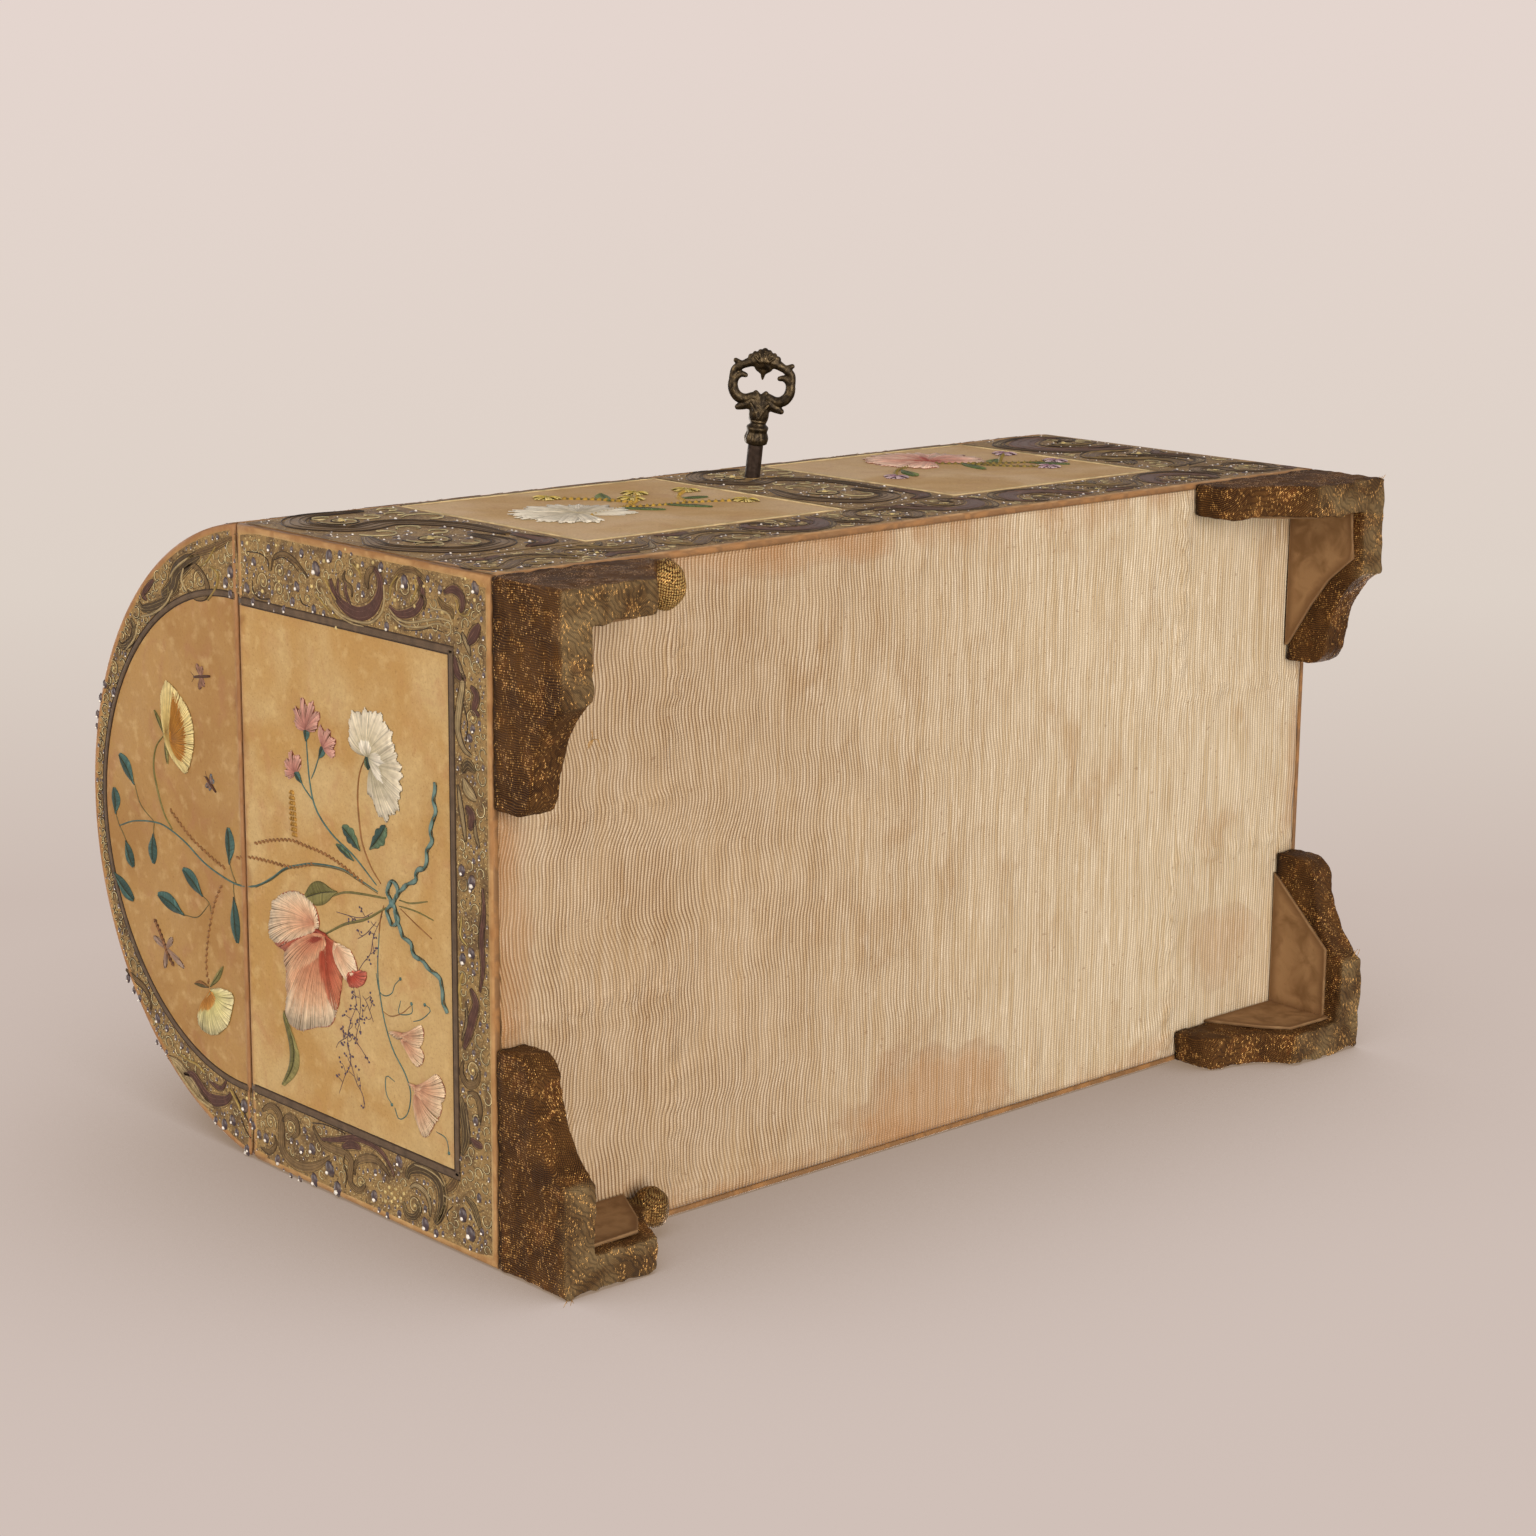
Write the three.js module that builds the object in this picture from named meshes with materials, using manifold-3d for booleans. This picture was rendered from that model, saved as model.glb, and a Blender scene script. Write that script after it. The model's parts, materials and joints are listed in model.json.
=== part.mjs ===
// A dome-lidded casket covered in parchment: a box of thin boards on four bracket feet, with a lid
// that swings on two butt hinges, and a box lock worked by its key.
// Millimetres, +Z up, front towards -Y. The origin is under the middle of the outer size, on the
// surface that the feet stand on.

import * as THREE from 'three';
import { mergeVertices } from 'three/addons/utils/BufferGeometryUtils.js';
import Module from 'manifold-3d';

const wasm = await Module();
wasm.setup();

// Driving dimensions of the outside
const boxLength = 320;
const boxDepth = 180;
const bodyHeight = 112;
const lidRise = 79;
const footHeight = 28;

// Boards and sheets
const boardThickness = 8;
const shellThickness = 4;
const panelThickness = 1.6;
const silkThickness = 0.8;
const liningThickness = 0.9;
const liningDrop = 3;
const railHeight = 14;

// Clearances shared by all pieces
const glueLine = 0.1;
const runningGap = 0.3;
const lidGap = 0.5;
const cutOverrun = 2;
const weldDistance = 0.0001;

// Bracket feet
const bracketThickness = 9.5;
const sidePadLength = 30;
const sideReach = 56;
const endPadLength = 28.5;
const endReach = 59;
const lobeRadius = 7;
const lobeDrop = 8.2;
const facingThickness = 1.2;
const facingSetback = 0.6;
const mitreGap = 0.3;
const coveControlShares = { along: 0.33, up: 0.84 };
const lobeSweepShare = 0.53;

// Hinges
const lidSwing = 100;
const hingeSpacingShare = 0.594;
const hingeLength = 30;
const hingeInset = 1.2;
const knuckleRadius = 2.2;
const middleKnuckleLength = 10;
const hingePinRadius = 0.8;
const hingePinGap = 0.25;
const leafWidth = 7.4;
const leafThickness = 1;
const leafScrewSpacing = 19;

// Countersunk screws of the hinges and the strike, and round-headed screws of the lock
const screwRadius = 0.8;
const screwHeadRadius = 1.6;
const screwHeadHeight = 0.8;
const screwTipLength = 1.2;
const screwLength = 6;
const screwGap = 0.15;
const lockScrewRadius = 0.9;
const lockScrewHeadRadius = 1.9;
const lockScrewHeadHeight = 0.9;
const lockScrewLength = 5;

// Box lock, placed a little to the right of the box's middle
const lockOffset = 10;
const caseWidth = 35;
const caseHeight = 27;
const caseDepth = 4.7;
const caseWall = 1;
const capThickness = 1;
const capMargin = 6;
const capTopDrop = 1.4;
const boltThickness = 2.6;
const boltGap = 0.45;
const boltTravel = 7.8;
const boltTailGap = 2;
const boltNoseHeight = 3.5;
const boltNoseDrop = 3.3;
const boltBarTopDrop = 9.6;
const boltShoulder = 3.2;
const boltBarEnd = 0.5;
const talonWidth = 3.4;
const talonGap = 0.45;

// Strike hook on the lid
const hookThickness = 1.8;
const hookWeb = 2.5;
const hookReach = 9;
const hookArm = 1.7;
const hookSideGap = 0.7;
const hookEndGap = 0.6;
const strikeThickness = 1;
const strikeLength = 26;
const strikeWidth = 5.2;
const strikeScrewSpacing = 18.5;
const strikeSlotGap = 0.5;

// Key
const keyholeDrop = 19;
const keyDroop = 8;
const keyRestTurn = -45;
const keyShankRadius = 2.3;
const keyholeGap = 0.4;
const keyShankProud = 11;
const keyCollarLength = 7;
const keyCollarWideRadius = 3.7;
const keyCollarNarrowRadius = 2.5;
const keyCollarWaistShare = 0.25;
const keyCollarBandShare = 0.15;
const keyTenonRadius = 1.4;
const keyTenonGap = 0.3;
const keyBitRadius = 6.2;
const keyBitWidth = 2;
const keyBitThickness = 1.6;
const keyBitEndGap = 0.5;
const keyJournalRadius = 1.5;
const keyJournalGap = 0.35;
const keyBowLength = 20.8;
const keyBowWidth = 19.2;
const keyBowThickness = 2.6;

// Half outline of the bow and of its opening: shares of half the bow's width, and of its length
const bowOutlineShares = [
  [0.26, 0], [0.33, 0.05], [0.5, 0.075], [0.68, 0.085], [0.66, 0.14], [0.84, 0.21], [0.96, 0.31],
  [1, 0.41], [0.95, 0.52], [0.83, 0.6], [0.9, 0.66], [0.92, 0.73], [0.78, 0.73], [0.6, 0.72],
  [0.47, 0.79], [0.44, 0.89], [0.31, 0.92], [0.23, 0.89], [0.15, 0.975], [0, 1],
];
const bowOpeningShares = [
  [0, 0.53], [0.12, 0.6], [0.24, 0.67], [0.4, 0.685], [0.51, 0.63], [0.49, 0.56], [0.64, 0.5],
  [0.69, 0.41], [0.57, 0.315], [0.37, 0.29], [0.2, 0.325], [0.12, 0.375], [0, 0.35],
];

// Numbers of steps on round stretches
const domeSteps = 36;
const coveSteps = 8;
const roundSides = 20;
const screwSides = 12;

const finishes = {
  parchment: { color: 0xc8a56c, roughness: 0.6, metalness: 0 },
  board: { color: 0xa98456, roughness: 0.8, metalness: 0 },
  silk: { color: 0xdccbaa, roughness: 0.55, metalness: 0 },
  lining: { color: 0xd6b9a0, roughness: 0.7, metalness: 0 },
  lame: { color: 0x7b603c, roughness: 0.5, metalness: 0.35 },
  card: { color: 0xc9a578, roughness: 0.85, metalness: 0 },
  bronze: { color: 0x5e4c2c, roughness: 0.4, metalness: 0.9 },
  steel: { color: 0x3c3430, roughness: 0.45, metalness: 0.8 },
  brass: { color: 0xa88444, roughness: 0.4, metalness: 0.9 },
};

// Planes that many pieces share, in the frame of the body: its underside is at height zero
const faceX = boxLength / 2;
const faceY = boxDepth / 2;
const boardX = faceX - panelThickness - glueLine;
const boardY = faceY - panelThickness - glueLine;
const innerX = boardX - boardThickness;
const innerY = boardY - boardThickness;
const bottomBoardLow = silkThickness + glueLine;
const wallLow = bottomBoardLow + boardThickness + glueLine;
const floorLiningTop = wallLow + liningThickness;
const bodyTop = bodyHeight - lidGap / 2;
const lidLow = lidGap / 2;
const domeRadius = (lidRise * lidRise + faceY * faceY) / (2 * lidRise);
const domeCentre = lidRise - domeRadius;
const hingeY = faceY - hingeInset;
const hingeSpacing = boxLength * hingeSpacingShare;

// Planes of the lock, measured along Y
const capBack = -innerY;
const capFront = capBack - capThickness;
const caseBack = capFront - glueLine;
const caseFront = caseBack - caseDepth;
const boltMiddle = caseBack - boltGap - boltThickness / 2;
const keyAngle = THREE.MathUtils.degToRad(keyDroop);
const keyOrigin = new THREE.Vector3(lockOffset, -faceY, bodyHeight - keyholeDrop);

// Joins and cuts

function toSolid(geometry) {
  const bare = geometry.clone();
  bare.deleteAttribute('normal');
  bare.deleteAttribute('uv');
  const welded = mergeVertices(bare, weldDistance);
  const corners = welded.index.array;
  const kept = [];
  for (let i = 0; i < corners.length; i += 3) {
    const [a, b, c] = [corners[i], corners[i + 1], corners[i + 2]];
    if (a !== b && b !== c && c !== a) kept.push(a, b, c);
  }
  return new wasm.Manifold(new wasm.Mesh({
    numProp: 3,
    vertProperties: new Float32Array(welded.attributes.position.array),
    triVerts: new Uint32Array(kept),
  }));
}

function toGeometry(solid) {
  const mesh = solid.getMesh();
  const geometry = new THREE.BufferGeometry();
  geometry.setAttribute('position', new THREE.Float32BufferAttribute(mesh.vertProperties, 3));
  geometry.setIndex(new THREE.Uint32BufferAttribute(mesh.triVerts, 1));
  return geometry.toNonIndexed();
}

function cut(geometry, tools) {
  let solid = toSolid(geometry);
  for (const tool of tools) solid = solid.subtract(toSolid(tool));
  return toGeometry(solid);
}

function join(geometries) {
  let solid = toSolid(geometries[0]);
  for (const added of geometries.slice(1)) solid = solid.add(toSolid(added));
  return toGeometry(solid);
}

// Basic shapes

function slab(low, high) {
  const size = new THREE.Vector3(...high).sub(new THREE.Vector3(...low));
  const middle = new THREE.Vector3(...high).add(new THREE.Vector3(...low)).multiplyScalar(0.5);
  return new THREE.BoxGeometry(size.x, size.y, size.z).translate(middle.x, middle.y, middle.z);
}

function extrudeUp(shape, low, high) {
  const depth = high - low;
  return new THREE.ExtrudeGeometry(shape, { depth, bevelEnabled: false }).translate(0, 0, low);
}

// The shape is drawn in Y and Z, and runs along X
function extrudeAlongX(shape, low, high) {
  const turn = new THREE.Matrix4().set(0, 0, 1, 0, 1, 0, 0, 0, 0, 1, 0, 0, 0, 0, 0, 1);
  return extrudeUp(shape, low, high).applyMatrix4(turn);
}

// The shape is drawn in X and Z, and runs along Y
function extrudeAlongY(shape, low, high) {
  return extrudeUp(shape, -high, -low).rotateX(Math.PI / 2);
}

function rodAlongX(radius, low, high, y, z) {
  const rod = new THREE.CylinderGeometry(radius, radius, high - low, roundSides);
  return rod.rotateZ(Math.PI / 2).translate((low + high) / 2, y, z);
}

function rodAlongY(radius, low, high, sides = roundSides) {
  const rod = new THREE.CylinderGeometry(radius, radius, high - low, sides);
  return rod.translate(0, (low + high) / 2, 0);
}

// A closed profile of radius and height, turned about Z
function turned(profile, sides) {
  const points = profile.map(([radius, height]) => new THREE.Vector2(radius, height));
  return toGeometry(toSolid(new THREE.LatheGeometry(points, sides).rotateX(Math.PI / 2)));
}

function shapeOf(points) {
  return new THREE.Shape(points.map(([x, y]) => new THREE.Vector2(x, y)));
}

// Scene graph

const casket = new THREE.Group();
const body = new THREE.Group();
const lid = new THREE.Group();
const keyAxis = new THREE.Group();
const key = new THREE.Group();
body.position.z = footHeight;
lid.position.z = bodyHeight;
keyAxis.position.copy(keyOrigin);
keyAxis.rotation.x = keyAngle;
key.rotation.y = THREE.MathUtils.degToRad(keyRestTurn);
keyAxis.add(key);
body.add(lid, keyAxis);
casket.add(body);

function addPiece(group, name, geometry, finish) {
  const mesh = new THREE.Mesh(geometry, new THREE.MeshStandardMaterial(finishes[finish]));
  geometry.computeVertexNormals();
  mesh.name = name;
  group.add(mesh);
}

// Countersunk wood screw along Z, with its flat head at height zero and its point upwards.
// Grown by a gap, it is the hole that takes such a screw.
function countersunkScrew(grow) {
  const tip = screwLength + grow;
  return turned([
    [0, -grow],
    [screwHeadRadius + grow, -grow],
    [screwHeadRadius + grow, 0],
    [screwRadius + grow, screwHeadHeight],
    [screwRadius + grow, screwLength - screwTipLength],
    [0, tip],
  ], screwSides);
}

// Round-headed screw along Z, with its head below height zero and its point upwards
function roundHeadScrew() {
  const shoulder = lockScrewHeadHeight / 2;
  return turned([
    [0, -lockScrewHeadHeight],
    [lockScrewHeadRadius / 2, -lockScrewHeadHeight],
    [lockScrewHeadRadius, -shoulder],
    [lockScrewHeadRadius, 0],
    [lockScrewRadius, 0],
    [lockScrewRadius, lockScrewLength - screwTipLength],
    [0, lockScrewLength],
  ], screwSides);
}

// Hinges: what the two leaves, the pin and the pockets in the wood share

const hingeCentres = [-hingeSpacing / 2, hingeSpacing / 2];
const leafTopY = hingeY - leafWidth;
const leafScrewY = hingeY - (leafWidth + knuckleRadius) / 2;

// Places of the knuckles along a hinge: the body leaf has the outer two, the lid leaf the middle
function knuckleSpans(centre) {
  const half = middleKnuckleLength / 2;
  return {
    body: [
      [centre - hingeLength / 2, centre - half - runningGap],
      [centre + half + runningGap, centre + hingeLength / 2],
    ],
    lid: [[centre - half, centre + half]],
  };
}

// One leaf. Side is 1 above the seam and -1 below it; height is the seam's height in its group.
function hingeLeaf(centre, side, height) {
  const spans = knuckleSpans(centre);
  const own = side > 0 ? spans.lid : spans.body;
  const others = side > 0 ? spans.body : spans.lid;
  const near = height + side * lidGap / 2;
  const far = near + side * leafThickness;
  const plate = slab(
    [centre - hingeLength / 2, leafTopY, Math.min(near, far)],
    [centre + hingeLength / 2, hingeY, Math.max(near, far)],
  );
  const clearance = knuckleRadius + runningGap;
  const notches = others.map(([low, high]) => rodAlongX(
    clearance, low - runningGap, high + runningGap, hingeY, height,
  ));
  const knuckles = own.map(([low, high]) => rodAlongX(knuckleRadius, low, high, hingeY, height));
  const bore = rodAlongX(
    hingePinRadius + hingePinGap, centre - hingeLength, centre + hingeLength, hingeY, height,
  );
  return cut(join([cut(plate, notches), ...knuckles]), [bore, ...leafScrewHoles(centre, side, height)]);
}

function leafScrewHoles(centre, side, height) {
  return [-leafScrewSpacing / 2, leafScrewSpacing / 2].map((offset) => {
    const hole = countersunkScrew(screwGap);
    if (side < 0) hole.rotateX(Math.PI);
    return hole.translate(centre + offset, leafScrewY, height + side * lidGap / 2);
  });
}

// Everything that the hinges take out of the wood and panels on one side of the seam
function hingeCuts(side, height) {
  const cuts = [];
  for (const centre of hingeCentres) {
    const near = height - side * lidGap;
    const far = height + side * (lidGap / 2 + leafThickness + glueLine);
    cuts.push(slab(
      [centre - hingeLength / 2 - runningGap, leafTopY - glueLine, Math.min(near, far)],
      [centre + hingeLength / 2 + runningGap, hingeY, Math.max(near, far)],
    ));
    cuts.push(rodAlongX(
      knuckleRadius + runningGap,
      centre - hingeLength / 2 - runningGap,
      centre + hingeLength / 2 + runningGap,
      hingeY,
      height,
    ));
    cuts.push(...leafScrewHoles(centre, side, height));
  }
  return cuts;
}

// Bevel of the back edge at the seam: the two bevels meet when the lid is fully open
function backBevel(side, height) {
  const half = THREE.MathUtils.degToRad(lidSwing / 2);
  const size = boardThickness * 2;
  const tool = new THREE.BoxGeometry(boxLength + cutOverrun * 2, size, size);
  tool.translate(0, size / 2 - mitreGap / 2, 0);
  tool.rotateX(side > 0 ? half - Math.PI / 2 : Math.PI / 2 - half);
  return tool.translate(0, hingeY, height);
}

// Body

const bodyCuts = [...hingeCuts(-1, bodyHeight), backBevel(-1, bodyHeight)];

addPiece(body, 'bottom_silk', slab(
  [-boardX, -boardY, 0],
  [boardX, boardY, silkThickness],
), 'silk');
addPiece(body, 'bottom_board', slab(
  [-boardX, -boardY, bottomBoardLow],
  [boardX, boardY, wallLow - glueLine],
), 'board');

// The lock's pieces are drawn about the key's axis, and then moved to their place along the front
function atLock(geometry) {
  return geometry.translate(lockOffset, 0, 0);
}

// The keyhole is a round hole with a slot below it, along the key's own axis
function keyTool(geometry) {
  return geometry.rotateX(keyAngle).translate(keyOrigin.x, keyOrigin.y, keyOrigin.z);
}

function keyholeTool() {
  const inside = caseFront + caseWall + faceY + cutOverrun;
  const halfSlot = keyBitThickness / 2 + keyholeGap;
  const hole = rodAlongY(keyShankRadius + keyholeGap, -cutOverrun, inside);
  const slot = slab([-halfSlot, -cutOverrun, -keyBitRadius - keyholeGap], [halfSlot, inside, 0]);
  return keyTool(join([hole, slot]));
}

function journalTool() {
  const low = capFront + faceY - cutOverrun;
  const high = capBack + faceY + cutOverrun;
  return keyTool(rodAlongY(keyJournalRadius + keyJournalGap, low, high));
}

// Screws of the lock's cap: they enter the front board from the inside
const capHalfWidth = caseWidth / 2 + capMargin;
const capLow = bodyTop - caseHeight - capMargin / 2;
const capHigh = bodyTop - capTopDrop;
function lockScrewPlaces() {
  const inset = capMargin / 2;
  const places = [];
  for (const x of [-capHalfWidth + inset, capHalfWidth - inset]) {
    for (const z of [capLow + inset, capHigh - inset]) places.push([x + lockOffset, z]);
  }
  return places;
}

function lockScrewHoles() {
  return lockScrewPlaces().map(([x, z]) => {
    const hole = rodAlongY(lockScrewRadius + screwGap, -lockScrewLength, cutOverrun, screwSides);
    return hole.translate(x, capBack, z);
  });
}

// Front board, with the pocket of the lock's case and the shallow one of its cap
const frontBoard = cut(
  slab([-boardX, -boardY, wallLow], [boardX, -innerY, bodyTop]),
  [
    atLock(slab(
      [-caseWidth / 2 - glueLine, caseFront - glueLine, bodyTop - caseHeight - 2 * glueLine],
      [caseWidth / 2 + glueLine, capBack + cutOverrun, bodyTop + cutOverrun],
    )),
    atLock(slab(
      [-capHalfWidth - glueLine, capFront - glueLine, capLow - glueLine],
      [capHalfWidth + glueLine, capBack + cutOverrun, bodyTop + cutOverrun],
    )),
    keyholeTool(),
    ...lockScrewHoles(),
  ],
);
addPiece(body, 'front_board', frontBoard, 'board');
addPiece(body, 'back_board', cut(
  slab([-boardX, innerY, wallLow], [boardX, boardY, bodyTop]),
  bodyCuts,
), 'board');

const endBoardY = innerY - glueLine;
addPiece(body, 'left_end_board', slab(
  [-boardX, -endBoardY, wallLow],
  [-innerX, endBoardY, bodyTop],
), 'board');
addPiece(body, 'right_end_board', slab(
  [innerX, -endBoardY, wallLow],
  [boardX, endBoardY, bodyTop],
), 'board');

// Parchment panels: those of the ends cover the edges of the front and the back one
addPiece(body, 'front_parchment', cut(
  slab([-boardX, -faceY, 0], [boardX, -boardY - glueLine, bodyTop]),
  [keyholeTool()],
), 'parchment');
addPiece(body, 'back_parchment', cut(
  slab([-boardX, boardY + glueLine, 0], [boardX, faceY, bodyTop]),
  bodyCuts,
), 'parchment');
addPiece(body, 'left_end_parchment', cut(
  slab([-faceX, -faceY, 0], [-boardX - glueLine, faceY, bodyTop]),
  bodyCuts,
), 'parchment');
addPiece(body, 'right_end_parchment', cut(
  slab([boardX + glueLine, -faceY, 0], [faceX, faceY, bodyTop]),
  bodyCuts,
), 'parchment');

// Lining of the inside, with a notch round the lock's cap
const liningX = innerX - glueLine;
const liningY = innerY - glueLine;
const liningLow = floorLiningTop + glueLine;
const liningTop = bodyTop - liningDrop;
const endLiningY = liningY - liningThickness - glueLine;
addPiece(body, 'lining_floor', slab(
  [-liningX, -liningY, wallLow],
  [liningX, liningY, floorLiningTop],
), 'lining');
addPiece(body, 'lining_front', cut(
  slab([-liningX, -liningY, liningLow], [liningX, -liningY + liningThickness, liningTop]),
  [atLock(slab(
    [-capHalfWidth, -innerY - cutOverrun, capLow - glueLine],
    [capHalfWidth, -liningY + liningThickness + cutOverrun, bodyTop],
  ))],
), 'lining');
addPiece(body, 'lining_back', slab(
  [-liningX, liningY - liningThickness, liningLow],
  [liningX, liningY, liningTop],
), 'lining');
addPiece(body, 'lining_left', slab(
  [-liningX, -endLiningY, liningLow],
  [-liningX + liningThickness, endLiningY, liningTop],
), 'lining');
addPiece(body, 'lining_right', slab(
  [liningX - liningThickness, -endLiningY, liningLow],
  [liningX, endLiningY, liningTop],
), 'lining');

// Bracket feet. Each has a bracket along the front or back and one along the end, mitred at the
// corner, and one card folded round their inside. The outline gives the distance from the corner
// and the height: a flat pad, a cove and a rounded lobe.
function bracketOutline(start, pad, reach, height) {
  const lobe = { along: reach - lobeRadius, up: -lobeDrop };
  const sweep = -Math.PI * lobeSweepShare;
  const coveEnd = {
    along: lobe.along + lobeRadius * Math.cos(sweep),
    up: lobe.up + lobeRadius * Math.sin(sweep),
  };
  const shape = new THREE.Shape();
  shape.moveTo(start, 0);
  shape.lineTo(reach, 0);
  shape.absarc(lobe.along, lobe.up, lobeRadius, 0, sweep, true);
  shape.quadraticCurveTo(
    pad + coveControlShares.along * (coveEnd.along - pad),
    -height + coveControlShares.up * (coveEnd.up + height),
    pad,
    -height,
  );
  shape.lineTo(start, -height);
  return shape.getPoints(coveSteps).map((point) => [point.x, point.y]);
}

// What the mitre takes off a bracket that runs along X, in distances from the two faces
function mitreOutline() {
  const side = bracketThickness + cutOverrun;
  const step = mitreGap / 2 * Math.SQRT2;
  return [[-cutOverrun, -cutOverrun - step], [side + step, side], [-cutOverrun, side]];
}

function addFoot(name, signX, signY) {
  const low = -footHeight;
  const footTop = -glueLine;
  const alongX = (points) => points.map(([u, z]) => [signX * (faceX - u), z + footTop]);
  const alongY = (points) => points.map(([u, z]) => [signY * (faceY - u), z + footTop]);
  const depthX = (near, far) => [signX * (faceX - near), signX * (faceX - far)].sort((a, b) => a - b);
  const depthY = (near, far) => [signY * (faceY - near), signY * (faceY - far)].sort((a, b) => a - b);
  const fullHeight = footHeight - glueLine;
  const mitre = mitreOutline();
  const prism = (points) => extrudeUp(shapeOf(points), low - cutOverrun, cutOverrun);

  const side = extrudeAlongY(
    shapeOf(alongX(bracketOutline(0, sidePadLength, sideReach, fullHeight))),
    ...depthY(0, bracketThickness),
  );
  const sideMitre = prism(mitre.map(([u, v]) => [signX * (faceX - u), signY * (faceY - v)]));
  addPiece(body, `${name}_side_bracket`, cut(side, [sideMitre]), 'lame');

  const end = extrudeAlongX(
    shapeOf(alongY(bracketOutline(0, endPadLength, endReach, fullHeight))),
    ...depthX(0, bracketThickness),
  );
  const endMitre = prism(mitre.map(([u, v]) => [signX * (faceX - v), signY * (faceY - u)]));
  addPiece(body, `${name}_end_bracket`, cut(end, [endMitre]), 'lame');

  const facingNear = bracketThickness + glueLine;
  const facingFar = facingNear + facingThickness;
  const facingHeight = fullHeight - facingSetback;
  const sideFacing = bracketOutline(
    facingNear, sidePadLength - facingSetback, sideReach - facingSetback, facingHeight,
  );
  const endFacing = bracketOutline(
    facingNear, endPadLength - facingSetback, endReach - facingSetback, facingHeight,
  );
  addPiece(body, `${name}_facing`, join([
    extrudeAlongY(shapeOf(alongX(sideFacing)), ...depthY(facingNear, facingFar)),
    extrudeAlongX(shapeOf(alongY(endFacing)), ...depthX(facingNear, facingFar)),
  ]), 'card');
}

addFoot('front_left', -1, -1);
addFoot('front_right', 1, -1);
addFoot('back_left', -1, 1);
addFoot('back_right', 1, 1);

// Lock: a tray-shaped case open to the inside, its cap, and the bolt that slides along X.
// Reaches along X of the bolt and the hook, from the key's axis
const caseReach = caseWidth / 2 - caseWall;
const boltTailLength = caseReach - boltTailGap;
const hookHigh = caseReach - strikeSlotGap - hookEndGap;
const hookWebLow = hookHigh - hookWeb;
const boltNoseEnd = hookWebLow - hookSideGap - boltTravel;
const hookLow = boltNoseEnd + hookSideGap;
const hookMiddle = (hookLow + hookHigh) / 2;
const lockCase = cut(
  atLock(slab(
    [-caseWidth / 2, caseFront, bodyTop - caseHeight - glueLine],
    [caseWidth / 2, caseBack, bodyTop - glueLine],
  )),
  [
    atLock(slab(
      [-caseWidth / 2 + caseWall, caseFront + caseWall, bodyTop - caseHeight - glueLine + caseWall],
      [caseWidth / 2 - caseWall, caseBack + cutOverrun, bodyTop - glueLine - caseWall],
    )),
    atLock(slab(
      [
        hookLow - strikeSlotGap,
        boltMiddle - hookThickness / 2 - strikeSlotGap,
        bodyTop - glueLine - caseWall - cutOverrun,
      ],
      [
        hookHigh + strikeSlotGap,
        boltMiddle + hookThickness / 2 + strikeSlotGap,
        bodyTop + cutOverrun,
      ],
    )),
    keyholeTool(),
  ],
);
addPiece(body, 'lock_case', lockCase, 'steel');
addPiece(body, 'lock_cap', cut(
  atLock(slab([-capHalfWidth, capFront, capLow], [capHalfWidth, capBack, capHigh])),
  [journalTool(), ...lockScrewHoles()],
), 'steel');
lockScrewPlaces().forEach(([x, z], i) => {
  const screw = roundHeadScrew().rotateX(Math.PI / 2).translate(x, capBack + glueLine, z);
  addPiece(body, `lock_screw_${i + 1}`, screw, 'steel');
});

// The bolt's outline is drawn at rest, unlocked. The key's bit turns in the talon, a notch in its
// lower edge, and carries it to the right by its travel.
const halfTurn = THREE.MathUtils.degToRad(-keyRestTurn);
const axisRise = (boltMiddle + faceY) * Math.tan(keyAngle);
const talonEdge = bodyHeight - keyholeDrop + axisRise + keyBitRadius * Math.cos(halfTurn);
const boltLow = talonEdge - talonGap / 2;
const talonTop = bodyHeight - keyholeDrop + axisRise + keyBitRadius + talonGap;
const talonMiddle = -boltTravel / 2;
const noseTop = bodyHeight - boltNoseDrop;
const noseLow = noseTop - boltNoseHeight;
const barTop = bodyHeight - boltBarTopDrop;
const boltShape = shapeOf([
  [-boltTailLength, boltLow],
  [talonMiddle - talonWidth / 2, boltLow],
  [talonMiddle - talonWidth / 2, talonTop],
  [talonMiddle + talonWidth / 2, talonTop],
  [talonMiddle + talonWidth / 2, boltLow],
  [-boltBarEnd, boltLow],
  [-boltBarEnd, barTop],
  [-boltShoulder, barTop],
  [-boltShoulder, noseLow],
  [boltNoseEnd, noseLow],
  [boltNoseEnd, noseTop],
  [-boltTailLength, noseTop],
]);
addPiece(body, 'lock_bolt', atLock(extrudeAlongY(
  boltShape,
  boltMiddle - boltThickness / 2,
  boltMiddle + boltThickness / 2,
)), 'steel');

// Hinges
const hingeNames = ['left_hinge', 'right_hinge'];
hingeCentres.forEach((centre, i) => {
  addPiece(body, `${hingeNames[i]}_body_leaf`, hingeLeaf(centre, -1, bodyHeight), 'brass');
  addPiece(body, `${hingeNames[i]}_pin`, rodAlongX(
    hingePinRadius, centre - hingeLength / 2, centre + hingeLength / 2, hingeY, bodyHeight,
  ), 'brass');
  addPiece(lid, `${hingeNames[i]}_lid_leaf`, hingeLeaf(centre, 1, 0), 'brass');
});

// Lid, in a frame whose height zero is the seam. Its section is an arc over the box's depth.

const shellOuter = domeRadius - panelThickness - glueLine;
const shellInner = shellOuter - shellThickness;
const archRadius = shellInner - glueLine;

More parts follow.
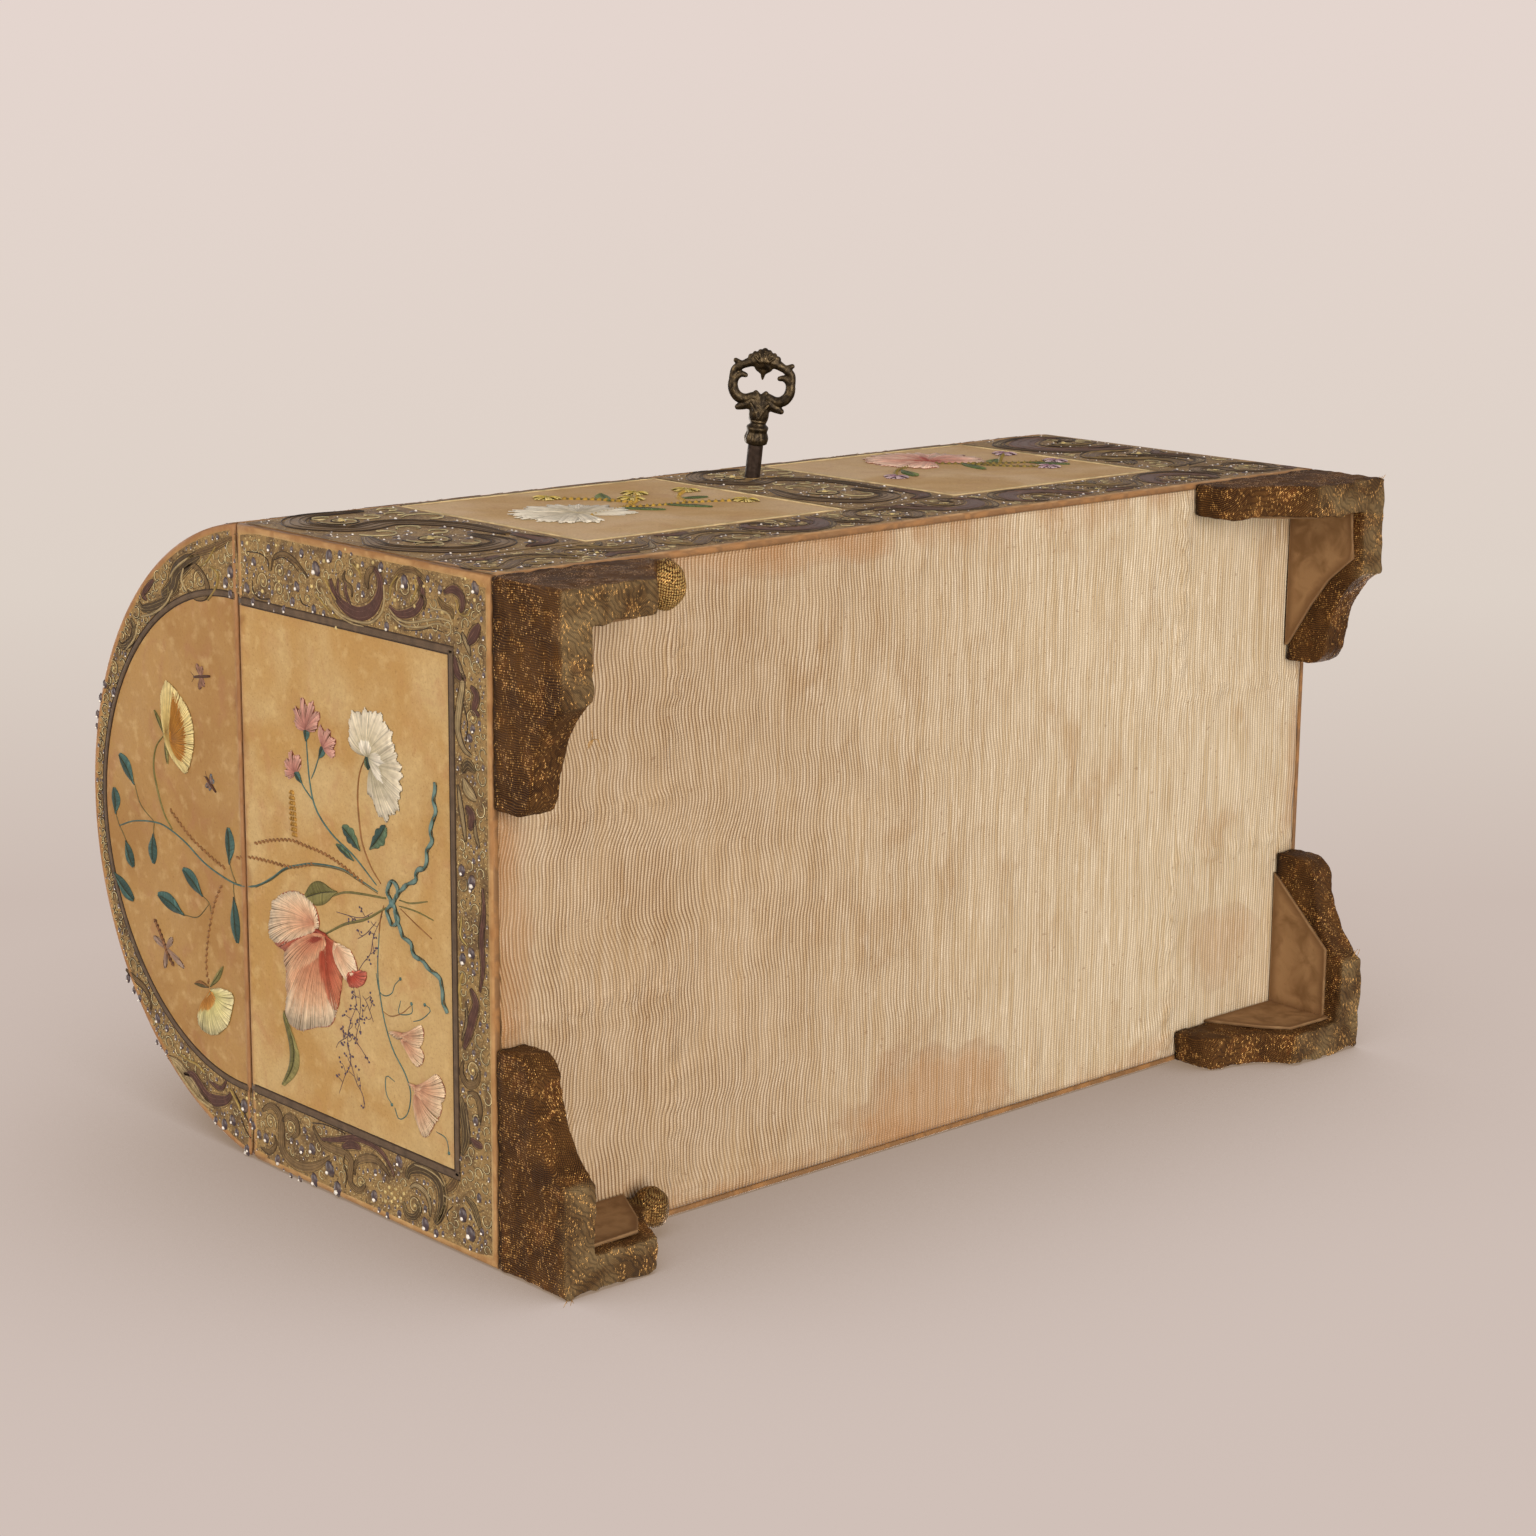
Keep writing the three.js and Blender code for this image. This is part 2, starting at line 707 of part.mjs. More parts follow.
// Points of an arc about the dome's centre, from front to back, above a given height
function archPoints(radius, low) {
  const start = Math.asin((low - domeCentre) / radius);
  const points = [];
  for (let i = 0; i <= domeSteps; i += 1) {
    const angle = Math.PI - start - (Math.PI - 2 * start) * i / domeSteps;
    points.push([radius * Math.cos(angle), domeCentre + radius * Math.sin(angle)]);
  }
  return points;
}

function archBand(outer, inner, low) {
  return shapeOf([...archPoints(outer, low), ...archPoints(inner, low).reverse()]);
}

// Points up the curved outside of a rail, and of the foot of an arch beside it
const railTop = lidLow + railHeight;
function railArc(signY) {
  const points = [];
  for (let i = 0; i <= coveSteps; i += 1) {
    const z = lidLow + railHeight * i / coveSteps;
    const up = z - domeCentre;
    points.push([signY * Math.sqrt(shellOuter * shellOuter - up * up), z]);
  }
  return points;
}

const lidCuts = [...hingeCuts(1, 0), backBevel(1, 0)];
const lidEndX = innerX - glueLine;

addPiece(lid, 'dome_parchment', cut(
  extrudeAlongX(archBand(domeRadius, domeRadius - panelThickness, lidLow), -boardX, boardX),
  lidCuts,
), 'parchment');
addPiece(lid, 'dome_shell', cut(
  extrudeAlongX(archBand(shellOuter, shellInner, railTop + glueLine), -boardX, boardX),
  lidCuts,
), 'board');

const lidEndPanel = shapeOf(archPoints(domeRadius, lidLow));
addPiece(lid, 'lid_left_parchment', cut(
  extrudeAlongX(lidEndPanel, -faceX, -boardX - glueLine),
  lidCuts,
), 'parchment');
addPiece(lid, 'lid_right_parchment', cut(
  extrudeAlongX(lidEndPanel, boardX + glueLine, faceX),
  lidCuts,
), 'parchment');

// The arches carry the shell, and step out at their feet to the line of the rails
const archBoard = shapeOf([
  ...railArc(-1),
  ...archPoints(archRadius, railTop),
  ...railArc(1).reverse(),
]);
addPiece(lid, 'lid_left_arch', extrudeAlongX(archBoard, -boardX, -innerX), 'board');
addPiece(lid, 'lid_right_arch', extrudeAlongX(archBoard, innerX, boardX), 'board');

// Rails along the front and the back, fitted between the arches and under the shell
function railShape(signY) {
  return shapeOf([[signY * innerY, railTop], [signY * innerY, lidLow], ...railArc(signY)]);
}

const strikeScrewPlaces = [-strikeScrewSpacing / 2, strikeScrewSpacing / 2]
  .map((offset) => lockOffset + hookMiddle + offset);
function strikeScrews(grow) {
  return strikeScrewPlaces.map((x) => countersunkScrew(grow).translate(x, boltMiddle, lidLow));
}

addPiece(lid, 'lid_front_rail', cut(
  extrudeAlongX(railShape(-1), -lidEndX, lidEndX),
  [
    atLock(slab(
      [hookMiddle - strikeLength / 2 - glueLine, boltMiddle - strikeWidth / 2 - glueLine, -lidGap],
      [
        hookMiddle + strikeLength / 2 + glueLine,
        boltMiddle + strikeWidth / 2 + glueLine,
        lidLow + strikeThickness + glueLine,
      ],
    )),
    ...strikeScrews(screwGap),
  ],
), 'board');
addPiece(lid, 'lid_back_rail', cut(
  extrudeAlongX(railShape(1), -lidEndX, lidEndX),
  lidCuts,
), 'board');

// Lining of the lid: one sheet under the shell above the rails, and one at each end
const sheetOuter = shellInner - glueLine;
const sheetInner = sheetOuter - liningThickness;
const sheetLow = railTop + glueLine;
addPiece(lid, 'lid_lining', extrudeAlongX(
  archBand(sheetOuter, sheetInner, sheetLow),
  -lidEndX,
  lidEndX,
), 'lining');

function endLiningShape() {
  const radius = sheetInner - glueLine;
  const halfWidth = innerY - glueLine;
  const arc = archPoints(radius, lidLow).filter(([y]) => Math.abs(y) < halfWidth);
  const shoulder = domeCentre + Math.sqrt(radius * radius - halfWidth * halfWidth);
  return shapeOf([
    [-halfWidth, lidLow],
    [-halfWidth, shoulder],
    ...arc.filter(([, z]) => z > shoulder),
    [halfWidth, shoulder],
    [halfWidth, lidLow],
  ]);
}
addPiece(lid, 'lid_lining_left', extrudeAlongX(
  endLiningShape(), -lidEndX, -lidEndX + liningThickness,
), 'lining');
addPiece(lid, 'lid_lining_right', extrudeAlongX(
  endLiningShape(), lidEndX - liningThickness, lidEndX,
), 'lining');

// Strike: a plate let into the front rail, with a hook that drops into the lock
const hookShape = shapeOf([
  [hookLow, lidLow - hookReach],
  [hookHigh, lidLow - hookReach],
  [hookHigh, lidLow + strikeThickness / 2],
  [hookWebLow, lidLow + strikeThickness / 2],
  [hookWebLow, lidLow - hookReach + hookArm],
  [hookLow, lidLow - hookReach + hookArm],
]);
const strikePlate = slab(
  [hookMiddle - strikeLength / 2, boltMiddle - strikeWidth / 2, lidLow],
  [hookMiddle + strikeLength / 2, boltMiddle + strikeWidth / 2, lidLow + strikeThickness],
);
const hook = extrudeAlongY(
  hookShape, boltMiddle - hookThickness / 2, boltMiddle + hookThickness / 2,
);
const strike = atLock(join([strikePlate, hook]));
addPiece(lid, 'strike_plate', cut(strike, strikeScrews(screwGap)), 'steel');
strikeScrews(0).forEach((screw, i) => addPiece(lid, `strike_screw_${i + 1}`, screw, 'steel'));

// Key, along its own axis: Y runs into the lock from the face of the box, and the bit points
// along Z, in the plane of the bow

function keyShank() {
  const collarEnd = -keyShankProud;
  const bitBack = capFront + faceY - keyBitEndGap;
  const journalEnd = capBack + faceY - glueLine;
  const tenonEnd = collarEnd - keyCollarLength + glueLine;
  const halfBit = keyBitThickness / 2;
  return join([
    rodAlongY(keyShankRadius, collarEnd, bitBack),
    rodAlongY(keyJournalRadius, bitBack - keyBitWidth, journalEnd),
    rodAlongY(keyTenonRadius, tenonEnd, collarEnd + keyCollarLength / 2),
    slab([-halfBit, bitBack - keyBitWidth, 0], [halfBit, bitBack, keyBitRadius]),
  ]);
}

// A sleeve on the shank's tenon, wide towards the box
function keyCollar() {
  const bore = keyTenonRadius + keyTenonGap;
  const low = -keyShankProud - keyCollarLength;
  const high = -keyShankProud - glueLine;
  const waist = low + keyCollarLength * keyCollarWaistShare;
  const band = high - keyCollarLength * keyCollarBandShare;
  const sleeve = turned([
    [bore, low],
    [keyCollarNarrowRadius, low],
    [keyCollarNarrowRadius, waist],
    [keyCollarWideRadius, band],
    [keyCollarWideRadius, high],
    [bore, high],
    [bore, low],
  ], roundSides);
  return sleeve.rotateX(-Math.PI / 2);
}

// A flat openwork plate in the plane of Y and Z
function keyBow() {
  const low = -keyShankProud - keyCollarLength - glueLine;
  const place = ([across, along], side) => [
    low - along * keyBowLength,
    side * across * keyBowWidth / 2,
  ];
  const wholeOutline = (shares) => [
    ...shares.map((share) => place(share, 1)),
    ...shares.slice().reverse().filter(([across]) => across > 0).map((share) => place(share, -1)),
  ];
  const shape = shapeOf(wholeOutline(bowOutlineShares));
  const opening = wholeOutline(bowOpeningShares).map(([y, z]) => new THREE.Vector2(y, z));
  shape.holes.push(new THREE.Path(opening));
  return extrudeAlongX(shape, -keyBowThickness / 2, keyBowThickness / 2);
}

addPiece(key, 'key_shank', keyShank(), 'steel');
addPiece(key, 'key_collar', keyCollar(), 'bronze');
addPiece(key, 'key_bow', keyBow(), 'bronze');

// The origin is under the middle of the outer size
casket.updateMatrixWorld(true);
const outerSize = new THREE.Box3().setFromObject(casket, true);
casket.position.y = -(outerSize.min.y + outerSize.max.y) / 2;

export default casket;
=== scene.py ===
"""Looks of a parchment-covered casket: its needlework, silk, lame feet, key and fittings."""

import json
import logging
import math
from dataclasses import dataclass, field
from enum import Enum
from typing import Any, Iterable, Mapping, Sequence

import bmesh
import bpy
import numpy as np
from mathutils import Matrix, Vector


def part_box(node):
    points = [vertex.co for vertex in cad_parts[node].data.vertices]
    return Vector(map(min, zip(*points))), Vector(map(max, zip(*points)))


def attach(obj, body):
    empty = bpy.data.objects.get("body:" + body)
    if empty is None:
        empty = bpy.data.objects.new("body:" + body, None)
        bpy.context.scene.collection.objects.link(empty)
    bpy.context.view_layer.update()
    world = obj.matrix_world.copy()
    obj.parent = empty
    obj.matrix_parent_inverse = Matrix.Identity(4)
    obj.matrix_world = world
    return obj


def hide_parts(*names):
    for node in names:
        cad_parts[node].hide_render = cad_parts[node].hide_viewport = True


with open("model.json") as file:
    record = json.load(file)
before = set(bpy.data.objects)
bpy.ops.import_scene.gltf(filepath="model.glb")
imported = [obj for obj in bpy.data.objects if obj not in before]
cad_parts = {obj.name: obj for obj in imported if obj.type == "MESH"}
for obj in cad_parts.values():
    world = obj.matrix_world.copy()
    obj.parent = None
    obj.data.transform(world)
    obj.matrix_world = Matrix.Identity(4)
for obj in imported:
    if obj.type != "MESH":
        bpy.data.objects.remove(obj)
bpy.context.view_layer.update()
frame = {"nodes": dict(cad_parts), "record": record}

log = logging.getLogger("casket")

MM = 0.001
PIECE_TRIANGLES = 180_000
FOOT_HEIGHT = 28
Color = tuple[float, float, float]
Spot = tuple[float, float]


def tint(code: str) -> Color:
    """A colour given as six hex digits, as linear red, green and blue.

    Args:
        code: the colour as it looks on a screen.

    Returns:
        Its three linear parts.
    """
    parts = [int(code[i : i + 2], 16) / 255 for i in (0, 2, 4)]
    return tuple(p / 12.92 if p <= 0.04045 else ((p + 0.055) / 1.055) ** 2.4 for p in parts)


def opaque(code: str) -> tuple[float, float, float, float]:
    """The colour of tint() with a full alpha."""
    return (*tint(code), 1.0)


# ---- Shader maths


class Signal:
    """What a shader node gives out, with operators that add Math nodes."""

    def __init__(self, board: "Board", socket: bpy.types.NodeSocket) -> None:
        """Wraps one output socket of a node on the board."""
        self.board = board
        self.socket = socket

    def math(self, operation: str, *others: "Signal | float") -> "Signal":
        """Adds one Math node.

        Args:
            operation: the node's operation.
            others: its inputs after this one.

        Returns:
            The node's result.
        """
        return self.board.node(
            "ShaderNodeMath", {"operation": operation}, dict(enumerate((self, *others)))
        )

    def __add__(self, other: "Signal | float") -> "Signal":
        """This plus another."""
        return self.math("ADD", other)

    __radd__ = __add__

    def __mul__(self, other: "Signal | float") -> "Signal":
        """This times another."""
        return self.math("MULTIPLY", other)

    __rmul__ = __mul__

    def __sub__(self, other: "Signal | float") -> "Signal":
        """This less another."""
        return self.math("SUBTRACT", other)

    def __rsub__(self, other: float) -> "Signal":
        """A number less this."""
        return self.math("MULTIPLY", -1.0) + other

    def __truediv__(self, other: "Signal | float") -> "Signal":
        """This over another."""
        return self.math("DIVIDE", other)

    def __pow__(self, other: float) -> "Signal":
        """This to a power."""
        return self.math("POWER", other)

    def sine(self) -> "Signal":
        """The sine of this, in radians."""
        return self.math("SINE")

    def fold(self) -> "Signal":
        """This without its sign."""
        return self.math("ABSOLUTE")

    def rising(self, low: float, high: float) -> "Signal":
        """A smooth step from 0 at low to 1 at high; it falls where high is the smaller.

        Args:
            low: where it is 0.
            high: where it is 1.

        Returns:
            The step.
        """
        inputs = {"Value": self, "From Min": low, "From Max": high}
        return self.board.node("ShaderNodeMapRange", {"interpolation_type": "SMOOTHSTEP"}, inputs)


class Board:
    """Makes the nodes of one tree."""

    def __init__(self, tree: bpy.types.NodeTree) -> None:
        """Takes the tree that the nodes go to."""
        self.tree = tree

    def node(
        self,
        kind: str,
        settings: Mapping[str, Any] | None = None,
        inputs: Mapping[str | int, Any] | None = None,
        output: str | int = 0,
    ) -> Signal:
        """Adds a node of any kind.

        Args:
            kind: the node's type.
            settings: its properties, and a colour ramp's stops under "stops", set first.
            inputs: the values or links of its sockets.
            output: the socket that is given back.

        Returns:
            That output.
        """
        made = self.tree.nodes.new(kind)
        for name, value in (settings or {}).items():
            if name == "stops":
                self._set_stops(made.color_ramp, value)
            else:
                setattr(made, name, value)
        for name, value in (inputs or {}).items():
            self.feed(made.inputs[name], value)
        return Signal(self, made.outputs[output])

    def feed(self, socket: bpy.types.NodeSocket, value: Any) -> None:
        """Sets one input to a value or links it.

        Args:
            socket: the input.
            value: a signal, number, vector or colour.
        """
        if isinstance(value, Signal):
            self.tree.links.new(value.socket, socket)
        else:
            socket.default_value = value

    @staticmethod
    def _set_stops(ramp: bpy.types.ColorRamp, stops: Sequence[tuple[float, str]]) -> None:
        """Gives a ramp its stops, each a place and a colour code."""
        while len(ramp.elements) > 1:
            ramp.elements.remove(ramp.elements[-1])
        for i, (place, code) in enumerate(stops):
            stop = ramp.elements[0] if i == 0 else ramp.elements.new(place)
            stop.position = place
            stop.color = opaque(code)

    def millimetres(self) -> Signal:
        """Object coordinates, in millimetres."""
        place = self.node("ShaderNodeTexCoord", output="Object")
        return self.stretch(place, 1000.0, 1000.0, 1000.0)

    def stretch(self, vector: Signal, x: float, y: float, z: float) -> Signal:
        """A vector with its three parts multiplied."""
        return self.node(
            "ShaderNodeVectorMath", {"operation": "MULTIPLY"}, {0: vector, 1: (x, y, z)}
        )

    def parts(self, vector: Signal) -> tuple[Signal, Signal, Signal]:
        """The three parts of a vector."""
        split = self.node("ShaderNodeSeparateXYZ", inputs={0: vector}).socket.node
        return tuple(Signal(self, split.outputs[i]) for i in range(3))

    def vector(self, x: Signal | float, y: Signal | float, z: Signal | float) -> Signal:
        """A vector of three parts."""
        return self.node("ShaderNodeCombineXYZ", inputs={0: x, 1: y, 2: z})

    def attribute(self, name: str, output: str = "Fac") -> Signal:
        """A mesh attribute of the piece."""
        return self.node("ShaderNodeAttribute", {"attribute_name": name}, output=output)

    def noise(self, vector: Signal, size: float, detail: float = 3.0, warp: float = 0.0) -> Signal:
        """Soft noise.

        Args:
            vector: the coordinates.
            size: the size of its clouds, in their units.
            detail: how many finer layers it has.
            warp: how much it is distorted.

        Returns:
            Values about 0.5.
        """
        inputs = {"Vector": vector, "Scale": 1.0 / size, "Detail": detail, "Distortion": warp}
        return self.node("ShaderNodeTexNoise", inputs=inputs)

    def cells(self, vector: Signal, size: float) -> Signal:
        """One random number for each cell of the given size."""
        found = self.node(
            "ShaderNodeTexVoronoi", inputs={"Vector": vector, "Scale": 1.0 / size}, output="Color"
        )
        return self.node("ShaderNodeSeparateColor", inputs={0: found})

    def blend(self, share: Signal | float, low: Any, high: Any, mode: str = "MIX") -> Signal:
        """Mixes two colours.

        Args:
            share: how much of the second one is taken.
            low: the first colour, a code or a signal.
            high: the second colour.
            mode: how they are mixed.

        Returns:
            The mixed colour.
        """
        low, high = (opaque(c) if isinstance(c, str) else c for c in (low, high))
        settings = {"data_type": "RGBA", "blend_type": mode}
        return self.node("ShaderNodeMix", settings, {0: share, 6: low, 7: high}, 2)

    def relief(self, height: Signal, depth: float, over: Signal | None = None) -> Signal:
        """A bump.

        Args:
            height: the height, from 0 to 1.
            depth: what 1 stands for, in millimetres.
            over: a bump below it.

        Returns:
            The normal.
        """
        inputs: dict[str | int, Any] = {"Height": height, "Distance": depth * MM, "Strength": 1.0}
        if over is not None:
            inputs["Normal"] = over
        return self.node("ShaderNodeBump", inputs=inputs)


# ---- Finishes


@dataclass(frozen=True)
class Finish:
    """The finish of a surface. Each kind works its colours out from object coordinates."""

    name: str

    def paint(self, board: Board) -> dict[str, Any]:
        """The inputs of the Principled shader."""
        raise NotImplementedError

    def material(self) -> bpy.types.Material:
        """The material of this finish, made once.

        Returns:
            The material.
        """
        made = bpy.data.materials.get(self.name)
        if made is None:
            made = bpy.data.materials.new(self.name)
            made.use_nodes = True
            board = Board(made.node_tree)
            shader = made.node_tree.nodes["Principled BSDF"]
            for socket, value in self.paint(board).items():
                board.feed(shader.inputs[socket], value)
        return made


@dataclass(frozen=True)
class Parchment(Finish):
    """Mottled parchment with paler rolled rims and brown stains beside them."""

    light: str = "c6a974"
    deep: str = "b79054"
    warm: str = "b48658"
    rim: str = "b48c5c"
    stain: str = "7e4e1e"

    def paint(self, board: Board) -> dict[str, Any]:
        """Clouds, fine fibres along Y, and the distance from the edge that the mesh carries."""
        place = board.millimetres()
        edge = board.attribute("edge")
        clouds = board.noise(place, 34.0, 4.0, 0.6).rising(0.36, 0.66)
        patches = board.noise(board.stretch(place, 1.0, 1.0, 1.4), 13.0, 5.0, 1.0).rising(0.5, 0.75)
        fibres = board.noise(place, 0.9, 4.0)
        specks = board.noise(place, 1.1, 2.0).rising(0.66, 0.74)
        blotch = board.noise(place, 6.0, 4.0, 0.8)
        color = board.blend(clouds, self.light, self.deep)
        pores = board.noise(place, 0.62, 2.0).rising(0.56, 0.7)
        glaze = board.noise(place, 4.2, 3.0).rising(0.5, 0.72)
        color = board.blend(patches * 0.55, color, self.warm)
        color = board.blend(glaze * 0.3, color, "dcc08a")
        color = board.blend(specks * 0.3, color, self.stain)
        color = board.blend(pores * 0.28, color, "8c6434")
        color = board.blend((fibres - 0.5) * 0.5 + 0.12, color, "8c6434")
        rim = edge.rising(2.1, 0.9)
        color = board.blend(rim * 0.85, color, self.rim)
        soil = (edge + blotch * 9.0).rising(7.6, 3.2)
        color = board.blend(soil * 0.66, color, self.stain)
        # Patchy dark brown along the outermost half millimetre of the panel's outline.
        outer_edge_dark = edge.rising(0.45, 0.0) * blotch.rising(0.35, 0.6)
        color = board.blend(outer_edge_dark * 0.6, color, "4c2c14")
        height = fibres * 0.6 + blotch * 0.4
        return {
            "Base Color": color,
            "Roughness": 0.5 + 0.2 * clouds,
            "Normal": board.relief(height, 0.16, board.relief(board.noise(place, 26.0, 2.0), 1.6)),
            "Specular IOR Level": 0.35,
        }


@dataclass(frozen=True)
class PaintedGround(Finish):
    """The cream ground of the borders, washed with grey and brown between the scrolls."""

    light: str = "94784a"
    wash: str = "644d30"
    dark: str = "382714"

    def paint(self, board: Board) -> dict[str, Any]:
        """Curling washes over cream."""
        place = board.millimetres()
        curls = board.noise(place, 3.4, 3.0, 2.2)
        washes = board.noise(place, 8.0, 3.0, 1.0)
        lines = (curls * 26.0).sine().rising(0.72, 1.0)
        color = board.blend(washes.rising(0.42, 0.7), self.light, self.wash)
        color = board.blend(lines * 0.7, color, self.dark)
        color = board.blend(board.noise(place, 0.8, 2.0).rising(0.58, 0.7) * 0.5, color, "dcc894")
        return {
            "Base Color": color,
            "Roughness": 0.62,
            "Normal": board.relief(curls, 0.3),
            "Specular IOR Level": 0.3,
        }


@dataclass(frozen=True)
class SilkThread(Finish):
    """Silk floss in the colours that the mesh carries."""

    roughness: float = 0.55
    sheen: float = 0.05

    def paint(self, board: Board) -> dict[str, Any]:
        """The thread's own colour, a little uneven, with the lie of its fibres."""
        place = board.millimetres()
        color = board.attribute("thread_color", "Color")
        worn = board.noise(place, 2.2, 3.0)
        fuzz = board.noise(place, 0.35, 2.0)
        color = board.blend(worn.rising(0.4, 0.7) * 0.22, color, "6e5434", "MULTIPLY")
        return {
            "Base Color": color,
            "Roughness": self.roughness,
            "Normal": board.relief(fuzz, 0.08),
            "Sheen Weight": self.sheen,
            "Specular IOR Level": 0.2,
        }


@dataclass(frozen=True)
class GlassBead(Finish):
    """Glossy beads and sequins in the colours that the mesh carries."""

    def paint(self, board: Board) -> dict[str, Any]:
        """The bead's own colour under a clear gloss."""
        color = board.attribute("thread_color", "Color")
        dust = board.noise(board.millimetres(), 1.4, 3.0)
        return {
            "Base Color": board.blend(dust.rising(0.45, 0.7) * 0.35, color, "8a745a"),
            "Roughness": 0.22 + 0.3 * dust,
            "Specular IOR Level": 0.6,
        }


@dataclass(frozen=True)
class Stain:
    """A brown patch on the underside: its middle and half sizes in millimetres, and its depth."""

    x: float
    y: float
    wide: float
    deep: float
    strength: float


@dataclass(frozen=True)
class RibbedSilk(Finish):
    """Ribbed silk whose ribs run along Y and waver, with moire bands and brown stains."""

    rib: float = 1.16
    light: str = "ddcdb0"
    deep: str = "c2aa82"
    # The colour of the painted shade in the grooves between the ribs.
    groove: str = "70502c"
    stain: str = "a06c34"
    stains: tuple[Stain, ...] = ()

    def paint(self, board: Board) -> dict[str, Any]:
        """Ribs with painted shade in their grooves, slubs, moire patches, painted sheen streaks,
        painted shade towards the left end, and stains.
        """
        place = board.millimetres()
        x, y, _ = board.parts(place)
        # Share towards the left end: the ribs waver more there, and the painted shade in the
        # grooves and over the whole silk grows with it.
        left = x.rising(95.0, -110.0)
        sway = board.noise(board.stretch(place, 0.008, 0.03, 0.0), 1.0, 1.0) - 0.5
        fine = board.noise(board.stretch(place, 0.02, 0.07, 0.0), 1.0, 1.0) - 0.5
        drift = sway * (left * 12.0 + 1.6) + fine * (left * 3.0 + 0.6) + board.attribute("pull")
        wave = ((x + drift) * (math.tau / self.rib)).sine()
        # The grooves between the ribs. Their darker colour is painted shade.
        groove = wave.rising(0.05, -0.9)
        weft = (y * (math.tau / 0.62)).sine()
        slub = board.noise(board.stretch(place, 1.5, 0.035, 1.0), 1.0, 3.0)
        patch = board.noise(board.stretch(place, 0.07, 0.045, 1.0), 1.0, 3.0, 0.5)
        # How strong the painted groove shade is: deeper towards the left end and in the moire
        # patches.
        depth = groove * (left * 0.44 + 0.42) * (patch.rising(0.25, 0.7) * 0.5 + 0.65)
        color = board.blend(slub.rising(0.3, 0.72), self.light, self.deep)
        # Pale streaks along the ribs: a painted sheen highlight.
        sheen_streaks = board.noise(board.stretch(place, 1.3, 0.12, 1.0), 1.0, 2.0).rising(0.56, 0.72)
        color = board.blend(patch.rising(0.54, 0.78) * 0.5, color, "b4905f")
        color = board.blend(sheen_streaks * 0.55, color, "f2e4cb")
        # Painted shade: the silk darkens towards the left end.
        color = board.blend(left * 0.48, color, "a8845a")
        # Painted shade in the grooves between the ribs, and along the low lines of the weft.
        color = board.blend(depth, color, self.groove)
        color = board.blend(weft.rising(0.2, 0.9) * 0.12, color, self.groove)
        color = self._soil(board, place, x, y, color)
        height = wave * 0.9 + weft * 0.2 + slub * 0.5
        return {
            "Base Color": color,
            "Roughness": 0.44 + 0.18 * groove,
            "Normal": board.relief(height, 0.12, board.relief(patch, 1.2)),
            "Sheen Weight": 0.12,
            "Specular IOR Level": 0.5,
        }

    def _soil(self, board: Board, place: Signal, x: Signal, y: Signal, color: Signal) -> Signal:
        """Darkens the cloth along its edges and in its stains.

        Args:
            board: where the nodes go.
            place: the coordinates.
            x: their first part.
            y: their second part.
            color: the clean colour.

        Returns:
            The soiled colour.
        """
        ragged = board.noise(place, 17.0, 5.0, 0.4) - 0.5
        edge = board.attribute("edge")
        border = (edge + ragged * 30.0).rising(8.0, -5.0)
        color = board.blend(border * 0.45, color, self.stain)
        for spot in self.stains:
            across = (x - spot.x) / spot.wide
            along = (y - spot.y) / spot.deep
            reach = (across * across + along * along) ** 0.5 + ragged * 1.5
            color = board.blend(reach.rising(1.2, 0.55) * spot.strength, color, self.stain)
            ring = reach.rising(1.12, 0.96) * reach.rising(0.76, 0.96)
            color = board.blend(ring * spot.strength * 0.35, color, "7a4e22")
        specks = board.noise(place, 1.7, 1.0).rising(0.72, 0.78)
        return board.blend(specks * 0.4, color, "7a5226")


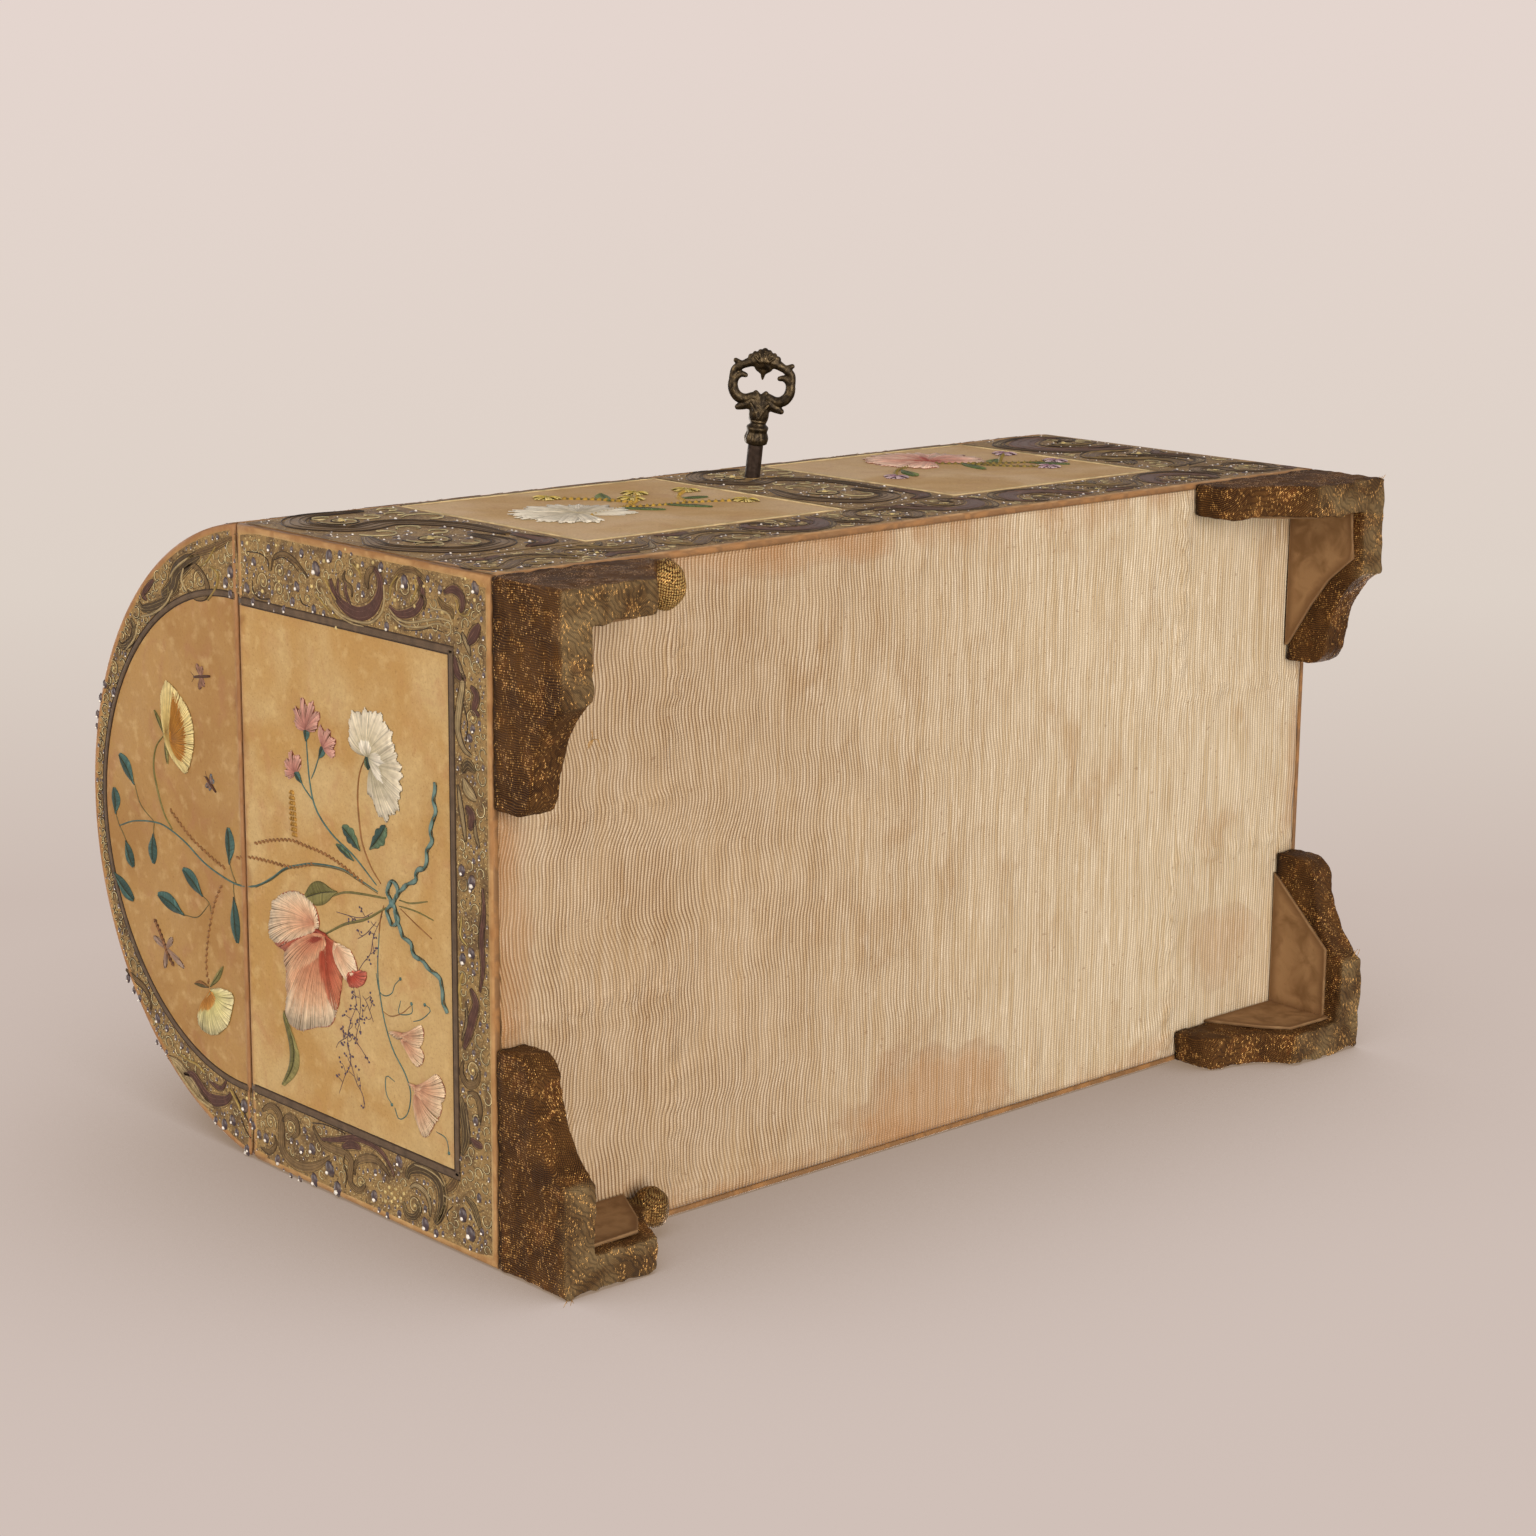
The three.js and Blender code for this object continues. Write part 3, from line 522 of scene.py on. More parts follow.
@dataclass(frozen=True)
class Lame(Finish):
    """Worn gold lame: brown silk woven with flat metal that glints here and there."""

    base: str = "583a1c"
    dark: str = "2e1a0a"
    gold: str = "e0ae66"
    worn: str = "84704e"

    def paint(self, board: Board) -> dict[str, Any]:
        """Weave lines, glints in drifts, a grey worn sole, brighter lobes, and painted shade along
        the top where the foot meets the box.
        """
        place = board.millimetres()
        wear = board.attribute("wear")
        bright = board.attribute("bright")
        x, y, z = board.parts(place)
        sway = board.noise(place, 7.0, 2.0) * 2.2
        lines = ((y + x + sway * 0.6) * (math.tau / 0.62)).sine()
        cross = ((z + (x - y) * 0.25 + sway) * (math.tau / 0.5)).sine()
        drift = board.noise(place, 6.0, 4.0, 0.8)
        spark = board.cells(board.stretch(place, 1.5, 0.6, 2.0), 0.42)
        row = lines.rising(-0.2, 0.7)
        glint = (spark + (drift - 0.5) * 0.9 + bright * 0.2).rising(0.86, 0.97) * (row * 0.8 + 0.2)
        shade = board.noise(place, 11.0, 4.0, 0.6)
        color = board.blend(shade.rising(0.3, 0.72), self.dark, self.base)
        color = board.blend(lines.rising(0.0, 0.9) * 0.5, color, "82592a")
        color = board.blend(cross.rising(0.1, 0.9) * 0.5, color, "1e1008")
        color = board.blend(drift.rising(0.5, 0.75) * 0.35, color, "7c4a22")
        netting = ((x + y + sway * 0.3) * 4.2).sine() * ((y - x + z * 1.3) * 3.6).sine()
        color = board.blend(bright * netting.rising(-0.1, 0.5) * 0.85, color, "c8a866")
        color = board.blend(wear * (shade.rising(0.35, 0.7) * 0.65 + 0.15), color, self.worn)
        color = board.blend(wear * cross.rising(0.0, 0.8) * 0.4, color, "35261a")
        # Painted shade: darker towards the top, from 24.6 mm up, where the foot meets the box.
        color = board.blend(z.rising(24.6, 27.6) * 0.8, color, "1c0f07")
        color = board.blend(glint, color, self.gold)
        height = lines * 0.3 + cross * 0.3 + spark * 0.5
        return {
            "Base Color": color,
            "Metallic": glint * 0.75,
            "Roughness": 0.62 - 0.3 * glint,
            "Normal": board.relief(height, 0.2),
            "Specular IOR Level": 0.1,
        }


@dataclass(frozen=True)
class Grained(Finish):
    """A plain stuff with a grain: wood, card or lining silk."""

    light: str
    deep: str
    grain: tuple[float, float, float]
    size: float
    roughness: float = 0.75
    relief_depth: float = 0.12

    def paint(self, board: Board) -> dict[str, Any]:
        """Two colours along the grain, with soft stains."""
        place = board.millimetres()
        run = board.noise(board.stretch(place, *self.grain), self.size, 4.0, 0.4)
        stain = board.noise(place, 16.0, 4.0)
        color = board.blend(run.rising(0.32, 0.7), self.light, self.deep)
        color = board.blend(stain.rising(0.52, 0.8) * 0.4, color, "6e4a28")
        return {
            "Base Color": color,
            "Roughness": self.roughness,
            "Normal": board.relief(run, self.relief_depth),
            "Specular IOR Level": 0.3,
        }


@dataclass(frozen=True)
class OldCard(Finish):
    """Tan pasteboard with worn pale edges and brown soil in its corners."""

    light: str = "96744e"
    deep: str = "745432"

    def paint(self, board: Board) -> dict[str, Any]:
        """Clouds, specks, and the distance from the edge that the mesh carries."""
        place = board.millimetres()
        edge = board.attribute("edge")
        clouds = board.noise(place, 7.0, 4.0, 0.5)
        color = board.blend(clouds.rising(0.35, 0.7), self.light, self.deep)
        color = board.blend(edge.rising(0.7, 0.2) * 0.6, color, "c4a478")
        color = board.blend((edge + clouds * 6.0).rising(6.0, 2.6) * 0.7, color, "5a381a")
        color = board.blend(board.noise(place, 0.8, 2.0).rising(0.66, 0.76) * 0.4, color, "6e4a26")
        return {
            "Base Color": color,
            "Roughness": 0.8,
            "Normal": board.relief(clouds, 0.4),
            "Specular IOR Level": 0.25,
        }


@dataclass(frozen=True)
class AgedMetal(Finish):
    """Dark metal that is rubbed bright on its ridges."""

    dark: str
    rubbed: str
    roughness: float = 0.42

    def paint(self, board: Board) -> dict[str, Any]:
        """Patina in patches, and the ridges that Pointiness finds."""
        place = board.millimetres()
        ridge = board.node("ShaderNodeNewGeometry", output="Pointiness").rising(0.5, 0.58)
        patina = board.noise(place, 1.6, 4.0, 0.5)
        color = board.blend(patina.rising(0.35, 0.72) * 0.6 + ridge * 0.5, self.dark, self.rubbed)
        return {
            "Base Color": color,
            "Metallic": 0.85,
            "Roughness": self.roughness + 0.25 * (1.0 - patina),
            "Normal": board.relief(patina, 0.08),
        }


UNDERSIDE_STAINS = (
    Stain(-3.0, 101.0, 33.0, 19.0, 0.5),
    Stain(-156.0, 22.0, 9.0, 40.0, 0.35),
    Stain(124.0, 74.0, 16.0, 14.0, 0.28),
    Stain(-60.0, -68.0, 44.0, 7.0, 0.3),
)
PARCHMENT = Parchment("aged_parchment")
FRONT_PARCHMENT = Parchment("pale_parchment", "d4b482", "c6a26c", "c09668", "c49a6c")
LID_PARCHMENT = Parchment("tan_parchment", "ae8850", "a07844", "a2714e", "a87c54")
PAINTED = PaintedGround("painted_border")
FLOSS = SilkThread("silk_floss")
BEADS = GlassBead("glass_beads")
SILK = RibbedSilk("ribbed_silk", stains=UNDERSIDE_STAINS)
LAME = Lame("worn_lame")
CARD = OldCard("tan_card")
WOOD = Grained("thin_pine", "b08a58", "8a6236", (0.05, 1.0, 1.0), 1.6, 0.7)
LINING = Grained("faded_lining", "cfae94", "b9927a", (0.08, 1.0, 1.0), 0.8, 0.6)
BRONZE = AgedMetal("dark_bronze", "221b12", "62543c", 0.3)
STEEL = AgedMetal("dark_steel", "1c1410", "463a32", 0.42)
BRASS = AgedMetal("tarnished_brass", "6a4f22", "a98548", 0.38)


# ---- Grounds that needlework lies on


class Ground:
    """A surface with flat coordinates: along it, across it and out of it, in millimetres."""

    @property
    def flipped(self) -> bool:
        """Whether the flat coordinates are left-handed in the row frame."""
        raise NotImplementedError

    def place(self, flat: np.ndarray) -> np.ndarray:
        """Turns flat points into points of the row frame, in millimetres."""
        raise NotImplementedError


@dataclass(frozen=True)
class Face(Ground):
    """A flat side of the box."""

    origin: Color
    along: Color
    across: Color
    out: Color

    @property
    def flipped(self) -> bool:
        """Whether the three directions are left-handed."""
        return float(np.linalg.det(np.array([self.along, self.across, self.out]))) < 0

    def place(self, flat: np.ndarray) -> np.ndarray:
        """Adds the three directions to the origin."""
        return np.array(self.origin) + flat @ np.array([self.along, self.across, self.out])


@dataclass(frozen=True)
class Vault(Ground):
    """The dome. Across is the length of its arc from the crown, towards the back."""

    radius: float
    middle_y: float
    middle_z: float

    @property
    def flipped(self) -> bool:
        """Along X, across Y and out Z are right-handed."""
        return False

    def place(self, flat: np.ndarray) -> np.ndarray:
        """Rolls the flat points round the dome's axis."""
        angle = flat[:, 1] / self.radius
        reach = self.radius + flat[:, 2]
        y = self.middle_y + reach * np.sin(angle)
        z = self.middle_z + reach * np.cos(angle)
        return np.stack([flat[:, 0], y, z], -1)


@dataclass(frozen=True)
class Strip(Ground):
    """A straight border band on a ground. Its units are its own widths."""

    ground: Ground
    start: tuple[float, float]
    heading: tuple[float, float]
    inward: tuple[float, float]
    width: float
    length: float

    @property
    def units(self) -> float:
        """The band's length in its own widths."""
        return self.length / self.width

    @property
    def flipped(self) -> bool:
        """Whether heading and inward turn the other way round than the ground."""
        turn = self.heading[0] * self.inward[1] - self.heading[1] * self.inward[0]
        return self.ground.flipped != (turn < 0)

    def lean(self, spot: Sequence[float]) -> tuple[float, float]:
        """The ground's first direction, as the band has it."""
        return self.heading[0], self.inward[0]

    def place(self, flat: np.ndarray) -> np.ndarray:
        """Lays the band's points on the ground."""
        return self.ground.place(self.spread(flat))

    def spread(self, flat: np.ndarray) -> np.ndarray:
        """Scales the band's points to the ground's own coordinates."""
        scaled = flat * self.width
        spot = np.zeros_like(scaled)
        for axis in (0, 1):
            spot[:, axis] = (
                self.start[axis]
                + self.heading[axis] * scaled[:, 0]
                + self.inward[axis] * scaled[:, 1]
            )
        spot[:, 2] = scaled[:, 2]
        return spot


@dataclass(frozen=True)
class ArchBand(Ground):
    """The border round a lid's end. It narrows from the seam towards the crown."""

    ground: Ground
    radius: float
    middle: float
    reach: float
    seam_width: float
    crown_width: float

    def widths(self, angle: np.ndarray) -> np.ndarray:
        """The band's width at an angle from the crown."""
        share = np.clip(np.abs(angle) / self.reach, 0, 1) ** 1.7
        return self.crown_width + (self.seam_width - self.crown_width) * share

    def _table(self) -> tuple[np.ndarray, np.ndarray]:
        """Angles, and the band's length in its own widths up to each."""
        angles = np.linspace(-self.reach, self.reach, 400)
        steps = self.radius * np.diff(angles) / self.widths((angles[1:] + angles[:-1]) / 2)
        return angles, np.concatenate([[0.0], np.cumsum(steps)])

    @property
    def units(self) -> float:
        """The band's length in its own widths."""
        return float(self._table()[1][-1])

    @property
    def flipped(self) -> bool:
        """Inward runs down at the crown, which turns the ground's order round."""
        return not self.ground.flipped

    def lean(self, spot: Sequence[float]) -> tuple[float, float]:
        """The ground's first direction, as the band has it there."""
        angles, lengths = self._table()
        angle = float(np.interp(spot[0], lengths, angles))
        return math.cos(angle), -math.sin(angle)

    def place(self, flat: np.ndarray) -> np.ndarray:
        """Lays the band's points on the ground."""
        return self.ground.place(self.spread(flat))

    def spread(self, flat: np.ndarray) -> np.ndarray:
        """Bends the band's points along the arch, in the ground's own coordinates."""
        angles, lengths = self._table()
        angle = np.interp(flat[:, 0], lengths, angles)
        width = self.widths(angle)
        reach = self.radius - flat[:, 1] * width
        return np.stack(
            [reach * np.sin(angle), self.middle + reach * np.cos(angle), flat[:, 2] * width], -1
        )


# ---- Meshes


class Draft:
    """Points, faces and thread colours of one piece, gathered before its mesh is made."""

    def __init__(self) -> None:
        """Starts empty."""
        self.batches: list[tuple[np.ndarray, np.ndarray, np.ndarray]] = []

    def add(self, points: np.ndarray, quads: np.ndarray, colors: np.ndarray) -> None:
        """Adds a batch.

        Args:
            points: its points, in millimetres.
            quads: its faces, as numbers of its own points.
            colors: one colour for each point.
        """
        self.batches.append((points, quads, colors))

    def build(self, name: str, finish: Finish, body: str, slot: str) -> None:
        """Makes one or more pieces, none above the limit of triangles.

        Args:
            name: what the pieces are called.
            finish: their finish.
            body: the CAD body that they ride on.
            slot: the record's material slot.
        """
        groups: list[list[tuple[np.ndarray, np.ndarray, np.ndarray]]] = [[]]
        count = 0
        for batch in self.batches:
            if count + 2 * len(batch[1]) > PIECE_TRIANGLES and groups[-1]:
                groups.append([])
                count = 0
            groups[-1].append(batch)
            count += 2 * len(batch[1])
        for number, group in enumerate(group for group in groups if group):
            starts = np.cumsum([0] + [len(batch[0]) for batch in group[:-1]])
            points = np.concatenate([batch[0] for batch in group])
            quads = np.concatenate([batch[1] + start for batch, start in zip(group, starts)])
            colors = np.concatenate([batch[2] for batch in group])
            mesh = mesh_of(f"{name}_{number + 1}", points, quads, {"thread_color": colors})
            settle(mesh, finish, body, slot)


def mesh_of(
    name: str, points: np.ndarray, faces: np.ndarray, attributes: Mapping[
        str, np.ndarray
    ] | None = None
) -> bpy.types.Object:
    """Makes an object of faces that all have as many corners.

    Args:
        name: its name.
        points: its points, in millimetres.
        faces: one row of point numbers for each face.
        attributes: numbers or colours, one for each point.

    Returns:
        The object, at the origin.
    """
    mesh = bpy.data.meshes.new(name)
    mesh.vertices.add(len(points))
    mesh.vertices.foreach_set("co", (points * MM).astype(np.float32).ravel())
    mesh.loops.add(faces.size)
    mesh.loops.foreach_set("vertex_index", faces.astype(np.int32).ravel())
    mesh.polygons.add(len(faces))
    mesh.polygons.foreach_set(
        "loop_start", np.arange(0, faces.size, faces.shape[1], dtype=np.int32)
    )
    mesh.update(calc_edges=True)
    for label, values in (attributes or {}).items():
        give_attribute(mesh, label, values)
    mesh.shade_smooth()
    made = bpy.data.objects.new(name, mesh)
    bpy.context.scene.collection.objects.link(made)
    return made


def give_attribute(mesh: bpy.types.Mesh, label: str, values: np.ndarray) -> None:
    """Stores one number or colour for each point of a mesh.

    Args:
        mesh: the mesh.
        label: the attribute's name.
        values: the numbers, or rows of red, green and blue.
    """
    if values.ndim == 2:
        made = mesh.color_attributes.new(label, "FLOAT_COLOR", "POINT")
        rgba = np.concatenate([values, np.ones((len(values), 1))], 1)
        made.data.foreach_set("color", rgba.astype(np.float32).ravel())
    else:
        made = mesh.attributes.new(label, "FLOAT", "POINT")
        made.data.foreach_set("value", values.astype(np.float32))


def settle(made: bpy.types.Object, finish: Finish, body: str, slot: str) -> bpy.types.Object:
    """Dresses a piece and lets it ride on its body.

    Args:
        made: the piece.
        finish: its finish.
        body: the CAD body.
        slot: the record's material slot; not used.

    Returns:
        The piece.
    """
    made.data.materials.clear()
    made.data.materials.append(finish.material())
    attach(made, body)
    made.data.calc_loop_triangles()
    log.info("piece %s rides on %s: %d triangles", made.name, body, len(made.data.loop_triangles))
    return made


def evaluated(made: bpy.types.Object) -> bpy.types.Object:
    """Turns an object's modifiers into a plain mesh.

    Args:
        made: the object.

    Returns:
        The same object with its new mesh and no modifiers.
    """
    graph = bpy.context.evaluated_depsgraph_get()
    mesh = bpy.data.meshes.new_from_object(made.evaluated_get(graph))
    made.modifiers.clear()
    made.data = mesh
    return made


def smooth_line(points: Sequence[Sequence[float]], step: float) -> np.ndarray:
    """A smooth curve through points, cut at even steps.

    Args:
        points: what it passes through.
        step: the length of a step, in the points' units.

    Returns:
        The points of the curve.
    """
    knots = np.asarray(points, float)
    if len(knots) > 2:
        padded = np.concatenate([[2 * knots[0] - knots[1]], knots, [2 * knots[-1] - knots[-2]]])
        t = np.linspace(0, 1, 14, endpoint=False)[:, None]
        runs = []
        for i in range(1, len(padded) - 2):
            a, b, c, d = padded[i - 1 : i + 3]
            runs.append(
                0.5 * (
                    2 * b + (c - a) * t
                    + (2 * a - 5 * b + 4 * c - d) * t**2
                    + (3 * b - a - 3 * c + d) * t**3
                )
            )
        knots = np.concatenate([*runs, [knots[-1]]])
    reach = np.concatenate([[0.0], np.cumsum(np.linalg.norm(np.diff(knots, axis=0), axis=1))])
    count = max(3, int(round(reach[-1] / step)) + 1)
    even = np.linspace(0, reach[-1], count)
    return np.stack([np.interp(even, reach, knots[:, axis]) for axis in range(knots.shape[1])], -1)


class Profile(Enum):
    """The section of a laid thread: places across it and heights, from left to right and back."""

    THREAD = ((0.5, 0.0), (0.0, 1.0), (-0.5, 0.0), (0.0, -0.4))
    BAND = ((0.5, 0.0), (0.28, 0.9), (-0.28, 0.9), (-0.5, 0.0), (-0.3, -0.3), (0.3, -0.3))


class Dot(Enum):
    """The kinds of small round pieces."""

    SEQUIN = ("sequin", 8, 4)
    PEARL = ("pearl", 5, 3)
    # A pale bead that stands for a sequin's highlight: a painted highlight.
    KNOT = ("knot", 5, 3)


@dataclass
class Palette:
    """Thread colours of a border."""

    edge: str = "c8b98c"
    outline: str = "33251b"
    sequin: str = "382a30"
    # The pale bead on each sequin's shoulder: a painted highlight.
    pearl: str = "e8e2d8"
    knot: str = "cbb67c"
    inks: Mapping[str, str] = field(
        default_factory=lambda: {
            "p": "4e322a", "d": "46361f", "g": "7a6240", "b": "5c4428", "s": "a49068",
            "o": "988048",
        }
    )
    streaks: Mapping[str, str] = field(
        default_factory=lambda: {
            "p": "6e5244", "d": "8e7a54", "g": "4c3a24", "b": "8c7448", "s": "62503a",
            "o": "bca560",
        }
    )


def axes(base: Spot, tip: Spot) -> tuple[np.ndarray, np.ndarray, float, np.ndarray, np.ndarray]:
    """The two ends of a line from base to tip, its length, its direction and its left side."""
    start, end = np.array(base, float), np.array(tip, float)
    length = float(np.linalg.norm(end - start))
    run = (end - start) / length
    return start, end, length, run, np.array([-run[1], run[0]])


class Needlework:
    """Threads, beads and knots on one ground, kept apart for the box and the lid."""

    def __init__(
        self, ground: Ground, body: str, seed: int, seam: float | None = None, coarse: float = 1.0
    ) -> None:
        """Starts a piece of needlework.

        Args:
            ground: the surface that it lies on.
            body: the CAD body that the ground rides on.
            seed: the start of its random numbers.
            seam: the place across the ground where the lid begins, if the ground has one.
            coarse: how much wider and longer its stitches are than the finest.
        """
        self.coarse = coarse
        self.ground = ground
        self.body = body
        self.seam = seam
        self.rng = np.random.default_rng(seed)
        self.drafts: dict[str, Draft] = {}
        self.dots: dict[tuple[str, Dot], list[tuple[np.ndarray, ...]]] = {}

    # Threads

    def lay(
        self,
        paths: np.ndarray,
        widths: Any,
        depths: Any,
        colors: Any,
        profile: Profile = Profile.THREAD,
    ) -> None:
        """Lays threads along paths.

        Args:
            paths: strands by points by three flat coordinates.
            widths: the threads' widths.
            depths: how far they stand above their paths.
            colors: colours of the strands or their points.
            profile: their section.
        """
        paths = np.asarray(paths, float)
        paths = paths[None] if paths.ndim == 2 else paths
        strands, count = paths.shape[:2]
        widths = np.broadcast_to(np.asarray(widths, float), (strands, count))
        depths = np.broadcast_to(np.asarray(depths, float), (strands, count))
        colors = np.broadcast_to(np.asarray(colors, float), (strands, count, 3))
        if self.seam is None:
            self._sweep(self.body, paths, widths, depths, colors, profile)
            return
        side = np.sign(
            np.where(np.abs(paths[..., 1] - self.seam) < 0.4, 0, paths[..., 1] - self.seam)
        )
        for body, sign in (("box", -1), ("lid", 1)):
            whole = np.all(side == sign, axis=1)
            if whole.any():
                self._sweep(
                    body, paths[whole], widths[whole], depths[whole], colors[whole], profile
                )
            for row in np.flatnonzero(~whole & np.any(side == sign, axis=1)):
                marks = np.flatnonzero(side[row] == sign)
                for run in np.split(marks, np.flatnonzero(np.diff(marks) > 1) + 1):
                    if len(run) > 1:
                        part = (
                            paths[row, run], widths[row, run], depths[row, run], colors[row, run]
                        )
                        self._sweep(body, *(values[None] for values in part), profile)

    def _sweep(
        self,
        body: str,
        paths: np.ndarray,
        widths: np.ndarray,
        depths: np.ndarray,
        colors: np.ndarray,
        profile: Profile,
    ) -> None:
        """Makes closed tubes of the threads and adds them to a body's draft."""
        strands, count = paths.shape[:2]
        section = np.array(profile.value)
        sides = len(section)
        run = np.gradient(paths[..., :2], axis=1)
        run /= np.maximum(np.linalg.norm(run, axis=-1, keepdims=True), 1e-9)
        left = np.stack([-run[..., 1], run[..., 0]], -1)
        points = np.repeat(paths[:, :, None, :], sides, axis=2)
        points[..., :2] += left[:, :, None, :] * (
            section[:, 0][None, None] * widths[..., None]
        )[..., None]
        points[..., 2] += section[:, 1] * depths[..., None]
        ring = np.arange(strands)[:, None, None] * count * sides + np.arange(count - 1)[
            None, :, None
        ] * sides
        near = ring + np.arange(sides)
        far = ring + (np.arange(sides) + 1) % sides
        quads = np.stack([near, far, far + sides, near + sides], -1).reshape(-1, 4)
        cap = np.array([[0, 1, 2, 3]] if sides == 4 else [[0, 1, 2, 3], [3, 4, 5, 0]])
        first = np.arange(strands)[:, None, None] * count * sides
        caps = [
            (first + cap[None, :, ::-1]).reshape(-1, 4),
            (first + (count - 1) * sides + cap[None]).reshape(-1, 4),
        ]
        quads = np.concatenate([quads, *caps])
        if self.ground.flipped:
            quads = quads[:, ::-1]
        shades = np.repeat(colors[:, :, None, :], sides, axis=2).reshape(-1, 3)
        world = self.ground.place(points.reshape(-1, 3))
        self.drafts.setdefault(body, Draft()).add(world, quads, np.clip(shades, 0, 1))

    def uneven(self, color: Any, shape: tuple[int, ...], spread: float = 0.09) -> np.ndarray:
        """A colour with a random brightness for each of many strands.

        Args:
            color: the colour code, or linear colours.
            shape: how many strands, and points where each has its own.
            spread: how much the brightness varies.

        Returns:
            An array of that shape by three.
        """
        base = np.array(tint(color)) if isinstance(color, str) else np.asarray(color)
        return base * (1 + self.rng.normal(0, spread, shape))[..., None]

    def thread(
        self, points: Sequence[
            Sequence[float]
        ], width: float, color: str, lift: float = 0.0, step: float = 1.0
    ) -> None:
        """A couched thread along a smooth curve, thinner at its ends.

        Args:
            points: what the curve passes through.
            width: the thread's width.
            color: its colour.
            lift: how far above the ground it starts.
            step: the length of its facets.
        """
        line = smooth_line(points, step * self.coarse)
        path = np.concatenate([line, np.full((len(line), 1), lift)], 1)
        taper = 0.45 + 0.55 * np.sin(np.pi * np.linspace(0.06, 0.94, len(line))) ** 0.5
        shade = self.uneven(color, (len(line),), 0.12)
        self.lay(path, width * taper, width * 0.55 * taper, shade[None])

    def stitches(
        self, points: Sequence[
            Sequence[float]
        ], width: float, color: str, stitch: float = 1.7, slant: float = 0.0
    ) -> None:
        """A line of separate stitches along a smooth curve.

        Args:
            points: what the curve passes through.
            width: a stitch's width.
            color: its colour.
            stitch: the length of a stitch and its gap.
            slant: how far the stitches turn out of the line, in radians.
        """
        line = smooth_line(points, stitch)
        middle = (line[1:] + line[:-1]) / 2
        run = (line[1:] - line[:-1]) * 0.42
        turned = np.stack(
            [
                run[:, 0] * math.cos(slant) - run[:, 1] * math.sin(slant),
                run[:, 0] * math.sin(slant) + run[:, 1] * math.cos(slant),
            ],
            -1,
        )
        flat = np.stack([middle - turned, middle, middle + turned], 1)
        paths = np.concatenate([flat, np.zeros((*flat.shape[:2], 1))], -1)
        widths = width * np.array([0.5, 1.0, 0.5])
        self.lay(paths, widths, widths * 0.6, self.uneven(color, (len(flat),))[:, None])

    def petal(
        self,
        base: tuple[float, float],
        tip: tuple[float, float],
        width: float,
        colors: Sequence[str],
        lift: float = 0.55,
        ruffle: float = 0.0,
        outline: str | None = None,
        strand: float = 0.42,
    ) -> None:
        """A petal of satin stitches that fan out from its base.

        Args:
            base: where the stitches start.
            tip: the middle of the petal's edge.
            width: the petal's widest measure.
            colors: colour codes from the base to the edge.
            lift: how high the petal is padded.
            ruffle: how deep its edge waves, as a share of its length.
            outline: the colour of a thin line round it.
            strand: the width of a stitch.
        """
        start, _, length, run, side = axes(base, tip)
        strand *= self.coarse
        count = max(5, int(width / strand * 1.15))
        v = np.linspace(-1, 1, count)
        u = np.linspace(0, 1, 7 if self.coarse < 1.5 else 5)
        edge = 1 - 0.3 * np.abs(v) ** 2.4 + ruffle * np.cos(v * 9.0 + self.rng.uniform(0, 6))
        edge = edge + self.rng.normal(0, 0.018, count)
        spread = u**0.6 * (1.1 - 0.16 * u**2)
        along = edge[:, None] * u[None] * length
        across = v[:, None] * spread[None] * width / 2
        flat = start + along[..., None] * run + across[..., None] * side
        crown = np.sin(np.pi * np.clip(u * 0.86 + 0.08, 0, 1)) ** 0.8
        height = lift * crown[None] * np.sqrt(np.clip(1.02 - v**2, 0, 1))[:, None] + 0.05
        paths = np.concatenate([flat, height[..., None]], -1)
        stops = np.array([tint(code) for code in colors])
        marks = np.linspace(0, 1, len(stops))
        shade = np.stack([np.interp(u, marks, stops[:, i]) for i in range(3)], -1)
        shade = self.uneven(np.broadcast_to(shade, (count, len(u), 3)), (count, 1), 0.13)
        self.lay(paths, strand * 1.25 * (0.55 + 0.5 * spread), 0.16, shade)
        if outline:
            rim = np.concatenate([flat[0, 1:], flat[1:-1, -1], flat[-1, 1:][::-1]])
            self.thread(rim[:: max(1, len(rim) // 26)], 0.3, outline, 0.08)

    def panel(
        self,
        outline: Sequence[Spot],
        base: Spot,
        colors: Sequence[str],
        lift: float = 0.5,
        rim: str | None = None,
    ) -> None:
        """A petal whose satin stitches run from its base to a drawn outline.

        Args:
            outline: what its edge passes through.
            base: where the stitches start.
            colors: colour codes from the base to the edge.
            lift: how high the petal is padded.
            rim: the colour of a thin line round it.
        """
        strand = 0.4 * self.coarse
        edge = smooth_line([*outline, outline[0]], strand)
        edge = edge + self.rng.normal(0, 0.12, edge.shape)
        u = np.linspace(0, 1, 7)
        start = np.array(base, float)
        flat = start + u[None, :, None] * (edge - start)[:, None]
        side = (edge - start)[:, ::-1] * [-1, 1]
        flat += (np.sin(np.pi * u) * 0.05)[None, :, None] * side[:, None]
        crown = np.sin(np.pi * np.clip(u * 0.86 + 0.08, 0, 1)) ** 0.8
        height = np.broadcast_to(lift * crown + 0.05, flat.shape[:2])
        stops = np.array([tint(code) for code in colors])
        marks = np.linspace(0, 1, len(stops))
        shade = np.stack([np.interp(u, marks, stops[:, i]) for i in range(3)], -1)
        shade = self.uneven(np.broadcast_to(shade, (*flat.shape[:2], 3)), (len(edge), 1), 0.14)
        self.lay(
            np.concatenate([flat, height[..., None]], -1), strand * (0.5 + 0.8 * u), 0.14, shade
        )
        if rim:
            self.thread(edge[:: max(1, len(edge) // 26)], 0.32, rim, 0.1)

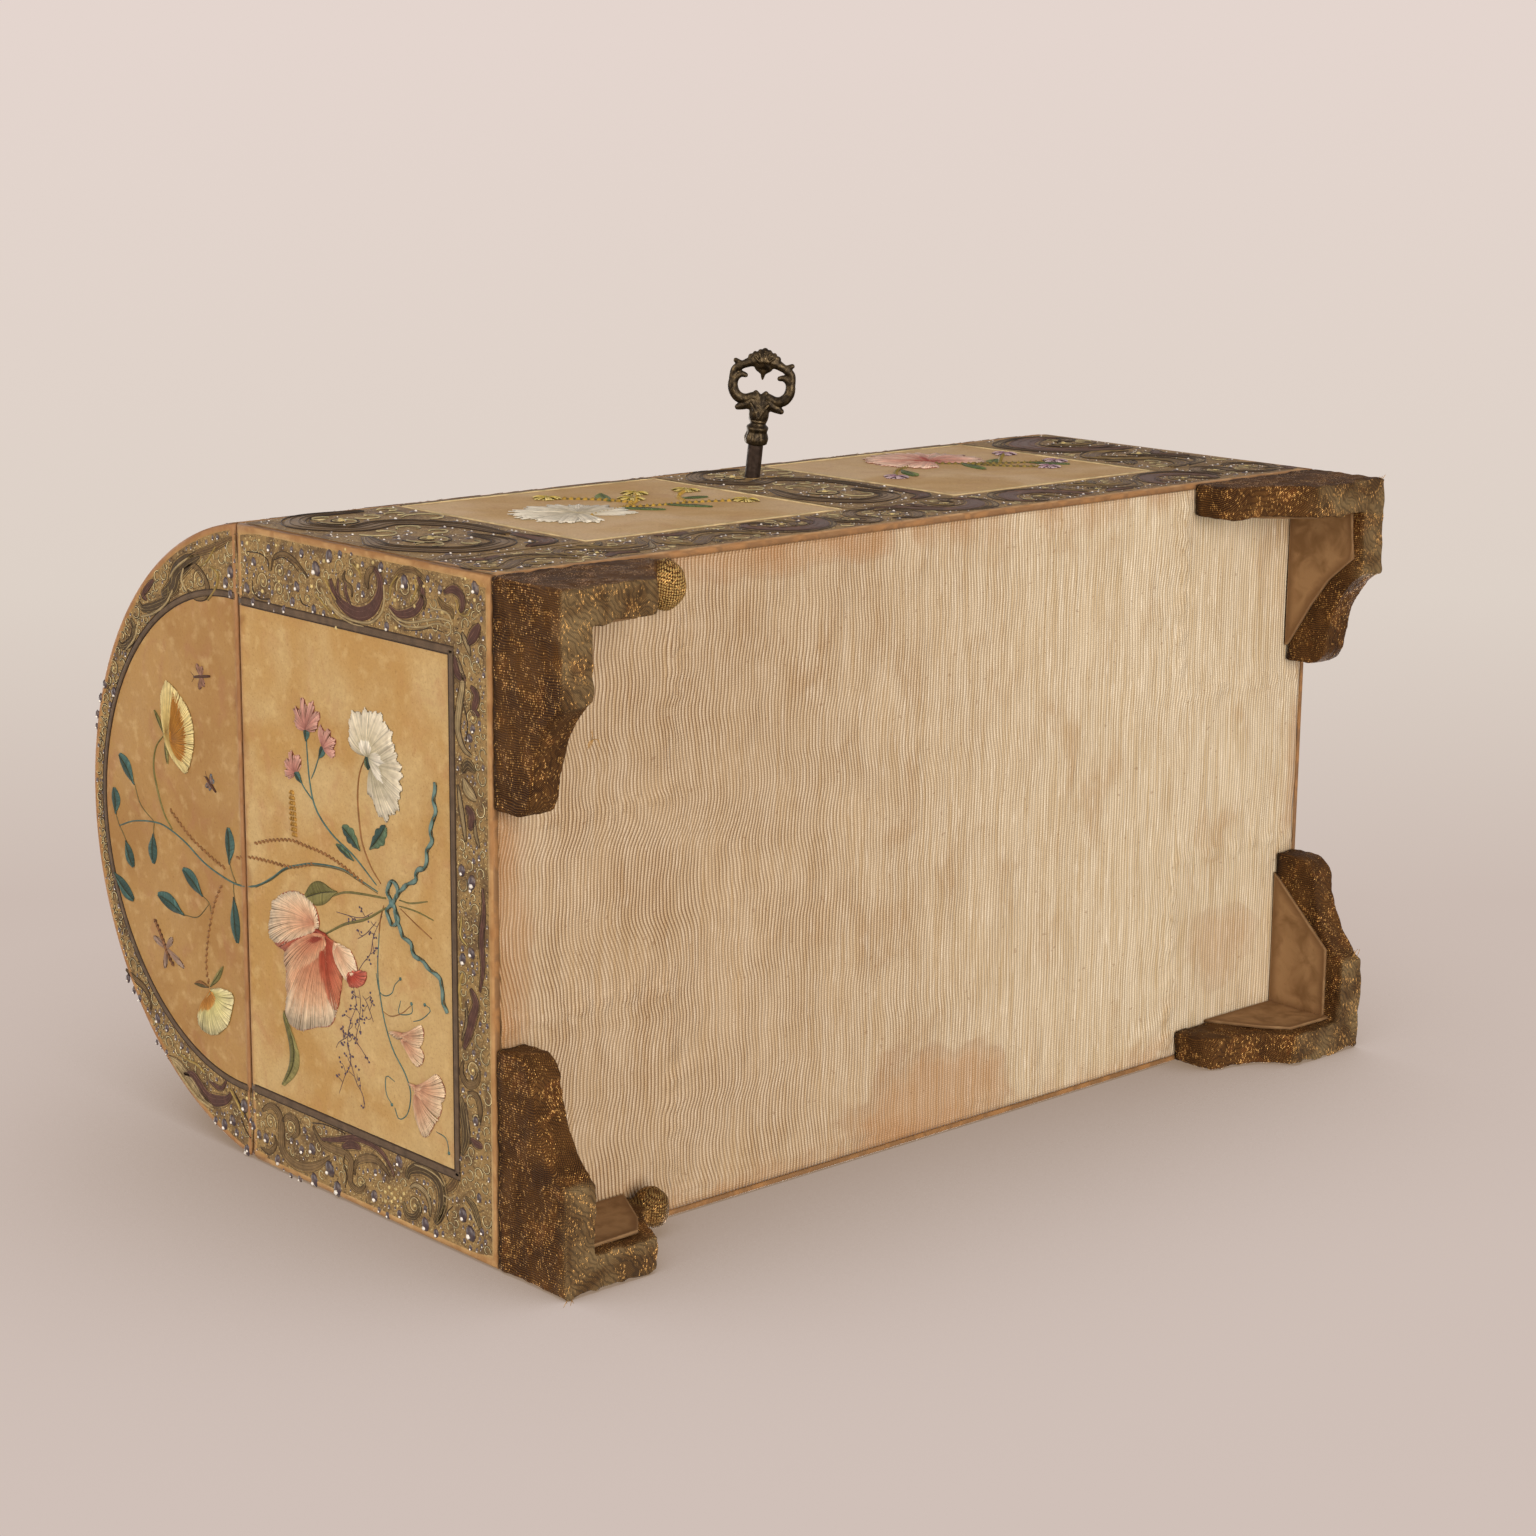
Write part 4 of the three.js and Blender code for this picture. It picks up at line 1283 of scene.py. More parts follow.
    def leaf(
        self,
        base: tuple[float, float],
        tip: tuple[float, float],
        width: float,
        colors: tuple[str, str],
        bend: float = 0.0,
        lobes: int = 0,
    ) -> None:
        """A leaf of slanted satin stitches on both sides of its rib.

        Args:
            base: where it joins its stem.
            tip: its point.
            width: its widest measure.
            colors: the colour codes of its two halves.
            bend: how far its rib curves aside.
            lobes: how many teeth each edge has.
        """
        start, end, length, run, side = axes(base, tip)
        count = max(6, int(length / 0.42 / self.coarse))
        t = np.linspace(0, 0.96, count)
        rib = start + t[:, None] * (end - start) + (np.sin(np.pi * t) * bend)[:, None] * side
        half = np.sin(np.pi * np.clip(t * 0.92 + 0.04, 0, 1)) ** 0.8 * width / 2
        if lobes:
            half = half * (0.72 + 0.28 * np.abs(np.sin(np.pi * lobes * t)))
        reach = np.minimum(0.16 * length, 2.6) * (1 - t)
        u = np.linspace(0, 1, 4)
        for sign, color in zip((1, -1), colors):
            edge = rib + (sign * half)[:, None] * side + reach[:, None] * run
            flat = rib[:, None] + (edge - rib)[:, None] * u[None, :, None]
            height = np.broadcast_to(0.32 * np.sin(np.pi * (0.25 + 0.7 * u)), (count, 4))
            paths = np.concatenate([flat, height[..., None]], -1)
            self.lay(paths, 0.5 * self.coarse, 0.14, self.uneven(color, (count,), 0.14)[:, None])
        self.thread(rib[:: max(1, count // 6)], 0.3, "3c3a22", 0.34)

    def ribbon(
        self, points: Sequence[Sequence[float]], width: float, colors: tuple[str, str]
    ) -> None:
        """A silk ribbon that twists along a curve.

        Args:
            points: what the curve passes through.
            width: the ribbon's full width.
            colors: the colour codes of its face and its folds.
        """
        line = smooth_line(points, 0.7)
        reach = np.arange(len(line)) * 0.7
        open_share = np.abs(np.cos(reach * 0.62))
        widths = width * (0.25 + 0.75 * open_share)
        path = np.concatenate([line, (0.15 + 0.5 * (1 - open_share))[:, None]], 1)
        face, fold = np.array(tint(colors[0])), np.array(tint(colors[1]))
        shade = fold + (face - fold) * open_share[:, None]
        self.lay(path, widths, 0.35, shade[None], Profile.BAND)
        run = np.gradient(line, axis=0)
        run /= np.maximum(np.linalg.norm(run, axis=1, keepdims=True), 1e-9)
        left = np.stack([-run[:, 1], run[:, 0]], -1)
        for sign in (1, -1):
            self.thread((line + left * (sign * widths / 2)[:, None])[::2], 0.22, "2f4440", 0.1, 1.2)

    # Beads and knots

    def dot(
        self,
        place: Sequence[float],
        size: tuple[float, float, float],
        color: str,
        kind: Dot = Dot.KNOT,
        turn: float = 0.0,
        lift: float = 0.0,
    ) -> None:
        """One small rounded piece.

        Args:
            place: its middle, in flat coordinates.
            size: its half sizes along, across and out.
            color: its colour code.
            kind: whether it is a bead or a knot of thread.
            turn: how far it is turned in the ground, in radians.
            lift: how far its middle stands above the ground.
        """
        body = self.body
        if self.seam is not None:
            body = "lid" if place[1] > self.seam else "box"
        spot = np.array([place[0], place[1], lift])
        shade = self.uneven(color, (1,))[0]
        self.dots.setdefault((body, kind), []).append(
            (spot, np.array(size), np.array([turn]), shade)
        )

    def sequin(self, place: Sequence[float], radius: float, palette: Palette, lean: Spot) -> None:
        """A dark domed oval with a pale bead on its shoulder, where the sequin's highlight falls: a
        painted highlight.

        Args:
            place: its middle.
            radius: its larger half size.
            palette: its colours.
            lean: the direction in which the pale highlight bead sits.
        """
        turn = math.atan2(lean[1], lean[0]) + float(self.rng.uniform(-0.5, 0.5))
        oval = radius * float(self.rng.uniform(0.66, 0.85))
        self.dot(place, (radius, oval, radius * 0.3), palette.sequin, Dot.SEQUIN, turn)
        # The pale bead is a painted highlight, set off-centre towards lean.
        shift = radius * float(self.rng.uniform(0.35, 0.6))
        pearl = radius * float(self.rng.uniform(0.24, 0.36))
        spot = (place[0] + shift * math.cos(turn), place[1] + shift * math.sin(turn))
        self.dot(spot, (pearl, pearl, pearl * 0.8), palette.pearl, Dot.PEARL, 0.0, radius * 0.22)

    # Motifs

    def carnation(
        self,
        base: tuple[float, float],
        tips: Iterable[tuple[float, float]],
        width: float,
        colors: Sequence[str],
        outline: str,
    ) -> None:
        """A ruffled flower of many petals from one calyx.

        Args:
            base: the calyx.
            tips: where the petals end.
            width: the width of a petal.
            colors: its colour codes from the calyx to the edge.
            outline: the colour of the petals' outlines.
        """
        for number, tip in enumerate(tips):
            self.petal(base, tip, width, colors, 0.5 + 0.12 * (number % 3), 0.07, outline)

    def moth(
        self, middle: tuple[float, float], reach: float, color: str, heading: float = 0.0
    ) -> None:
        """A small winged insect seen from above.

        Args:
            middle: its middle.
            reach: half its length.
            color: its colour code.
            heading: the way it faces, in radians.
        """
        run = np.array([math.cos(heading), math.sin(heading)])
        side = np.array([-run[1], run[0]])
        mid = np.array(middle)
        for sign in (1, -1):
            for ahead, wide, length in ((0.5, 0.5, 1.0), (-0.35, 0.42, 0.8)):
                tip = mid + (ahead * run + sign * side) * reach * length
                self.petal(
                    tuple(mid),
                    tuple(tip),
                    reach * wide,
                    (color, "8d6a56", color),
                    0.15, 0.0,
                    "4a3026",
                    0.36,
                )
            self.thread(
                [mid + run * reach, mid + run * reach * 1.5 + sign * side * reach * 0.4],
                0.2,
                "4a3026",
            )
        self.thread([mid - run * reach * 1.3, mid, mid + run * reach], 0.9, "4f3326", 0.2)

    def sprig(
        self, points: Sequence[Sequence[float]], twigs: int, reach: float, color: str, knot: str
    ) -> None:
        """A fine stem with side twigs that end in knots.

        Args:
            points: what the stem passes through.
            twigs: how many twigs it has.
            reach: the length of a twig.
            color: the colour code of the stem.
            knot: the colour code of the knots.
        """
        line = smooth_line(points, 0.8)
        self.thread(line, 0.26, color)
        for number in range(twigs):
            at = line[int((number + 1) / (twigs + 1) * (len(line) - 1))]
            angle = self.rng.uniform(0, math.tau)
            end = at + reach * self.rng.uniform(0.6, 1.0) * np.array(
                [math.cos(angle), math.sin(angle)]
            )
            bow = (at + end) / 2 + self.rng.normal(0, 0.4, 2)
            self.thread([at, bow, end], 0.22, color)
            for _ in range(3):
                self.dot(end + self.rng.normal(0, 0.6, 2), (0.38, 0.38, 0.3), knot)

    def tendril(self, points: Sequence[Sequence[float]], color: str) -> None:
        """A thin curling thread that ends in a knot."""
        self.thread(points, 0.34, color)
        self.dot(points[-1], (0.6, 0.6, 0.4), color)

    # The pieces

    def build(self, name: str) -> None:
        """Makes the pieces of all threads, beads and knots.

        Args:
            name: the start of the pieces' names.
        """
        for body, draft in self.drafts.items():
            draft.build(f"{name}_{body}_threads", FLOSS, body, "parchment")
        for (body, kind), dots in self.dots.items():
            spots, sizes, turns, shades = (np.array([dot[i] for dot in dots]) for i in range(4))
            finish = FLOSS if kind is Dot.KNOT else BEADS
            label, segments, rings = kind.value
            places, tilts, scale = self._stand(spots, turns[:, 0])
            sizes = sizes * scale[:, None]
            made = scatter_rounds(
                f"{name}_{body}_{label}s", places, tilts, sizes, shades, segments, rings
            )
            settle(made, finish, body, "parchment")

    def _stand(self, spots: np.ndarray, turns: np.ndarray) -> tuple[
        np.ndarray, np.ndarray, np.ndarray
    ]:
        """Works out how round pieces stand on the ground.

        Args:
            spots: their middles, in flat coordinates.
            turns: how far each is turned in the ground.

        Returns:
            Their places in millimetres, their Euler angles and the ground's scale at each.
        """
        tiny = 1e-3
        places = self.ground.place(spots)
        out = self.ground.place(spots + [0, 0, tiny]) - places
        along = self.ground.place(spots + [tiny, 0, 0]) - places
        scale = np.linalg.norm(out, axis=1) / tiny
        z = out / np.linalg.norm(out, axis=1, keepdims=True)
        x = along - z * np.sum(along * z, 1, keepdims=True)
        x /= np.linalg.norm(x, axis=1, keepdims=True)
        y = np.cross(z, x)
        c, s = np.cos(turns)[:, None], np.sin(turns)[:, None]
        x, y = x * c + y * s, y * c - x * s
        tilts = np.stack(
            [
                np.arctan2(y[:, 2], z[:, 2]),
                -np.arcsin(np.clip(x[:, 2], -1, 1)),
                np.arctan2(x[:, 1], x[:, 0]),
            ], -1
        )
        return places, tilts, scale


# ---- Geometry Nodes


class Recipe:
    """A Geometry Nodes tree that is built in the script, with named inputs."""

    def __init__(self, name: str, inputs: Mapping[str, tuple[str, Any]]) -> None:
        """Starts a tree.

        Args:
            name: its name.
            inputs: the type and the value of each input besides the geometry.
        """
        self.tree = bpy.data.node_groups.new(name, "GeometryNodeTree")
        self.board = Board(self.tree)
        face = self.tree.interface
        face.new_socket(name="Geometry", in_out="INPUT", socket_type="NodeSocketGeometry")
        self.sockets = {}
        for label, (kind, value) in inputs.items():
            socket = face.new_socket(name=label, in_out="INPUT", socket_type=kind)
            self.sockets[label] = (socket.identifier, value)
        face.new_socket(name="Geometry", in_out="OUTPUT", socket_type="NodeSocketGeometry")
        self.start = self.tree.nodes.new("NodeGroupInput")
        self.end = self.tree.nodes.new("NodeGroupOutput")

    def given(self, label: str) -> Signal:
        """An input of the tree."""
        return Signal(self.board, self.start.outputs[label])

    def finish(self, shape: Signal) -> None:
        """Realizes the instances, sets their material and ends the tree.

        Args:
            shape: the geometry.
        """
        real = self.board.node("GeometryNodeRealizeInstances", inputs={0: shape})
        smooth = self.board.node("GeometryNodeSetShadeSmooth", inputs={0: real})
        dressed = self.board.node(
            "GeometryNodeSetMaterial", inputs={0: smooth, "Material": self.given("Material")}
        )
        self.board.feed(self.end.inputs[0], dressed)

    def apply(self, made: bpy.types.Object, values: Mapping[str, Any]) -> bpy.types.Object:
        """Runs the tree on an object and keeps the result as a plain mesh.

        Args:
            made: the object.
            values: inputs that differ from the tree's own.

        Returns:
            The same object.
        """
        modifier = made.modifiers.new(self.tree.name, "NODES")
        modifier.node_group = self.tree
        for label, (identifier, value) in self.sockets.items():
            modifier[identifier] = values.get(label, value)
        return evaluated(made)


def rounds_recipe() -> Recipe:
    """The tree that stands a small round on each point, turned and sized by the point's attributes.

    Returns:
        The recipe.
    """
    recipe = Recipe(
        "rounds_on_points",
        {
            "Segments": ("NodeSocketInt", 7),
            "Rings": ("NodeSocketInt", 4),
            "Material": ("NodeSocketMaterial", None),
        },
    )
    board = recipe.board
    ball = board.node(
        "GeometryNodeMeshUVSphere",
        inputs={
            "Segments": recipe.given("Segments"), "Rings": recipe.given("Rings"), "Radius": 1.0
        },
    )
    vector = {"data_type": "FLOAT_VECTOR"}
    tilt = board.node("GeometryNodeInputNamedAttribute", vector, {"Name": "tilt"})
    size = board.node("GeometryNodeInputNamedAttribute", vector, {"Name": "size"})
    turned = board.node("FunctionNodeEulerToRotation", inputs={0: tilt})
    stood = board.node(
        "GeometryNodeInstanceOnPoints",
        inputs={
            "Points": recipe.given("Geometry"), "Instance": ball, "Rotation": turned, "Scale": size
        },
    )
    recipe.finish(stood)
    return recipe


def scatter_rounds(
    name: str,
    places: np.ndarray,
    tilts: np.ndarray,
    sizes: np.ndarray,
    shades: np.ndarray,
    segments: int = 7,
    rings: int = 4,
) -> bpy.types.Object:
    """Stands small rounds on points through Geometry Nodes.

    Args:
        name: the piece's name.
        places: the points, in millimetres.
        tilts: their Euler angles.
        sizes: their three half sizes, in millimetres.
        shades: their linear colours.
        segments: the sides of a round.
        rings: its rings.

    Returns:
        The piece.
    """
    mesh = bpy.data.meshes.new(name)
    mesh.vertices.add(len(places))
    mesh.vertices.foreach_set("co", (places * MM).astype(np.float32).ravel())
    for label, values in (("tilt", tilts), ("size", sizes * MM)):
        made = mesh.attributes.new(label, "FLOAT_VECTOR", "POINT")
        made.data.foreach_set("vector", values.astype(np.float32).ravel())
    give_attribute(mesh, "thread_color", shades)
    holder = bpy.data.objects.new(name, mesh)
    bpy.context.scene.collection.objects.link(holder)
    return ROUNDS.apply(holder, {"Segments": segments, "Rings": rings})


ROUNDS = rounds_recipe()


# ---- The box's own measures


@dataclass(frozen=True)
class Measures:
    """Planes of the casket, in millimetres, read from the CAD nodes."""

    half_length: float
    half_depth: float
    middle_y: float
    bottom: float
    seam: float
    radius: float
    dome_middle: float

    @classmethod
    def read(cls) -> "Measures":
        """Reads them from the boxes of the CAD nodes."""
        end_low, end_high = (np.array(corner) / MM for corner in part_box("left_end_parchment"))
        dome_low, dome_high = (np.array(corner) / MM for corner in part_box("dome_parchment"))
        half_depth = (end_high[1] - end_low[1]) / 2
        seam = (end_high[2] + dome_low[2]) / 2
        rise = dome_high[2] - seam
        radius = (rise**2 + half_depth**2) / (2 * rise)
        return cls(
            -end_low[0], half_depth, (
                end_high[1] + end_low[1]
            ) / 2, end_low[2], seam, radius, seam + rise - radius
        )

    @property
    def height(self) -> float:
        """The seam's height above the underside."""
        return self.seam - self.bottom

    def front(self) -> Face:
        """The front face: along X and up from the underside."""
        return Face(
            (0, self.middle_y - self.half_depth, self.bottom), (1, 0, 0), (0, 0, 1), (0, -1, 0)
        )

    def back(self) -> Face:
        """The back face."""
        return Face(
            (0, self.middle_y + self.half_depth, self.bottom), (1, 0, 0), (0, 0, 1), (0, 1, 0)
        )

    def end(self, sign: int) -> Face:
        """An end face: along Y and up from the underside.

        Args:
            sign: -1 for the left end, 1 for the right one.

        Returns:
            The face.
        """
        return Face(
            (sign * self.half_length, self.middle_y, self.bottom),
            (0, 1, 0), (0, 0, 1),
            (sign, 0, 0),
        )

    def vault(self) -> Vault:
        """The dome."""
        return Vault(self.radius, self.middle_y, self.dome_middle)


SIZE = Measures.read()


# ---- Borders


# All in widths of the band: the wash's rows along one width, its columns, its height, how long a
# motif is drawn, and how far it keeps from the band's ends.
WASH_ROWS = 8
WASH_COLUMNS = 10
WASH_LIFT = 0.0045
MOTIF_SPAN = 1.25
END_GAP = 0.05


class Motif(Enum):
    """Border motifs: leaves (a middle line, a width, an ink) and spirals (a middle, a radius)."""

    FLAME = (
        (
            (
                (
                    (-0.6, 0.14), (-0.5, 0.45), (-0.18, 0.72), (0.2, 0.66), (0.42, 0.34),
                    (0.34, 0.12),
                ),
                0.3,
                "p",
            ),
            (((-0.38, 0.12), (-0.36, 0.4), (-0.24, 0.58)), 0.1, "p"),
            (((-0.14, 0.1), (-0.16, 0.36), (-0.02, 0.54)), 0.1, "b"),
            (((0.36, 0.1), (0.16, 0.14), (0.12, 0.36)), 0.12, "g"),
            (
                ((-0.66, 0.3), (-0.5, 0.68), (-0.15, 0.9), (0.3, 0.86), (0.56, 0.5), (0.52, 0.2)),
                0.07,
                "s",
            ),
        ),
        ((0.0, 0.36, 0.12),),
    )
    SCROLLS = (
        (
            (
                (
                    (-0.58, 0.72), (-0.62, 0.36), (-0.4, 0.14), (-0.2, 0.3), (-0.24, 0.6),
                    (-0.02, 0.84), (0.3, 0.84),
                ),
                0.17,
                "g",
            ),
            (((0.0, 0.2), (0.26, 0.1), (0.5, 0.34), (0.44, 0.66), (0.2, 0.7)), 0.17, "g"),
            (((0.3, 0.88), (0.52, 0.86), (0.62, 0.66)), 0.13, "p"),
        ),
        ((-0.4, 0.42, 0.15), (0.2, 0.42, 0.15)),
    )
    RIBBON = (
        (
            (
                (
                    (-0.62, 0.2), (-0.42, 0.5), (-0.1, 0.52), (0.14, 0.34), (0.38, 0.2),
                    (0.58, 0.42), (0.5, 0.7),
                ),
                0.2,
                "b",
            ),
            (((-0.62, 0.4), (-0.36, 0.74), (0.0, 0.74), (0.3, 0.52)), 0.09, "s"),
            (((-0.2, 0.1), (-0.02, 0.24), (0.12, 0.1)), 0.12, "d"),
            (((-0.1, 0.88), (0.14, 0.78), (0.34, 0.9)), 0.14, "p"),
        ),
        ((0.26, 0.62, 0.13),),
    )


@dataclass
class ScrollBorder:
    """Leaves, outlined scrolls and sequins. A unit is one width of a usual band."""

    pitch: float = 1.35
    grain: float = 1.0
    detail: float = 1.0
    unit: float = 1.0
    palette: Palette = field(default_factory=Palette)

    @property
    def cord(self) -> float:
        """The width of a pale cord."""
        return 0.026 * self.grain * self.unit

    def sew(self, ground: Strip | ArchBand, body: str, seed: int, name: str) -> None:
        """Sews a whole band with motifs in a random order.

        Args:
            ground: the band.
            body: the CAD body that it rides on.
            seed: the start of its random numbers.
            name: the start of the pieces' names.
        """
        work = Needlework(ground, body, seed)
        self.taken: list[np.ndarray] = []
        count = max(1, round(ground.units / self.pitch))
        pitch = ground.units / count
        self.wash(ground, body, f"{name}_ground")
        kinds = list(Motif)
        for number in range(count):
            side = 1 if number % 2 == 0 else -1
            middle, mirror = (number + 0.5) * pitch, 1 if work.rng.random() < 0.5 else -1
            leaves, spirals = kinds[int(work.rng.integers(3))].value

            def spot(u: float, v: float) -> Spot:
                """A motif's place on the band."""
                place = middle + mirror * u * pitch / MOTIF_SPAN
                along = float(np.clip(place, END_GAP, ground.units - END_GAP))
                return along, 0.5 + side * (v - 0.5)

            for points, width, ink in leaves:
                size = width * float(work.rng.uniform(0.85, 1.1))
                self.leaf(
                    work, [spot(u, v + work.rng.uniform(-0.02, 0.02)) for u, v in points], size, ink
                )
            for u, v, radius in spirals:
                self.spiral(
                    work, spot(u, v), radius * float(work.rng.uniform(0.85, 1.1)), side * mirror
                )
        self.fill(work, ground, False)
        work.build(name)

    @staticmethod
    def wash(ground: Strip | ArchBand, body: str, name: str) -> None:
        """Lays the painted ground under a whole band."""
        along = np.linspace(0, ground.units, int(ground.units * WASH_ROWS) + 2)
        across = np.linspace(0, 1, WASH_COLUMNS)
        grid = np.stack(np.meshgrid(along, across, indexing="ij"), -1).reshape(-1, 2)
        points = np.concatenate([grid, np.full((len(grid), 1), WASH_LIFT)], 1)
        columns = len(across)
        first = (np.arange(len(along) - 1)[:, None] * columns + np.arange(columns - 1)).ravel()
        quads = np.stack([first, first + columns, first + columns + 1, first + 1], -1)
        if ground.flipped:
            quads = quads[:, ::-1]
        settle(mesh_of(name, ground.place(points), quads), PAINTED, body, "parchment")

    def leaf(self, work: Needlework, points: Sequence[Spot], width: float, ink: str) -> None:
        """A curved leaf with strokes along it and dark outlines.

        Args:
            work: the needlework.
            points: what its middle line passes through.
            width: its widest measure.
            ink: the letter of its colour.
        """
        line = smooth_line(points, 0.05 * self.unit)
        t = np.linspace(0, 1, len(line))
        widths = width * np.sin(np.pi * (0.05 + 0.9 * t)) ** 0.7
        run = np.gradient(line, axis=0)
        run /= np.maximum(np.linalg.norm(run, axis=1, keepdims=True), 1e-9)
        left = np.stack([-run[:, 1], run[:, 0]], -1)
        tone = self.palette.inks[ink]
        outline, shade = self.palette.outline, self.palette.streaks[ink]
        strokes = [(0.0, 1.0, 0.009, tone, 0.12, Profile.BAND)]
        strokes += [
            (share, self.cord * 0.42, 0.012, outline, 0.15, Profile.THREAD) for share in (0.5, -0.5)
        ]
        if self.detail > 0.6:
            strokes += [
                (share, self.cord * 0.5, 0.013, shade, 0.3, Profile.THREAD)
                for share in (-0.36, -0.12, 0.2)
            ]
        for share, size, depth, color, spread, profile in strokes:
            path = np.concatenate(
                [line + left * (share * widths)[:, None], np.zeros((len(line), 1))], 1
            )
            if self.unit == 1.0:
                path[:, 1] = np.clip(path[:, 1], 0.03, 0.97)
            size = widths if profile is Profile.BAND else np.minimum(size, widths * 0.5)
            work.lay(
                path,
                size,
                depth * self.unit,
                work.uneven(color, (len(line),), spread)[None],
                profile,
            )
        self.taken.append(np.concatenate([line, (widths / 2 + self.cord * 0.3)[:, None]], 1))

    def spiral(self, work: Needlework, middle: Spot, radius: float, turn: int) -> None:
        """A dark spiral line with a pale one inside it, and a knot in its eye.

        Args:
            work: the needlework.
            middle: its middle.
            radius: its outer radius.
            turn: 1 or -1, the way that it turns.
        """
        t = np.linspace(0, 1, 22)
        angle = turn * (1.2 + 8.2 * t)
        for shrink, color, size in (
            (1.0, self.palette.outline, 0.45), (0.84, self.palette.edge, 0.6)
        ):
            reach = radius * shrink * (1 - 0.78 * t)
            line = np.stack(
                [middle[0] + reach * np.cos(angle), middle[1] + reach * np.sin(angle)], -1
            )
            path = np.concatenate([line, np.zeros((22, 1))], 1)
            work.lay(
                path, self.cord * size, 0.011 * self.unit, work.uneven(color, (22,), 0.2)[None]
            )
        eye = 0.03 * self.unit
        work.dot(middle, (eye, eye, eye * 0.7), self.palette.knot)
        self.taken.append(np.concatenate([line, np.full((22, 1), self.cord)], 1))

    def fill(self, work: Needlework, ground: Strip | ArchBand, sparse: bool) -> None:
        """Fills what is left of a band with sequins and knots.

        Args:
            work: the needlework, in the band's coordinates or its ground's.
            ground: the band.
            sparse: whether the larger sequins are in place already.
        """
        taken = np.concatenate(self.taken)
        units = ground.units
        for flat, spot in self._spots(work, ground, int(70 * self.detail * units), 0.1):
            gap = np.linalg.norm(taken[:, :2] - spot, axis=1) - taken[:, 2]
            radius = float(work.rng.uniform(0.06, 0.15)) * self.unit
            if gap.min() > radius * 0.7:
                self._curl(work, spot, radius)
                taken = np.concatenate([taken, [[*spot, radius]]])
        sizes = ((0.05, 40), (0.034, 60)) if sparse else ((0.06, 40), (0.045, 60), (0.03, 90))
        for radius, tries in sizes:
            radius *= self.grain
            spots = self._spots(work, ground, int(tries * self.detail * units), radius * 1.3)
            for flat, spot in spots:
                gap = np.linalg.norm(taken[:, :2] - spot, axis=1) - taken[:, 2]
                if gap.min() > radius * 0.9 * self.unit:
                    size = radius * self.unit * float(work.rng.uniform(0.85, 1.1))
                    work.sequin(
                        spot,
                        size,
                        self.palette,
                        (1.0, 0.0) if self.unit != 1.0 else ground.lean(flat),
                    )
                    taken = np.concatenate([taken, [[*spot, size]]])
        for flat, spot in self._spots(work, ground, int(60 * units * self.detail), 0.02):
            gap = np.linalg.norm(taken[:, :2] - spot, axis=1) - taken[:, 2]
            if gap.min() > 0.012 * self.grain * self.unit:
                size = float(work.rng.uniform(0.008, 0.015)) * self.grain * self.unit
                code = (self.palette.knot, self.palette.outline, self.palette.edge)[
                    int(work.rng.integers(3))
                ]
                work.dot(spot, (size, size, size), code)

    def _curl(self, work: Needlework, middle: Spot, radius: float) -> None:
        """One small C-shaped curl: a pale cord on a dark one."""
        turn, way = float(work.rng.uniform(0, math.tau)), float(work.rng.choice([-1.0, 1.0]))
        t = np.linspace(0, 1, 9)
        angle = turn + way * 4.6 * t
        reach = radius * (1 - 0.55 * t)
        line = np.stack([middle[0] + reach * np.cos(angle), middle[1] + reach * np.sin(angle)], -1)
        for color, size, depth in (
            (self.palette.outline, 1.9, 0.009), (self.palette.edge, 0.95, 0.013)
        ):
            path = np.concatenate([line, np.zeros((9, 1))], 1)
            work.lay(
                path, self.cord * size, depth * self.unit, work.uneven(color, (9,), 0.25)[None]
            )

    def _spots(self, work: Needlework, ground: Strip | ArchBand, count: int, rim: float) -> list[
        tuple[np.ndarray, np.ndarray]
    ]:
        """Random places on a band, in its own coordinates and in those of the needlework."""
        flat = work.rng.uniform([rim, 0.02 + rim], [ground.units - rim, 0.98 - rim], (count, 2))
        if self.unit == 1.0:
            return list(zip(flat, flat))
        return list(
            zip(flat, ground.spread(np.concatenate([flat, np.zeros((count, 1))], 1))[:, :2])
        )


